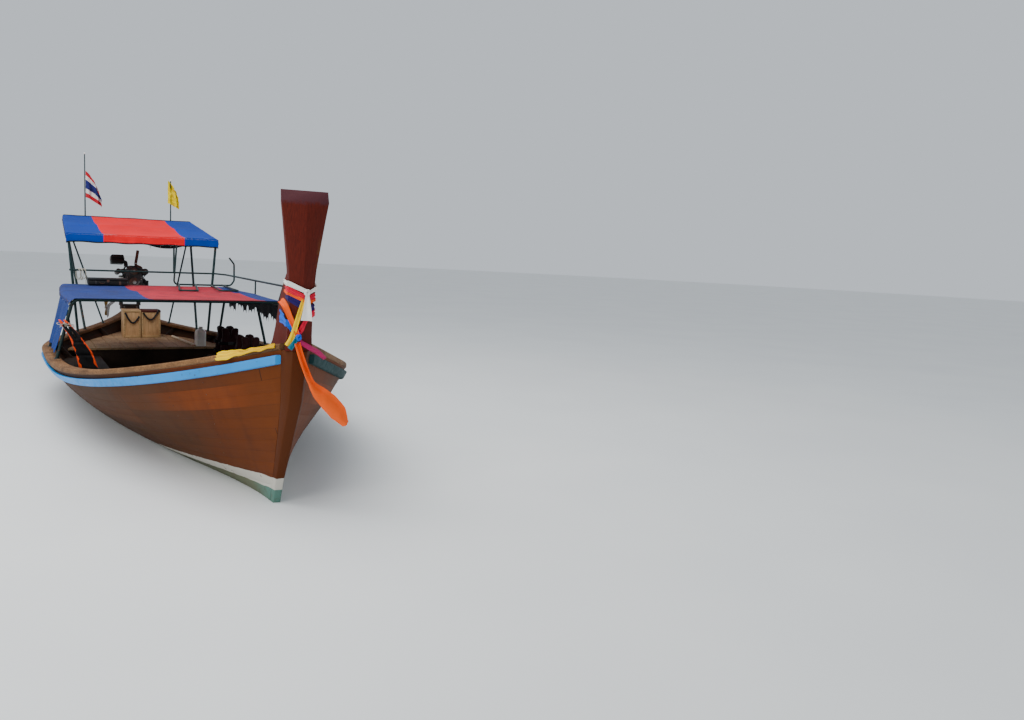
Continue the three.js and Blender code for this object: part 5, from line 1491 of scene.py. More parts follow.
def build_upper_canopy(sizes):
    bars = [UPPER_FRONT, (UPPER_FRONT + UPPER_REAR) / 2, UPPER_REAR]
    front, rear = UPPER_FRONT + 0.026, UPPER_REAR - 0.012

    def spot(u, t):
        x = mix(front, rear, u)
        half = upper_half(x) + 0.003
        high = upper_height(x) + 0.0035
        y, z = canopy_section(half, high, UPPER_SKIRT, 0.024, t)
        inner = min(1.0, max(0.0, (half - abs(y)) / 0.22))
        z -= hoop_sag(x, bars, sizes.canopy_sag) * inner
        z += wrinkle((x, y, 0), 4.0, 0.007, 1.0) * inner
        if abs(y) > half - 0.008:
            y += math.copysign(1, y) * 0.003 * math.sin(x * 26)
            z += 0.003 * math.sin(x * 19)
        return boat(x, y, z)

    sheeted(cloth_grid("upper_canvas_roof", 100, 150, spot, "upper_canvas"),
            ["upper_canopy"])
    for edge, along_edge in (("rear", lambda v, w: spot(1.0 - 0.022 * w, v)),
                             ("port", lambda v, w: spot(v, 0.010 * w)),
                             ("starboard", lambda v, w: spot(v, 1.0 - 0.010 * w))):
        way = {"rear": Vector((-0.001, 0, 0.0035)), "port": Vector((0, 0.0035, 0)),
               "starboard": Vector((0, -0.0035, 0))}[edge]
        sheeted(cloth_grid(f"upper_canvas_{edge}_binding", 120, 3, lambda v, w: along_edge(v, w) + way,
                           "hem", 0.0025))
    half = upper_half(front) + 0.004
    high = upper_height(front)

    def valance(t, u):
        y = mix(half, -half, u)
        edge = min(1.0, min(u, 1 - u) / 0.02)
        fold = 0.35 + 0.65 * t
        x = front + 0.0045 - 0.003 * t
        x += 0.005 * fold * math.sin(u * 47 + 2 * math.sin(u * 11))
        x += wrinkle((0, y, t * 0.3), 6, 0.006 * t, 3)
        drop = UPPER_VALANCE + 0.004 * math.sin(u * 33)
        z = high + 0.003 - 0.012 * (1 - edge) - drop * t
        return boat(x, y, z)

    sheeted(cloth_grid("upper_front_valance", 26, 190, valance, "upper_canvas"))

    sheeted(cloth_grid("upper_valance_binding", 190, 3,
                       lambda v, w: valance(1.0 - 0.15 * w, v) + Vector((0.0028, 0, 0)), "hem", 0.0025))

    def roll(t, u):
        y = mix(0.52, 0.02, t)
        a = 2 * math.pi * u * 0.97
        size = 0.01 + 0.016 * math.sin(math.pi * t) + wrinkle((y, 0, 0), 7, 0.004, 4)
        return boat(UPPER_FRONT - 0.012 + size * math.cos(a), y,
                    high - 0.1 - 0.03 * math.sin(math.pi * t) + size * math.sin(a))

    sheeted(cloth_grid("rolled_rain_flap", 110, 22, roll, "hem", 0.0025))
    ties = []
    for i in range(4):
        y = mix(0.47, 0.07, i / 3)
        ring = [boat(UPPER_FRONT - 0.01 + 0.028 * math.cos(a), y + 0.004 * math.sin(a * 2),
                     high - 0.082 + 0.078 * math.sin(a)) for a in full_turn(14, closed=True)]
        ties.append(ring)
    settle(piped("rolled_flap_ties", ties, 0.0022, "rope_white", 0.004, 6))
    line = [valance(0.93, i / 200) + Vector((0.003, 0, 0)) for i in range(201)]
    stitches("upper_valance_stitches", line, (1, 0, 0), "sash_white", 0.016)
    line = [valance(0.12, i / 200) + Vector((0.003, 0, 0)) for i in range(201)]
    stitches("upper_valance_top_stitches", line, (1, 0, 0), "sash_white", 0.016)


# Fittings on the roofs

def build_ladder(sizes):
    lie = ROOF_TOP + LIGHT_PIPE
    x = -2.485
    runs = [[boat(-2.53, 0.396, 1.66), boat(x, 0.352, lie), boat(x, 1.12, lie), boat(-2.48, 1.165, 1.2),
             boat(-2.47, 1.16, 1.434), boat(-2.46, 1.09, 1.52)],
            [boat(x, 0.42, lie), boat(-1.12, 0.2, lie), boat(-1.06, 0.41, lie), boat(x, 0.64, lie)],
            [boat(x, 0.85, lie), boat(-1.16, 0.7, lie), boat(-1.22, 0.94, lie), boat(x, 1.0, lie)]]
    piece = piped("bent_pipe_ladder", runs, LIGHT_PIPE, "pipe", 0.055, 14)
    rings = [(run[i], (0, 0, 1)) for run in runs[1:] for i in (0, -1)]
    welds = scattered("ladder_welds", rings, small_shape("weld", 0.0155, 0.0155), "steel", 1, 0.08)
    settle(joined("bent_pipe_ladder", [piece, welds]), stands_for=["boarding_ladder"])


def build_locker(sizes):
    """A low black tin chest with a lid, a hasp, corner straps and a carrying handle."""
    low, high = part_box("roof_locker")
    split = mix(low.z, high.z, 0.62)
    inset = Vector((0.004, 0.004, 0))
    parts = [
        rounded_block("chest", low + inset, (high.x - 0.004, high.y - 0.004, split), "black_paint", 0.006),
        rounded_block("lid", (low.x, low.y, split + 0.0015), high, "black_paint", 0.009),
    ]
    for y in (mix(low.y, high.y, 0.2), mix(low.y, high.y, 0.8)):
        parts.append(rounded_block("strap", (high.x - 0.005, y - 0.012, low.z + 0.004),
                                   (high.x - 0.0005, y + 0.012, split - 0.004), "steel", 0.001))
    middle = (low.y + high.y) / 2
    parts += [
        rounded_block("hasp", (high.x - 0.004, middle - 0.016, split - 0.022),
                      (high.x + 0.0035, middle + 0.016, split + 0.014), "steel", 0.002),
        piped("chest_handle",
              [[(high.x - 0.002, middle - 0.1, split - 0.02),
                (high.x + 0.008, middle - 0.09, split - 0.032),
                (high.x + 0.008, middle - 0.05, split - 0.032),
                (high.x - 0.002, middle - 0.04, split - 0.02)]], 0.0028, "steel", 0.006, 8),
    ]
    settle(joined("tin_chest", parts), stands_for=["roof_locker"])


POLES = {"starboard_flag_pole": (-0.6, 2.96), "port_flag_pole": (0.61, 2.66)}
POLE_X, POLE_FOOT = -4.3973, 1.950


def build_poles(sizes):
    for node, (y, top) in POLES.items():
        parts = [
            turned("pole", [(0, 0.0098), (0.3, 0.0096), (0.34, 0.0088), (1, 0.0074)], "pipe",
                   boat(POLE_X, y, POLE_FOOT), boat(POLE_X, y, top - 0.02), 14),
            turned("finial", [(0, 0.004), (0.15, 0.01), (0.5, 0.0145), (0.85, 0.01), (1, 0.002)],
                   "sash_white", boat(POLE_X, y, top - 0.03), boat(POLE_X, y, top), 14),
        ]
        for z in (1.972, 2.008):
            loop = [boat(POLE_X + 0.006 + 0.024 * math.cos(a), y + 0.014 * math.sin(a),
                         z + 0.006 * math.sin(a * 2)) for a in full_turn(16, closed=True)]
            parts.append(piped("lashing", [loop], 0.003, "rope_white", 0.004, 6))
        settle(joined(node + "_lashed", parts), stands_for=[node])


def limp_flag(t, u, wide, top, foot, fall):
    """A limp flag in no wind, from its hoist (u 0) to its fly (u 1): its own weight folds the fly down and in
    towards the pole. Gives the way out from the pole, the way across the folds and the height."""
    fly = 1 - (1 - u) ** 1.5
    out = wide * fly * (0.55 + 0.45 * math.sin(math.pi * (0.62 - 0.45 * t)))
    gather = 0.6 + 0.4 * (1 - t)
    across = 0.036 * math.sin(u * 13 + t * 2.2) + 0.008 * math.sin(u * 23 - t * 4)
    across *= min(1.0, u * 4) * gather
    height = mix(foot, top, t) - fall * u ** 1.15 * (0.5 + 0.5 * t)
    height += 0.012 * math.sin(u * 8 + 1) * (1 - t) * u
    return out, across, height


def build_flags(sizes):
    for node, pole, wide, top, foot, fall, start, finish in (
            ("striped_flag", "starboard_flag_pole", 0.215, 2.690, 2.300, 0.290, 0.0108, "striped_flag"),
            ("yellow_flag", "port_flag_pole", 0.165, 2.640, 2.290, 0.200, -0.045, "yellow_flag")):
        y0 = POLES[pole][0] + start
        front = 0.0 if start > 0 else 0.022

        def spot(t, u):
            out, across, height = limp_flag(t, u, wide, top, foot, fall)
            if node == "yellow_flag":
                across += 0.01 * math.sin(u * 14 + t * 9) + wrinkle((u * 3, t * 4, 0), 2.0, 0.016, 6.0)
            out += wrinkle((u * 2, t * 3, 1), 2.0, 0.014, 3.0) * min(1.0, u * 4)
            return boat(POLE_X + front + across, y0 + out, height)

        sheeted(cloth_grid(node + "_cloth", 60, 60, spot, finish, 0.0012),
                [node], 80)


def build_hung_rope(sizes):
    """A hank of white rope hung over the starboard end of the front rail, with a loose tail."""
    turns, steps, radius = 4, 28, 0.0045
    path = []
    for k in range(turns * steps + 1):
        a = math.pi / 2 - 2 * math.pi * k / steps
        turn = k // steps
        out = (0.04 + 0.016 * math.sin(turn * 2.1)) * math.cos(a)
        tall = 0.06 + 0.034 * abs(math.sin(turn * 1.7 + 0.8)) * (1 - math.sin(a)) / 2
        y = -0.838 + 0.022 * k / steps
        path.append(boat(UPPER_FRONT + out, y + out * 0.8, 1.2425 + tall * math.sin(a)))
    end = path[-1]
    tail = [end + Vector((0.014, 0.01, -0.006)), end + Vector((0.024, 0.016, -0.06)),
            end + Vector((0.026, 0.014, -0.18)), end + Vector((0.02, 0.02, -0.3))]
    path += smoothed(tail, 8)
    piece = piped("hung_white_rope", [path], radius, "rope_white", 0.002, 8)
    settle(piece)
    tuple(path[0])
    run_length(path)


def build_deck_stick(sizes):
    """A pale stick that lies on the stern deck beside the jug."""
    ends = boat(-3.009, 0.413, 0.356), boat(-1.960, 0.520, 0.354)
    stick = turned("pale_deck_stick", [(0, 0.011), (0.02, 0.0135), (0.98, 0.0125), (1, 0.01)], "pale_stick",
                   *ends, 14)
    settle(stick)


# Cloths tied on the prow

PROW_TABLE = [(1.0773, 4.695, 4.591, 0.092), (1.18, 4.71, 4.591, 0.084), (1.42, 4.74, 4.59, 0.078),
              (1.62, 4.758, 4.598, 0.092), (1.81, 4.772, 4.606, 0.119)]
PROW_RIDGE, PROW_BACK_SHARE, KNEE_HALF, KNEE_REACH = 0.038, 0.8, 0.060, 0.45


def prow_at(z):
    """Ridge x, back x and half width of the prow board at a height from the stripe's foot."""
    for low, high in zip(PROW_TABLE, PROW_TABLE[1:]):
        if z <= high[0] or high is PROW_TABLE[-1]:
            t = (z - low[0]) / (high[0] - low[0])
            return [mix(a, b, t) for a, b in zip(low[1:], high[1:])]


def round_prow(share, z, out):
    """A point round the prow board, from the starboard side of its knee (0, and aft along it below 0) by the
    ridge (0.5) to port (1)."""
    ridge, back, half = prow_at(z)
    knee = KNEE_HALF + out
    if share < 0:
        return Vector((back - out + share * KNEE_REACH, -knee, z + STRIPE_ABOVE_WATER))
    corner = (ridge - PROW_RIDGE, half)
    path = [(back - out, -knee), (back - out, -half * PROW_BACK_SHARE - out), (corner[0], -corner[1] - out),
            (ridge + out, 0.0), (corner[0], corner[1] + out), (back - out, half * PROW_BACK_SHARE + out),
            (back - out, knee)]
    lengths = [math.dist(a, b) for a, b in zip(path, path[1:])]
    reach = share * sum(lengths)
    for (a, b), length in zip(zip(path, path[1:]), lengths):
        if reach <= length or b is path[-1]:
            t = min(1.0, reach / length)
            return Vector((mix(a[0], b[0], t), mix(a[1], b[1], t), z + STRIPE_ABOVE_WATER))
        reach -= length


def ribbon(name, centres, widths, facings, finish, stands_for=(), folds=3, depth=0.004,
           thickness=0.0012, seed=1.0):
    """A ribbon along points, with its width and outward direction at each, gathered in lengthwise folds."""
    smooth = smoothed(centres, 6)
    count = len(smooth)

    def spot(t, u):
        i = min(count - 2, int(t * (count - 1)))
        share = t * (count - 1) - i
        here = smooth[i].lerp(smooth[i + 1], share)
        tangent = (smooth[i + 1] - smooth[i]).normalized()
        k = min(len(widths) - 1.0001, t * (len(widths) - 1))
        low, part = int(k), k - int(k)
        width = mix(widths[low], widths[low + 1], part)
        out = facings[low].lerp(facings[low + 1], part)
        out = (out - tangent * out.dot(tangent)).normalized()
        across = tangent.cross(out)
        ripple = math.sin(u * math.pi * 2 * folds + seed + t * 2.0) * depth
        ripple += wrinkle((t * 3, u, seed), 3.0, depth * 0.8, seed)
        return here + across * (u - 0.5) * width + out * ripple

    return sheeted(cloth_grid(name, max(24, count), 8 * folds + 3, spot, finish, thickness),
                   stands_for, 70)


def smoothed(points, steps):
    """A smooth run that passes through all the points."""
    points = [Vector(p) for p in points]
    ends = [points[0] * 2 - points[1]] + points + [points[-1] * 2 - points[-2]]
    run = []
    for a, b, c, d in zip(ends, ends[1:], ends[2:], ends[3:]):
        for i in range(steps):
            t = i / steps
            run.append((b * 2 + (c - a) * t + (a * 2 - b * 5 + c * 4 - d) * t * t
                        + (b * 3 - a - c * 3 + d) * t ** 3) / 2)
    return run + [points[-1]]


# Bands wound round the prow: name, finish, widths at its two ends, how far out, and a table of (share of the
# way round from the starboard side of the knee, height)
WOUND_BANDS = [
    ("white_band", "sash_white", (0.030, 0.030), 0.018,
     [(0.05, 1.535), (0.30, 1.528), (0.58, 1.474), (0.95, 1.545)]),
    ("rose_band", "sash_red", (0.044, 0.044), 0.012,
     [(0.05, 1.500), (0.30, 1.492), (0.58, 1.424), (0.95, 1.480)]),
    ("orange_band", "sash_orange", (0.020, 0.020), 0.017,
     [(0.05, 1.475), (0.30, 1.466), (0.58, 1.402), (0.95, 1.450)]),
    ("purple_band", "sash_purple", (0.054, 0.054), 0.011,
     [(0.05, 1.450), (0.30, 1.442), (0.58, 1.355), (0.95, 1.400)]),
    ("rose_low_band", "sash_red", (0.042, 0.042), 0.014,
     [(0.43, 1.184), (0.58, 1.293), (0.92, 1.400)]),
    ("blue_band", "sash_blue", (0.084, 0.042), 0.016,
     [(-0.26, 1.296), (0.0, 1.284), (0.30, 1.262), (0.45, 1.180)]),
]

# Loose ends and strands: name, finish, widths, and points in millimetres from the boat's middle and the
# stripe's foot
HANGING_ENDS = [
    ("white_tail", "sash_white", [0.020, 0.046, 0.076],
     [(4784, 14, 1474), (4784, 16, 1380), (4778, 14, 1290)]),
    ("yellow_strand", "sash_yellow", [0.026, 0.030, 0.034, 0.036],
     [(4762, -2, 1425), (4748, -36, 1298), (4728, -66, 1178), (4706, -92, 1118)]),
    ("magenta_strand", "sash_magenta", [0.030, 0.034, 0.036, 0.026],
     [(4738, -18, 1148), (4724, 56, 1106), (4664, 132, 1066), (4610, 200, 1014)]),
    ("orange_drape", "sash_orange", [0.044, 0.042, 0.036, 0.032, 0.026],
     [(4620, -114, 1415), (4696, -106, 1380), (4718, -78, 1305), (4732, -48, 1235), (4744, -30, 1182)]),
    ("teal_strand", "sash_green", [0.024, 0.030, 0.034],
     [(4744, -34, 1182), (4734, -52, 1140), (4718, -78, 1098)]),
]


def looped_knot(name, finish, middle, size, thick):
    """A small overhand knot drawn tight in a ribbon."""
    loop = []
    for a in full_turn(48, closed=True):
        up = math.cos(2 * a) + 0.3 * math.sin(3 * a)
        way = Vector((0.42 * math.cos(3 * a), 0.85 * math.sin(2 * a), up))
        loop.append(Vector(middle) + way * size)
    piece = piped(name, [loop], thick, finish, 0.006, 10)
    return settle(piece)


def build_garland(sizes):
    for i, (name, finish, width, out, table) in enumerate(WOUND_BANDS):
        centres, facings, widths = [], [], []
        steps = 40
        for k in range(steps + 1):
            share = mix(table[0][0], table[-1][0], k / steps)
            z = along([(a, b) for a, b in table], share) + 0.003 * math.sin(share * 9 + i)
            here = round_prow(share, z, out)
            onward = round_prow(min(1, share + 0.03), z, out) - round_prow(share - 0.03, z, out)
            facings.append(Vector((onward.y, -onward.x, 0)).normalized())
            centres.append(here)
            widths.append(mix(*width, k / steps) * (0.95 + 0.12 * math.sin(share * 7 + i * 2)))
        ribbon(name, centres, widths, facings, finish,
               ["prow_band"] if i == 0 else (), 2, 0.0026, 0.0014, i * 1.3)
    for i, (name, finish, widths, path) in enumerate(HANGING_ENDS):
        centres = [boat(*(v * MILLIMETRE for v in p)) for p in path]
        facings = [Vector((0.95, -0.3, 0.25)).normalized()] * len(widths)
        ribbon(name, centres, widths, facings, finish, (), 1,
               0.005, 0.0012, i * 2.1)
    looped_knot("white_band_knot", "sash_white", boat(4.78, 0.014, 1.474), 0.014, 0.008)
    looped_knot("blue_band_knot", "sash_blue", boat(4.744, -0.026, 1.176), 0.013, 0.008)


# The long sash: x, y and height of its middle, and its width there
ORANGE_SASH = [(4.744, -0.036, 1.14, 0.04), (4.746, 0.014, 0.985, 0.042), (4.747, 0.066, 0.87, 0.044),
               (4.748, 0.116, 0.806, 0.09), (4.748, 0.19, 0.735, 0.122), (4.746, 0.262, 0.655, 0.12),
               (4.743, 0.318, 0.572, 0.05)]


def build_orange_sash(sizes):
    centres = [boat(x - 0.006, y, z) for x, y, z, _ in ORANGE_SASH]
    widths = [w for *_, w in ORANGE_SASH]
    facings = [Vector((1, 0, 0))] * len(widths)
    ribbon("long_orange_sash", centres, widths, facings, "sash_orange",
           ["orange_sash"], 1, 0.014, 0.0014, 2.2)


def build_yellow_sash(sizes):
    """A ribbon laid along the outer edge of the starboard cap rail, with a bunch at its after end."""
    centres, widths, facings = [], [], []
    for i in range(28):
        s = mix(0.003, 0.054, i / 27)
        top = hull_point(s, ROW_TOP)
        bunch = math.exp(-((s - 0.046) / 0.01) ** 2)
        out = top.y + CAP_OUTBOARD + 0.006 + 0.006 * bunch
        centres.append(Vector((top.x, -out, top.z + 0.032 + 0.003 * math.sin(i * 0.8))))
        widths.append(mix(0.026, 0.046, i / 27) + 0.005 * math.sin(i * 1.3) + 0.034 * bunch)
        facings.append(Vector((0.3, -0.8, 0.5)))
    ribbon("yellow_rail_sash", centres, widths, facings, "sash_yellow",
           ["yellow_sash"], 3, 0.0052, 0.0012, 2.4)


# Life jackets

# Half of a vest's outline as (across, up): hem, armhole, shoulder and neck
VEST_HALF = [(0.0, 0.0), (0.125, 0.0), (0.146, 0.018), (0.148, 0.15), (0.144, 0.245), (0.128, 0.285),
              (0.12, 0.33), (0.126, 0.376), (0.128, 0.408), (0.112, 0.424), (0.05, 0.424), (0.034, 0.408),
              (0.028, 0.36), (0.014, 0.318), (0.0, 0.308)]


def vest_body(name, finish, thick, wide, tall):
    """A folded buoyancy vest's thin cut shape, remeshed so that it can be blown up as cloth, standing on its
    hem at the origin.
    """
    outline = VEST_HALF + [(-a, b) for a, b in reversed(VEST_HALF[1:-1])]
    outline = [(a * wide / 0.296, b * tall / 0.424) for a, b in outline]
    points = [(x, a, b) for x in (-thick / 2, thick / 2) for a, b in outline]
    piece = facing_out(mesh_piece(name, points, plate_faces(len(outline)), finish))
    remesh = piece.modifiers.new("remesh", "REMESH")
    remesh.mode = "VOXEL"
    remesh.voxel_size = 0.0065
    remesh.use_smooth_shade = True
    made = applied(piece)
    if not made.materials:
        made.materials.append(finish_named(finish))
    return piece


def blown_up(piece, cap, pressure=4.0):
    """Cloth under inside pressure, with each point's move capped."""
    before = [v.co.copy() for v in piece.data.vertices]
    scene = bpy.context.scene
    cloth = piece.modifiers.new("blown", "CLOTH")
    cloth.settings.use_pressure = True
    cloth.settings.uniform_pressure_force = pressure
    cloth.settings.effector_weights.gravity = 0
    cloth.settings.quality = 4
    cloth.point_cache.frame_start = 1
    cloth.point_cache.frame_end = 20
    for step in range(1, 21):
        scene.frame_set(step)
    made = applied(piece)
    scene.frame_set(1)
    for vert, old in zip(made.vertices, before):
        move = vert.co - old
        if move.length > cap:
            vert.co = old + move * (cap / move.length)
    return piece


def quilted(piece, lines, depth, reach):
    """Presses sewn lines into a blown body. Lines are heights of level seams."""
    for vert in piece.data.vertices:
        side = 1 if vert.co.x > 0 else -1
        for z in lines:
            near = math.exp(-((vert.co.z - z) / reach) ** 2)
            vert.co.x -= side * depth * near
        middle = math.exp(-(vert.co.y / (reach * 0.8)) ** 2)
        vert.co.x -= side * depth * 0.8 * middle if vert.co.z < 0.24 else 0
        crumple = wrinkle((vert.co.x * 2, vert.co.y, vert.co.z), 14, 0.006, 2.0)
        vert.co += vert.normal * crumple
    return piece


def vest_straps(name, height_list, thick, wide, finish):
    """Webbing belts round a vest, each with a moulded side-release buckle."""
    parts = []
    for z in height_list:
        ring = []
        for a in full_turn(36):
            ca, sa = math.cos(a), math.sin(a)
            ring.append(Vector((math.copysign(abs(ca) ** 0.45, ca) * (thick / 2 + 0.003),
                                math.copysign(abs(sa) ** 0.35, sa) * (wide / 2 + 0.002), z)))
        points, faces = [], []
        for p in ring:
            out = Vector((p.x, p.y * 0.3, 0)).normalized() * 0.003
            points += [p + Vector((0, 0, -0.019)), p + Vector((0, 0, -0.019)) + out,
                       p + Vector((0, 0, 0.019)) + out, p + Vector((0, 0, 0.019))]
        count = len(ring)
        for i in range(count):
            j = (i + 1) % count
            faces += [(4 * i + k, 4 * j + k, 4 * j + (k + 1) % 4, 4 * i + (k + 1) % 4) for k in range(4)]
        belt = mesh_piece(name + "_belt", points, faces, finish)
        parts.append(facing_out(belt))
        front = thick / 2 + 0.002
        parts.append(rounded_block(name + "_buckle", (front, -0.034, z - 0.022),
                                   (front + 0.012, 0.034, z + 0.022), "rubber", 0.004))
    return parts


def divided(piece):
    """Has one level of smooth subdivision added to a piece."""
    smooth = piece.modifiers.new("smooth", "SUBSURF")
    smooth.levels = smooth.render_levels = 1


def placed(pieces, turn):
    for piece in pieces:
        piece.data.transform(turn)
    return pieces


def build_maroon_jackets(sizes):
    thick, wide, tall = 0.082, 0.262, 0.402
    model = quilted(blown_up(vest_body("vest_model", "jacket_maroon", thick, wide, tall), 0.014),
                    (0.1, 0.19), 0.008, 0.01)
    for i, x in enumerate((-1.560, -1.250, -0.480, -0.170)):
        lean = (0.05, -0.04, 0.06, -0.03)[i]
        seat = boat(x, 0.85, BENCH_TOP + 0.006)
        turn = Matrix.Rotation(lean * 0.6, 4, "Y") @ Matrix.Rotation(lean * 2, 4, "Z")
        turn = Matrix.Translation(seat) @ turn
        body = new_object(f"maroon_vest_{i + 1}", model.data.copy())
        placed([body], turn)
        divided(body)
        settle(body, stands_for=[f"maroon_life_jacket_{i + 1}"])
        straps = placed(vest_straps(f"maroon_vest_{i + 1}", (0.085, 0.205), thick + 0.018, wide + 0.014,
                                    "webbing"), turn)
        settle(joined(f"maroon_vest_{i + 1}_belts", straps))
    bpy.data.objects.remove(model)


ORANGE_JACKET = [(0.0, -0.905), (0.315, -0.985), (0.5, -1.075), (0.665, -1.19)]
ORANGE_HALVES = [0.118, 0.092, 0.075, 0.048]
ORANGE_JACKET_X = (0.318, 0.433)


def lean_of(rise):
    """Middle and half width of the leaning jacket at a height above the bench."""
    for i, ((z0, y0), (z1, y1)) in enumerate(zip(ORANGE_JACKET, ORANGE_JACKET[1:])):
        if rise <= z1 or i == len(ORANGE_JACKET) - 2:
            t = (rise - z0) / (z1 - z0)
            return mix(y0, y1, t), mix(ORANGE_HALVES[i], ORANGE_HALVES[i + 1], t)


def build_orange_jacket(sizes):
    """Leans from the bench over the canopy's front leg: black panels with orange edges, and white ties at
    its top."""
    thick, wide, tall = 0.078, 0.262, 0.620
    body = blown_up(vest_body("orange_vest", "jacket_orange", thick, wide, tall), 0.012)
    quilted(body, (0.13, 0.27, 0.4), 0.007, 0.01)
    body.data.materials.append(finish_named("jacket_black"))
    middle_x = sum(ORANGE_JACKET_X) / 2
    for face in body.data.polygons:
        place = face.center
        edge = wide / 2 * (0.96 if place.z < 0.38 else 0.82)
        frayed = 0.022 + wrinkle(place, 16, 0.03, 4.0)
        face.material_index = 0 if abs(place.y) > edge - frayed or place.z > 0.555 + frayed else 1
    for vert in body.data.vertices:
        y, half = lean_of(vert.co.z * 0.665 / tall)
        vert.co = boat(middle_x + vert.co.x, y + vert.co.y / (wide / 2) * half * 0.92,
                       BENCH_TOP + 0.008 + vert.co.z * (0.655 / tall))
    divided(body)
    settle(body, stands_for=["orange_life_jacket"])
    ties = []
    for k, (dy, dz) in enumerate(((-0.010, 0.0), (0.012, -0.012), (0.0, -0.030))):
        y, half = lean_of(0.62 + dz)
        ties.append([boat(middle_x + 0.046 * math.cos(a), y + dy + (half + 0.008) * math.sin(a),
                          BENCH_TOP + 0.62 + dz + 0.008 * math.sin(a * 2 + k))
                     for a in full_turn(20, closed=True)])
    settle(piped("orange_vest_ties", ties, 0.003, "rope_white", 0.006, 8))


# Engine unit. Its parts are made level round the tilt axis, x forward, then tipped to their resting angle.

PIVOT_X, PIVOT_HEIGHT = -4.3, 0.9
TILT_AXIS = (PIVOT_X, 0.0, PIVOT_HEIGHT)
REST_TILT = math.radians(9.5)
UNIT = Matrix.Translation(TILT_AXIS) @ Matrix.Rotation(-REST_TILT, 4, "Y")
SHAFT_HEIGHT = 0.17
CRANK_HEIGHT = 0.21


def tipped(name, parts, stands_for=()):
    """Joins parts of the unit, tips them to the resting angle and settles them."""
    piece = joined(name, parts)
    piece.data.transform(UNIT)
    return settle(piece, "engine_unit", stands_for)


def hollow_pipe(name, points, radius, wall, finish, sides=20, deep=0.08):
    """A pipe through points whose last end is open, so that its bore shows."""
    path = smoothed(points, 8)
    rings = []
    across = Vector((0, 1, 0))
    def ring(place, way, size):
        side = (across - way * across.dot(way)).normalized()
        up = way.cross(side)
        return [place + (side * math.cos(a) + up * math.sin(a)) * size
                for a in full_turn(sides)]
    ways = [(b - a).normalized() for a, b in zip(path, path[1:])]
    ways.append(ways[-1])
    for place, way in zip(path, ways):
        rings.append(ring(place, way, radius))
    rings += [
        ring(path[-1], ways[-1], radius - wall),
        ring(path[-1] - ways[-1] * deep, ways[-1], radius - wall * 1.2),
    ]
    piece = lofted(name, rings, finish)
    piece.data.set_sharp_from_angle(angle=math.radians(50))
    return piece


def bolted(name, spots, facing, radius, height, finish="bright"):
    """Bolt heads at places, all facing one way."""
    return scattered(name, [(Vector(p), facing) for p in spots], small_shape("bolt", radius, height),
                     finish, 1.0, 0.04, 5)


def build_engine_bed(sizes):
    settle(softened("engine_bed", "frames", 0.007), stands_for=["engine_bed"])
    top = 0.8
    ring = turned("bearing_ring", [(0, 0.052), (0.05, 0.055), (0.8, 0.055), (1, 0.052)], "steel",
                  (PIVOT_X, 0, top - 0.02), (PIVOT_X, 0, top - 0.0008), 32)
    straps = [rounded_block("strap", (-4.422, y - 0.022, top - 0.075), (-4.414, y + 0.022, top - 0.006),
                            "steel", 0.002) for y in (-0.09, 0.09)]
    straps += [rounded_block("strap", (-4.196, y - 0.022, top - 0.075), (-4.188, y + 0.022, top - 0.006),
                             "steel", 0.002) for y in (-0.09, 0.09)]
    heads = [((-4.188, y, z), (1, 0, 0)) for y in (-0.09, 0.09) for z in (top - 0.058, top - 0.022)]
    heads += [((-4.422, y, z), (-1, 0, 0)) for y in (-0.09, 0.09) for z in (top - 0.058, top - 0.022)]
    bolts = scattered("bed_bolts", heads, small_shape("bolt", 0.009, 0.007), "bright")
    settle(joined("bed_ironwork", [ring, *straps, bolts]))


def build_yoke(sizes):
    yoke = softened("swivel_yoke", "steel", 0.0025, name="swivel_yoke_welded")
    parts = [yoke]
    for side in (-1, 1):
        y = side * 0.1495
        ends = [(PIVOT_X, side * reach, PIVOT_HEIGHT) for reach in (0.137, 0.1555)]
        parts.append(turned("axle_boss", [(0, 0.03), (0.15, 0.032), (0.85, 0.032), (1, 0.03)], "steel", *ends,
                            24))
        for x in (-0.045, 0.045):
            low = (PIVOT_X + x - 0.003, min(y, y - side * 0.05), 0.8145)
            high = (PIVOT_X + x + 0.003, max(y, y - side * 0.05), 0.85)
            parts.append(rounded_block("gusset", low, high, "steel", 0.001, 1))
    bolts = [(PIVOT_X + x, y, 0.8143) for x in (-0.045, 0.045) for y in (-0.07, 0.07)]
    parts.append(bolted("yoke_bolts", bolts, (0, 0, 1), 0.008, 0.006))
    settle(joined("swivel_yoke_welded", parts), "swivel", ["swivel_yoke"])


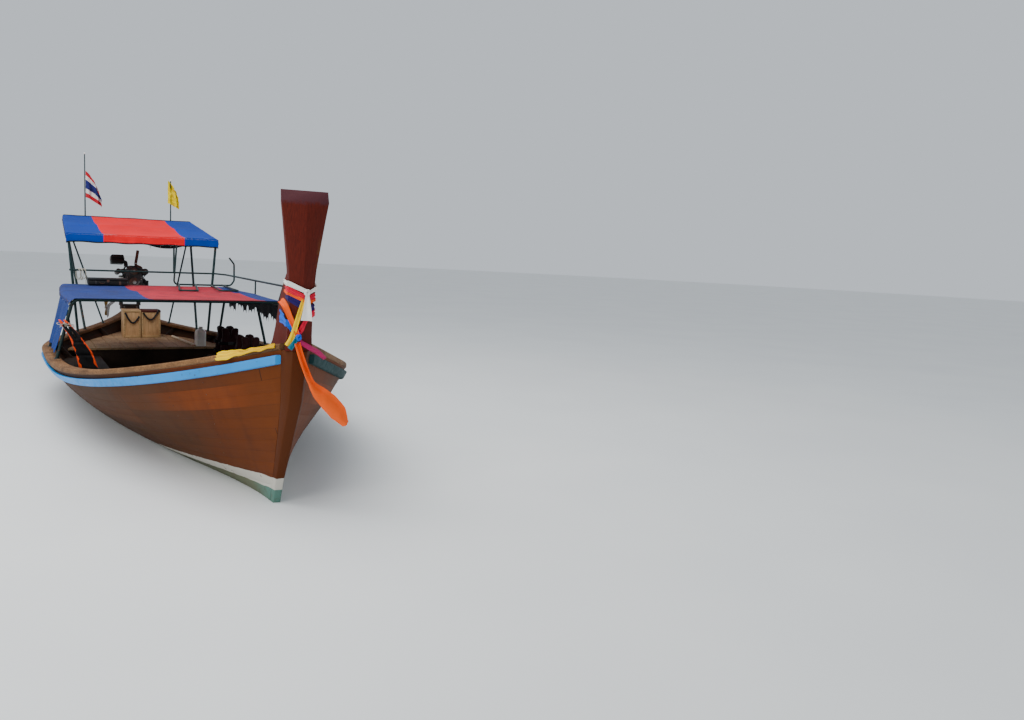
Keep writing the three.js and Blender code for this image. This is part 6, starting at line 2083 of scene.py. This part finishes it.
def build_cradle(sizes):
    parts = []
    for side in (-1, 1):
        y0, y1 = sorted((side * 0.092, side * 0.116))
        parts += [
            rounded_block("rail", (-0.17, y0, 0.022), (0.62, y1, 0.066), "steel", 0.004),
            rounded_block("axle_lug", (-0.03, y0, -0.022), (0.03, y1, 0.03), "steel", 0.006),
        ]
    for x in (-0.170, 0.580):
        parts.append(rounded_block("cross_bar", (x, -0.097, 0.022), (x + 0.04, 0.097, 0.042), "steel",
                                   0.003))
    parts.append(turned("axle", [(0, 0.0135), (0.01, 0.014), (0.99, 0.014), (1, 0.0135)], "bright",
                        (0, -0.17, 0), (0, 0.17, 0), 24))
    for side in (-1, 1):
        parts.append(turned("axle_nut", [(0, 0.0205), (0.9, 0.0205), (1, 0.018)], "bright",
                            (0, side * 0.1575, 0), (0, side * 0.1695, 0), 6))
    for x in (0.045, 0.545):
        for side in (-1, 1):
            parts += [
                turned("rubber_mount", [(0, 0.019), (0.2, 0.022), (0.5, 0.018), (0.8, 0.022), (1, 0.019)],
                       "rubber", (x, side * 0.104, 0.0665), (x, side * 0.104, 0.09), 20),
                turned("mount_stud", [(0, 0.006), (1, 0.006)], "bright", (x, side * 0.104, 0.088),
                       (x, side * 0.104, 0.112), 12),
            ]
    parts.append(bolted("rail_bolts", [(x, side * 0.104, 0.066) for x in (-0.14, 0.005, 0.25, 0.40, 0.60)
                                       for side in (-1, 1)], (0, 0, 1), 0.0075, 0.006))
    tipped("engine_cradle_welded", parts, ["engine_cradle"])


def ribbed_casting(low, high, finish, ribs, deep=0.006, radius=0.010):
    """A cast box with raised ribs across both its sides."""
    parts = [rounded_block("casting", low, high, finish, radius, 3)]
    for i in range(ribs):
        x = mix(low[0], high[0], (i + 0.5) / ribs)
        for y, way in ((low[1], -1), (high[1], 1)):
            y0, y1 = sorted((y - way * 0.004, y + way * deep))
            parts.append(rounded_block("rib", (x - 0.005, y0, low[2] + 0.02),
                                       (x + 0.005, y1, high[2] - 0.02), finish, 0.002, 1))
    return parts


def build_engine(sizes):
    """A four-cylinder car diesel: ribbed iron block, alloy head and cover, sump and bell housing."""
    parts = ribbed_casting((0.07, -0.116, 0.068), (0.59, 0.116, 0.326), "iron", 7)
    parts += [
        rounded_block("deck_face", (0.08, -0.124, 0.322), (0.58, 0.124, 0.332), "steel", 0.002, 1),
        rounded_block("head", (0.11, -0.088, 0.331), (0.55, 0.088, 0.392), "alloy", 0.008),
        rounded_block("cover_flange", (0.116, -0.076, 0.391), (0.544, 0.076, 0.398), "steel", 0.002, 1),
    ]
    parts.append(rounded_block("rocker_cover", (0.124, -0.066, 0.397), (0.536, 0.066, 0.438), "black_paint",
                               0.016, 4))
    for i in range(9):
        x = mix(0.155, 0.505, i / 8)
        parts.append(rounded_block("cover_rib", (x - 0.003, -0.045, 0.435), (x + 0.003, 0.045, 0.4425),
                                   "black_paint", 0.002))
    parts += [
        turned("oil_filler", [(0, 0.022), (0.6, 0.022), (0.62, 0.026), (1, 0.024)], "rubber",
               (0.48, -0.03, 0.425), (0.48, -0.03, 0.4445), 16),
        rounded_block("sump_flange", (0.09, -0.09, 0.06), (0.57, 0.09, 0.0695), "steel", 0.002, 1),
        rounded_block("sump", (0.15, -0.079, 0.025), (0.52, 0.079, 0.064), "steel", 0.018, 4),
        turned("bell_housing", [(0, 0.1), (0.04, 0.104), (0.1, 0.104), (0.14, 0.098), (0.55, 0.112),
                                (0.86, 0.12), (0.9, 0.128), (1, 0.128)], "alloy", (-0.07, 0, 0.195),
               (0.078, 0, 0.195), 40),
    ]
    for a in full_turn(10):
        y, z = 0.117 * math.cos(a), 0.195 + 0.117 * math.sin(a)
        parts.append(turned("bell_bolt", [(0, 0.0085), (0.9, 0.0085), (1, 0.007)], "bright", (0.052, y, z),
                            (0.063, y, z), 6))
    bolts = [(x, side * 0.07, 0.398) for x in (0.135, 0.225, 0.33, 0.435, 0.525) for side in (-1, 1)]
    parts.append(bolted("cover_bolts", bolts, (0, 0, 1), 0.006, 0.006))
    sump_bolts = [(mix(0.1, 0.56, i / 8), side * 0.084, 0.06) for i in range(9) for side in (-1, 1)]
    parts.append(bolted("sump_bolts", sump_bolts, (0, 0, -1), 0.005, 0.005))
    core = [(mix(0.13, 0.53, i / 3), side * 0.1165, 0.2) for i in range(4) for side in (-1, 1)]
    for x, y, z in core:
        way = 1 if y > 0 else -1
        parts.append(turned("core_plug", [(0, 0.021), (0.6, 0.021), (1, 0.016)], "bright",
                            (x, y - way * 0.003, z), (x, y + way * 0.0015, z), 20))
    tipped("engine_block_cast", parts, ["engine_block"])


def build_auxiliaries(sizes):
    """Pulleys and belt, dynamo, starter, injection pump with its pipes, filters and manifolds."""
    groove = [(0, 0.9), (0.12, 1), (0.3, 1), (0.5, 0.86), (0.7, 1), (0.88, 1), (1, 0.9)]

    def pulley(y, z, radius, x0=0.598, x1=0.622):
        hub = turned("pulley_hub", [(0, radius * 0.35), (1, radius * 0.35)], "bright", (x0 - 0.006, y, z),
                     (x1 + 0.008, y, z), 16)
        return [turned("pulley", [(t, r * radius) for t, r in groove], "steel", (x0, y, z), (x1, y, z), 32),
                hub]

    wheels = [(0.0, CRANK_HEIGHT - 0.03, 0.072), (0.0, 0.345, 0.052), (0.158, 0.35, 0.03)]
    parts = [p for y, z, r in wheels for p in pulley(y, z, r)]
    belt = belt_line(wheels, 0.61, 0.88)
    parts += [
        piped("fan_belt", [belt], 0.0055, "rubber", 0.002, 8),
        rounded_block("timing_cover", (0.586, -0.105, 0.085), (0.597, 0.105, 0.405), "alloy", 0.005),
    ]
    cover_bolts = [(0.597, y, z) for y in (-0.095, 0.095) for z in (0.1, 0.18, 0.26, 0.34, 0.39)]
    parts.append(bolted("timing_bolts", cover_bolts, (1, 0, 0), 0.005, 0.005))
    # Dynamo on its bracket
    parts += [
        turned("dynamo", [(0, 0.03), (0.04, 0.046), (0.16, 0.049), (0.2, 0.047), (0.8, 0.047),
                          (0.84, 0.049), (0.96, 0.046), (1, 0.03)], "alloy", (0.435, 0.158, 0.35),
               (0.585, 0.158, 0.35), 32),
        turned("dynamo_fan", [(0, 0.02), (0.1, 0.04), (1, 0.04)], "steel", (0.585, 0.158, 0.35),
               (0.592, 0.158, 0.35), 24),
        rounded_block("dynamo_arm", (0.52, 0.085, 0.372), (0.534, 0.15, 0.384), "steel", 0.003),
    ]
    # Injection pump with its delivery pipes
    parts += [
        rounded_block("pump_body", (0.25, 0.122, 0.17), (0.42, 0.172, 0.262), "alloy", 0.008),
        turned("pump_governor", [(0, 0.034), (0.1, 0.038), (0.7, 0.038), (1, 0.03)], "alloy",
               (0.252, 0.15, 0.212), (0.186, 0.15, 0.212), 28),
        turned("pump_drive", [(0, 0.026), (0.5, 0.03), (1, 0.034)], "iron", (0.42, 0.148, 0.212),
               (0.497, 0.148, 0.212), 24),
    ]
    lines = []
    for i in range(4):
        x, top = (0.272 + i * 0.04, mix(0.17, 0.49, i / 3))
        parts.append(turned("delivery_valve", [(0, 0.009), (0.6, 0.009), (0.62, 0.007), (1, 0.007)],
                            "bright", (x, 0.148, 0.26), (x, 0.148, 0.294), 6))
        lines.append([(x, 0.148, 0.292), (x, 0.148, 0.318 + 0.006 * i),
                      (mix(x, top, 0.5), 0.132, 0.345 + 0.004 * i), (top, 0.105, 0.405),
                      (top, 0.07, 0.416)])
        parts.append(turned("injector", [(0, 0.011), (0.5, 0.011), (0.55, 0.008), (1, 0.008)], "bright",
                            (top, 0.073, 0.388), (top, 0.066, 0.42), 12))
    parts += [
        piped("delivery_pipes", lines, 0.0032, "bright", 0.015, 8),
        turned("fuel_filter", [(0, 0.026), (0.06, 0.034), (0.75, 0.034), (0.78, 0.037), (1, 0.036)], "iron",
               (0.28, 0.206, 0.172), (0.28, 0.206, 0.249), 24),
    ]
    # Starter, oil filter and cooler to starboard
    parts += [
        turned("starter", [(0, 0.036), (0.08, 0.044), (0.8, 0.044), (0.84, 0.04), (1, 0.034)], "iron",
               (0.26, -0.168, 0.158), (0.122, -0.168, 0.158), 28),
        turned("solenoid", [(0, 0.02), (0.85, 0.02), (1, 0.014)], "bright", (0.235, -0.21, 0.192),
               (0.15, -0.21, 0.192), 20),
        turned("oil_filter", [(0, 0.03), (0.06, 0.038), (0.9, 0.038), (1, 0.034)], "sash_white",
               (0.36, -0.15, 0.186), (0.36, -0.15, 0.285), 28),
        rounded_block("filter_seat", (0.31, -0.186, 0.284), (0.42, -0.115, 0.305), "alloy", 0.006),
    ]
    # Intake manifold to starboard, exhaust manifold to port
    parts.append(turned("intake_log", [(0, 0.03), (0.05, 0.036), (0.95, 0.036), (1, 0.03)], "alloy",
                        (0.305, -0.205, 0.358), (0.538, -0.205, 0.358), 24))
    runners = [[(x, -0.198, 0.358), (x, -0.14, 0.372), (x, -0.082, 0.366)]
               for x in (0.325, 0.39, 0.455, 0.52)]
    parts.append(piped("intake_runners", runners, 0.021, "alloy", 0.02, 16))
    stubs = [[(x, 0.084, 0.362), (x, 0.116, 0.372), (x + 0.012, 0.136, 0.386)]
             for x in (0.15, 0.225, 0.3, 0.37)]
    parts += [
        piped("exhaust_stubs", stubs, 0.0165, "rusty", 0.02, 14),
        turned("exhaust_log", [(0, 0.02), (0.05, 0.025), (0.95, 0.025), (1, 0.02)], "rusty",
               (0.135, 0.138, 0.386), (0.4, 0.138, 0.386), 20),
        piped("exhaust_riser", [[(0.33, 0.138, 0.392), (0.33, 0.132, 0.44), (0.33, 0.062, 0.468)]], 0.021,
              "rusty", 0.022, 16),
    ]
    top_hose = [(0.545, -0.02, 0.366), (0.585, -0.03, 0.405), (0.57, -0.11, 0.425), (0.5, -0.15, 0.35),
                (0.46, -0.135, 0.3)]
    side_hose = [(0.24, 0.205, 0.246), (0.2, 0.19, 0.285), (0.1, 0.15, 0.3), (0.05, 0.122, 0.24)]
    parts.append(piped("coolant_hoses", [top_hose, side_hose], 0.0115, "rubber", 0.03, 12))
    tipped("engine_auxiliaries", parts)


def belt_line(wheels, x, share):
    """The outer run of a belt round its pulleys, closed, as the hull of their grooves."""
    cloud = []
    for y, z, radius in wheels:
        for a in full_turn(36):
            cloud.append((y + radius * share * math.cos(a), z + radius * share * math.sin(a)))
    cloud.sort()

    def half(points):
        chain = []
        for p in points:
            while len(chain) > 1 and ((chain[-1][0] - chain[-2][0]) * (p[1] - chain[-2][1])
                                      - (chain[-1][1] - chain[-2][1]) * (p[0] - chain[-2][0])) <= 0:
                chain.pop()
            chain.append(p)
        return chain

    ring = half(cloud)[:-1] + half(cloud[::-1])[:-1]
    return [(x, y, z) for y, z in ring + ring[:1]]


def build_air_cleaner(sizes):
    parts = [
        rounded_block("filter_tray", (0.272, -0.293, 0.482), (0.448, -0.112, 0.552), "black_paint", 0.016, 4),
        rounded_block("filter_rim", (0.27, -0.295, 0.549), (0.45, -0.11, 0.559), "black_paint", 0.004),
        rounded_block("filter_lid", (0.274, -0.291, 0.557), (0.446, -0.114, 0.612), "black_paint", 0.018, 4),
    ]
    for i in range(6):
        x = mix(0.3, 0.42, i / 5)
        parts.append(rounded_block("lid_rib", (x - 0.004, -0.275, 0.609), (x + 0.004, -0.13, 0.6149),
                                   "black_paint", 0.002))
    for x, y, way in ((0.320, -0.295, -1), (0.400, -0.295, -1), (0.320, -0.110, 1), (0.400, -0.110, 1)):
        y0, y1 = sorted((y, y + way * 0.004))
        parts.append(rounded_block("clip", (x - 0.007, y0 - 0.002, 0.535), (x + 0.007, y1 + 0.002, 0.578),
                                   "bright", 0.002))
    parts += [
        turned("snorkel", [(0, 0.026), (0.5, 0.03), (0.9, 0.03), (1, 0.024)], "black_paint",
               (0.302, -0.2, 0.54), (0.258, -0.2, 0.54), 24),
        piped("intake_duct", [[(0.365, -0.118, 0.515), (0.365, -0.082, 0.512), (0.365, -0.084, 0.447)]],
              0.027, "rubber", 0.022, 20),
    ]
    for z in (0.458, 0.468, 0.478):
        parts.append(turned("duct_fold", [(0, 0.027), (0.5, 0.031), (1, 0.027)], "rubber",
                            (0.365, -0.084, z), (0.365, -0.084, z + 0.008), 24))
    tipped("air_cleaner_housing", parts, ["air_cleaner"])


def build_exhaust(sizes):
    points = [(0.33, 0.06, 0.4456), (0.33, 0.06, 0.48), (0.33, 0.06, 0.512), (0.323, 0.072, 0.575),
              (0.31, 0.095, 0.7)]
    stack = hollow_pipe("stack", points, 0.0215, 0.003, "rusty")
    parts = [
        stack,
        turned("stack_flange", [(0, 0.036), (0.2, 0.038), (0.8, 0.038), (1, 0.036)], "rusty",
               (0.33, 0.06, 0.4456), (0.33, 0.06, 0.456), 24),
        turned("clamp", [(0, 0.0235), (0.5, 0.0245), (1, 0.0235)], "bright", (0.33, 0.06, 0.494),
               (0.33, 0.06, 0.508), 24),
        bolted("flange_bolts", [(0.33 + x, 0.06 + y, 0.456) for x in (-0.02, 0.02) for y in (-0.02, 0.02)],
               (0, 0, 1), 0.006, 0.006),
    ]
    tipped("exhaust_stack_rusted", parts, ["exhaust_stack"])


def build_tiller(sizes):
    parts = [rounded_block("tiller_flange", (0.6205, -0.06, 0.021), (0.632, 0.06, 0.07), "steel", 0.003)]
    path = [(0.628, 0, 0.045), (0.9, 0, 0.1), (1.325, 0, 0.12)]
    parts += [
        piped("tiller_pipe", [path], 0.016, "steel", 0.12, 20),
        turned("weld_bead", [(0, 0.02), (0.5, 0.0215), (1, 0.017)], "steel", (0.631, 0, 0.0456),
               (0.643, 0, 0.048), 20),
    ]
    grip0, grip1 = Vector((1.185, 0, 0.1135)), Vector((1.330, 0, 0.1202))
    rings = [(0, 0.0165)] + [(mix(0.03, 0.95, i / 22), 0.0192 if i % 2 else 0.0176) for i in range(23)] + [
        (0.97, 0.020), (1, 0.016)]
    parts += [
        turned("grip", rings, "rubber", grip0, grip1, 24),
        piped("throttle_lever", [[(1.15, 0.014, 0.128), (1.15, 0.02, 0.15), (1.215, 0.02, 0.157)]], 0.0045,
              "bright", 0.012, 10),
        turned("lever_clamp", [(0, 0.0165), (0.15, 0.0195), (0.85, 0.0195), (1, 0.0165)], "steel",
               (1.138, 0, 0.1112), (1.162, 0, 0.1124), 20),
    ]
    cable = [(1.15, -0.008, 0.131), (1.08, -0.012, 0.1305), (0.94, -0.012, 0.1225), (0.78, -0.012, 0.097),
             (0.645, -0.016, 0.07), (0.615, -0.04, 0.075)]
    parts.append(piped("throttle_cable", [cable], 0.0032, "rubber", 0.03, 8))
    bands = []
    for x in (0.72, 0.86, 1.0, 1.1):
        z = mix(0.045, 0.1, (x - 0.628) / 0.272) if x < 0.9 else mix(0.1, 0.12, (x - 0.9) / 0.425)
        ring = [(x, 0.0205 * math.cos(a) - 0.002, z + 0.02 * math.sin(a))
                for a in full_turn(20, closed=True)]
        bands.append(ring)
    parts += [
        piped("cable_ties", bands, 0.0018, "rubber", 0.004, 6),
        bolted("tiller_bolts", [(0.632, y, z) for y in (-0.045, 0.045) for z in (0.034, 0.058)], (1, 0, 0),
               0.007, 0.006),
    ]
    tipped("tiller_arm", parts, ["tiller"])


def build_tail(sizes):
    """The long tube that carries the shaft, with its neck, bearing boss, grease nipples and fin."""
    z = SHAFT_HEIGHT
    parts = [
        turned("tube", [(0, 0.036), (0.5, 0.03), (1, 0.0242)], "steel", (-0.9, 0, z), (-3.5, 0, z), 32),
        turned("neck", [(0, 0.06), (0.02, 0.06), (1, 0.0362)], "steel", (-0.09, 0, z), (-0.902, 0, z), 32),
        turned("neck_flange", [(0, 0.058), (0.1, 0.06), (0.9, 0.06), (1, 0.058)], "steel",
               (-0.0705, 0, z), (-0.092, 0, z), 32),
    ]
    for place, size in ((-0.902, 0.0385), (-2.050, 0.0332), (-2.058, 0.0336), (-3.375, 0.0268)):
        parts.append(turned("weld", [(0, size - 0.003), (0.5, size), (1, size - 0.003)], "steel",
                            (place - 0.006, 0, z), (place + 0.006, 0, z), 24))
    boss = [(-3.38, 0.03), (-3.384, 0.034), (-3.496, 0.034), (-3.5, 0.031), (-3.5, 0.0162), (-3.47, 0.016)]
    rings = [[(x, radius * math.cos(a), z + radius * math.sin(a)) for a in full_turn(28)]
             for x, radius in boss]
    bearing = lofted("bearing_boss", rings, "bronze")
    bearing.data.set_sharp_from_angle(angle=math.radians(35))
    parts.append(bearing)
    for x, top in ((-0.45, 0.050), (-2.0, 0.0305), (-3.44, 0.034)):
        parts.append(turned("grease_nipple", [(0, 0.006), (0.5, 0.006), (0.55, 0.0035), (1, 0.0035)],
                            "bright", (x, 0, z + top - 0.002), (x, 0, z + top + 0.012), 10))
    outline = [(0.06, -0.015), (0.64, -0.015), (0.33, -0.19), (0.13, -0.21)]
    curve = fin_outline([(-3.5 + x, z + down) for x, down in outline])
    points = [(x, y, h) for y in (-0.0035, 0.0035) for x, h in curve]
    parts.append(facing_out(mesh_piece("fin", points, plate_faces(len(curve)), "steel", smooth=False)))
    parts.append(rounded_block("fin_weld", (-3.44, -0.007, z - 0.034), (-2.862, 0.007, z - 0.02), "steel",
                               0.005))
    nuts = []
    for i in range(6):
        a = 2 * math.pi * (i + 0.5) / 6
        nuts.append((-0.0925, 0.05 * math.cos(a), z + 0.05 * math.sin(a)))
    parts.append(bolted("neck_bolts", nuts, (-1, 0, 0), 0.0065, 0.006))
    tipped("tail_tube_welded", parts, ["tail_tube"])


def fin_outline(corners, radius=0.025, steps=5):
    """Corners of a plate, each rounded."""
    ring = []
    count = len(corners)
    for i, corner in enumerate(corners):
        here = Vector((*corner, 0))
        before = (Vector((*corners[i - 1], 0)) - here).normalized()
        after = (Vector((*corners[(i + 1) % count], 0)) - here).normalized()
        a, b = here + before * radius, here + after * radius
        for k in range(steps + 1):
            t = k / steps
            p = a * (1 - t) ** 2 + here * 2 * t * (1 - t) + b * t * t
            ring.append((p.x, p.y))
    return ring


PROPELLER_X, PROPELLER_RADIUS, BLADE_CHORD, PITCH = -3.560, 0.150, 0.074, 0.5


def blade(turn):
    """One blade: a curved aerofoil section from root to tip, twisted about its span."""
    rings = []
    for step in range(15):
        share = mix(0.12, 1.0, step / 14)
        r = share * PROPELLER_RADIUS
        width = BLADE_CHORD * (0.52 + 0.62 * math.sin(math.pi * min(1, share * 0.62 + 0.12)))
        if share > 0.8:
            width *= math.sqrt(max(0.03, 1 - ((share - 0.8) / 0.2) ** 2 * 0.93))
        width = min(width, BLADE_CHORD)
        angle = math.atan2(PITCH, max(share, 0.25))
        thick = mix(0.0068, 0.0022, share)
        ring = []
        for a in full_turn(20):
            along_chord = math.cos(a) * width / 2
            through = math.sin(a) * thick / 2 + 0.004 * (1 - (2 * along_chord / BLADE_CHORD) ** 2) * share
            x = math.sin(angle) * along_chord + math.cos(angle) * through
            y = math.cos(angle) * along_chord - math.sin(angle) * through
            ring.append((x, y, r))
        rings.append(ring)
    piece = lofted("blade", rings, "bronze")
    piece.data.transform(Matrix.Rotation(turn, 4, "X"))
    return piece


def build_propeller(sizes):
    parts = [turned("hub", [(0, 0.02), (0.06, 0.025), (0.2, 0.0268), (0.85, 0.0268), (1, 0.024)], "bronze",
                    (-0.035, 0, 0), (0.035, 0, 0), 32),
             turned("shaft_end", [(0, 0.0146), (1, 0.0146)], "bright", (0.034, 0, 0), (0.118, 0, 0), 24),
             turned("hub_nut", [(0, 0.012), (0.5, 0.015), (1, 0.015)], "bright", (-0.0349, 0, 0),
                    (-0.026, 0, 0), 6)]
    parts += [blade(0), blade(math.pi)]
    piece = joined("bronze_propeller", parts)
    piece.data.transform(UNIT @ Matrix.Translation((PROPELLER_X, 0, SHAFT_HEIGHT)))
    settle(piece, "propeller_body", ["propeller"], 40)


# Stage and camera

def make_camera():
    forward = Vector(CAMERA_FORWARD).normalized()
    right = Vector(CAMERA_RIGHT)
    right = (right - forward * right.dot(forward)).normalized()
    up = right.cross(forward)
    lens = bpy.data.cameras.new("photo_camera")
    lens.sensor_width = SENSOR_WIDTH
    lens.lens = FOCAL_PIXELS / IMAGE_WIDTH * SENSOR_WIDTH
    lens.clip_end = 200
    camera = bpy.data.objects.new("photo_camera", lens)
    turn = Matrix((right, up, -forward)).transposed().to_4x4()
    camera.matrix_world = Matrix.Translation(CAMERA_PLACE) @ turn
    bpy.context.scene.collection.objects.link(camera)
    bpy.context.scene.camera = camera


def waterline_side(side, count=90):
    """One side of the hull's waterline, bow to stern, in the middle of the planks' thickness."""
    points = []
    for i in range(count):
        s = i / (count - 1)
        low, high = ROW_FOOT, ROW_STRAKE_FOOT
        for _ in range(24):
            row = (low + high) / 2
            if hull_point(s, row, side, PLANK / 2).z < 0:
                low = row
            else:
                high = row
        points.append(hull_point(s, row, side, PLANK / 2))
    return points


def make_floor():
    """A round floor at the waterline with a hole where the hull is, so that the bilge stays open."""
    reach = 70
    starboard, port = waterline_side(-1), waterline_side(1)
    inner = starboard + port[::-1]
    turns = [math.pi * i / (len(starboard) - 1) for i in range(len(starboard))]
    outer = [(reach * math.cos(a), -reach * math.sin(a)) for a in turns]
    outer += [(x, -y) for x, y in outer[::-1]]
    points = [(p.x, p.y, 0) for p in inner] + [(x, y, 0) for x, y in outer]
    floor = mesh_piece("waterline_floor", points, edge_faces(len(inner)), "floor", smooth=False)
    for face in floor.data.polygons:
        if face.normal.z < 0:
            face.flip()


def soft_light(name, place, aim, size, power, colour):
    lamp = bpy.data.lights.new(name, "AREA")
    lamp.shape = "RECTANGLE"
    lamp.size, lamp.size_y = size
    lamp.energy = power
    lamp.color = colour
    item = bpy.data.objects.new(name, lamp)
    item.location = place
    way = Vector(aim) - Vector(place)
    item.rotation_euler = way.to_track_quat("-Z", "Y").to_euler()
    bpy.context.scene.collection.objects.link(item)


def make_lights():
    world = bpy.data.worlds.new("soft_sky")
    world.use_nodes = True
    back = world.node_tree.nodes["Background"]
    back.inputs["Color"].default_value = (0.8, 0.86, 0.93, 1)
    back.inputs["Strength"].default_value = 0.8
    bpy.context.scene.world = world
    soft_light("sky_panel", (2.0, -3.0, 9.0), (0.0, 0.0, 0.5), (10, 8), 1000, (1.0, 0.99, 0.97))
    soft_light("bow_panel", (9.0, -8.0, 5.0), (1.0, 0.0, 0.6), (5, 4), 380, (1.0, 0.97, 0.93))


# Operators, one for each piece or group of like pieces

class BuildStep:
    """What every operator here shares: it builds its pieces with the sizes of the scene"""
    bl_options = {"REGISTER", "UNDO"}
    makers = ()

    def execute(self, context):
        for maker in self.makers:
            maker(context.scene.longtail_sizes)
        return {"FINISHED"}


class LONGTAIL_OT_planking(BuildStep, bpy.types.Operator):
    """Planks of both sides, with their caulked seams and nail heads"""
    bl_idname = "longtail.planking"
    bl_label = "Planking"
    makers = (build_planking, build_fastenings)


class LONGTAIL_OT_rails(BuildStep, bpy.types.Operator):
    """Cap rails and painted rub strakes"""
    bl_idname = "longtail.rails"
    bl_label = "Rails and strakes"
    makers = (build_rails,)


class LONGTAIL_OT_backbone(BuildStep, bpy.types.Operator):
    """Keel, stem, stern post and prow board"""
    bl_idname = "longtail.backbone"
    bl_label = "Backbone and prow"
    makers = (build_backbone,)


class LONGTAIL_OT_inside(BuildStep, bpy.types.Operator):
    """Frames, floor boards, decks, thwarts and benches"""
    bl_idname = "longtail.inside"
    bl_label = "Inside timbers"
    makers = (build_inside,)


class LONGTAIL_OT_stores(BuildStep, bpy.types.Operator):
    """Plywood battery boxes with their hoses, and the fuel jug"""
    bl_idname = "longtail.stores"
    bl_label = "Boxes and jug"
    makers = (build_boxes, build_fuel_can, build_deck_stick)


class LONGTAIL_OT_jackets(BuildStep, bpy.types.Operator):
    """Maroon and orange life jackets"""
    bl_idname = "longtail.jackets"
    bl_label = "Life jackets"
    makers = (build_maroon_jackets, build_orange_jacket)


class LONGTAIL_OT_pipework(BuildStep, bpy.types.Operator):
    """Pipe frames of both canopies, with the roof rail and all posts"""
    bl_idname = "longtail.pipework"
    bl_label = "Pipe frames"
    makers = (build_lower_frame, build_upper_frame)


class LONGTAIL_OT_lower_canopy(BuildStep, bpy.types.Operator):
    """Lower canopy with its binding, the starboard curtain and the port valance"""
    bl_idname = "longtail.lower_canopy"
    bl_label = "Lower canopy"
    makers = (build_lower_canopy, build_curtain, build_valance)


class LONGTAIL_OT_upper_canopy(BuildStep, bpy.types.Operator):
    """Upper canopy with its front valance and rolled flap"""
    bl_idname = "longtail.upper_canopy"
    bl_label = "Upper canopy"
    makers = (build_upper_canopy,)


class LONGTAIL_OT_roof_fittings(BuildStep, bpy.types.Operator):
    """Boarding ladder, tin chest and flag poles"""
    bl_idname = "longtail.roof_fittings"
    bl_label = "Roof fittings"
    makers = (build_ladder, build_locker, build_poles, build_hung_rope)


class LONGTAIL_OT_flags(BuildStep, bpy.types.Operator):
    """Striped and yellow flags"""
    bl_idname = "longtail.flags"
    bl_label = "Flags"
    makers = (build_flags,)


class LONGTAIL_OT_garland(BuildStep, bpy.types.Operator):
    """Cloth bands, ribbons and sashes of the prow"""
    bl_idname = "longtail.garland"
    bl_label = "Prow cloths"
    makers = (build_garland, build_orange_sash, build_yellow_sash)


class LONGTAIL_OT_mounting(BuildStep, bpy.types.Operator):
    """Engine bed, swivel yoke and engine cradle"""
    bl_idname = "longtail.mounting"
    bl_label = "Engine mounting"
    makers = (build_engine_bed, build_yoke, build_cradle)


class LONGTAIL_OT_engine(BuildStep, bpy.types.Operator):
    """Engine with its auxiliaries, air cleaner and exhaust"""
    bl_idname = "longtail.engine"
    bl_label = "Engine"
    makers = (build_engine, build_auxiliaries, build_air_cleaner, build_exhaust)


class LONGTAIL_OT_tail(BuildStep, bpy.types.Operator):
    """Tiller, tail tube and propeller"""
    bl_idname = "longtail.tail"
    bl_label = "Tiller, tail and propeller"
    makers = (build_tiller, build_tail, build_propeller)


class LONGTAIL_OT_stage(bpy.types.Operator):
    """Camera, pale floor at the waterline and soft light"""
    bl_idname = "longtail.stage"
    bl_label = "Stage"

    def execute(self, context):
        make_camera()
        make_floor()
        make_lights()
        return {"FINISHED"}


STEPS = [LONGTAIL_OT_stage, LONGTAIL_OT_planking, LONGTAIL_OT_rails, LONGTAIL_OT_backbone, LONGTAIL_OT_inside,
         LONGTAIL_OT_stores, LONGTAIL_OT_jackets, LONGTAIL_OT_pipework, LONGTAIL_OT_lower_canopy,
         LONGTAIL_OT_upper_canopy, LONGTAIL_OT_roof_fittings, LONGTAIL_OT_flags, LONGTAIL_OT_garland,
         LONGTAIL_OT_mounting, LONGTAIL_OT_engine, LONGTAIL_OT_tail]


class LONGTAIL_PT_steps(bpy.types.Panel):
    """Lists the colours, the sizes and the steps"""
    bl_idname = "LONGTAIL_PT_steps"
    bl_label = "Longtail boat"
    bl_space_type = "VIEW_3D"
    bl_region_type = "UI"
    bl_category = "Longtail boat"

    def draw(self, context):
        for group in (context.scene.longtail_sizes, context.scene.longtail_colours):
            column = self.layout.column(align=True)
            for key in group.__annotations__:
                column.prop(group, key)
        column = self.layout.column(align=True)
        for step in STEPS:
            column.operator(step.bl_idname)


def register():
    for item in [LongtailColours, LongtailSizes, *STEPS, LONGTAIL_PT_steps]:
        bpy.utils.register_class(item)
    bpy.types.Scene.longtail_colours = bpy.props.PointerProperty(type=LongtailColours)
    bpy.types.Scene.longtail_sizes = bpy.props.PointerProperty(type=LongtailSizes)


def unregister():
    del bpy.types.Scene.longtail_sizes
    del bpy.types.Scene.longtail_colours
    for item in reversed([LongtailColours, LongtailSizes, *STEPS, LONGTAIL_PT_steps]):
        bpy.utils.unregister_class(item)


def main():
    register()
    for step in STEPS:
        group, name = step.bl_idname.split(".")
        getattr(getattr(bpy.ops, group), name)()


if __name__ == "__main__":
    main()
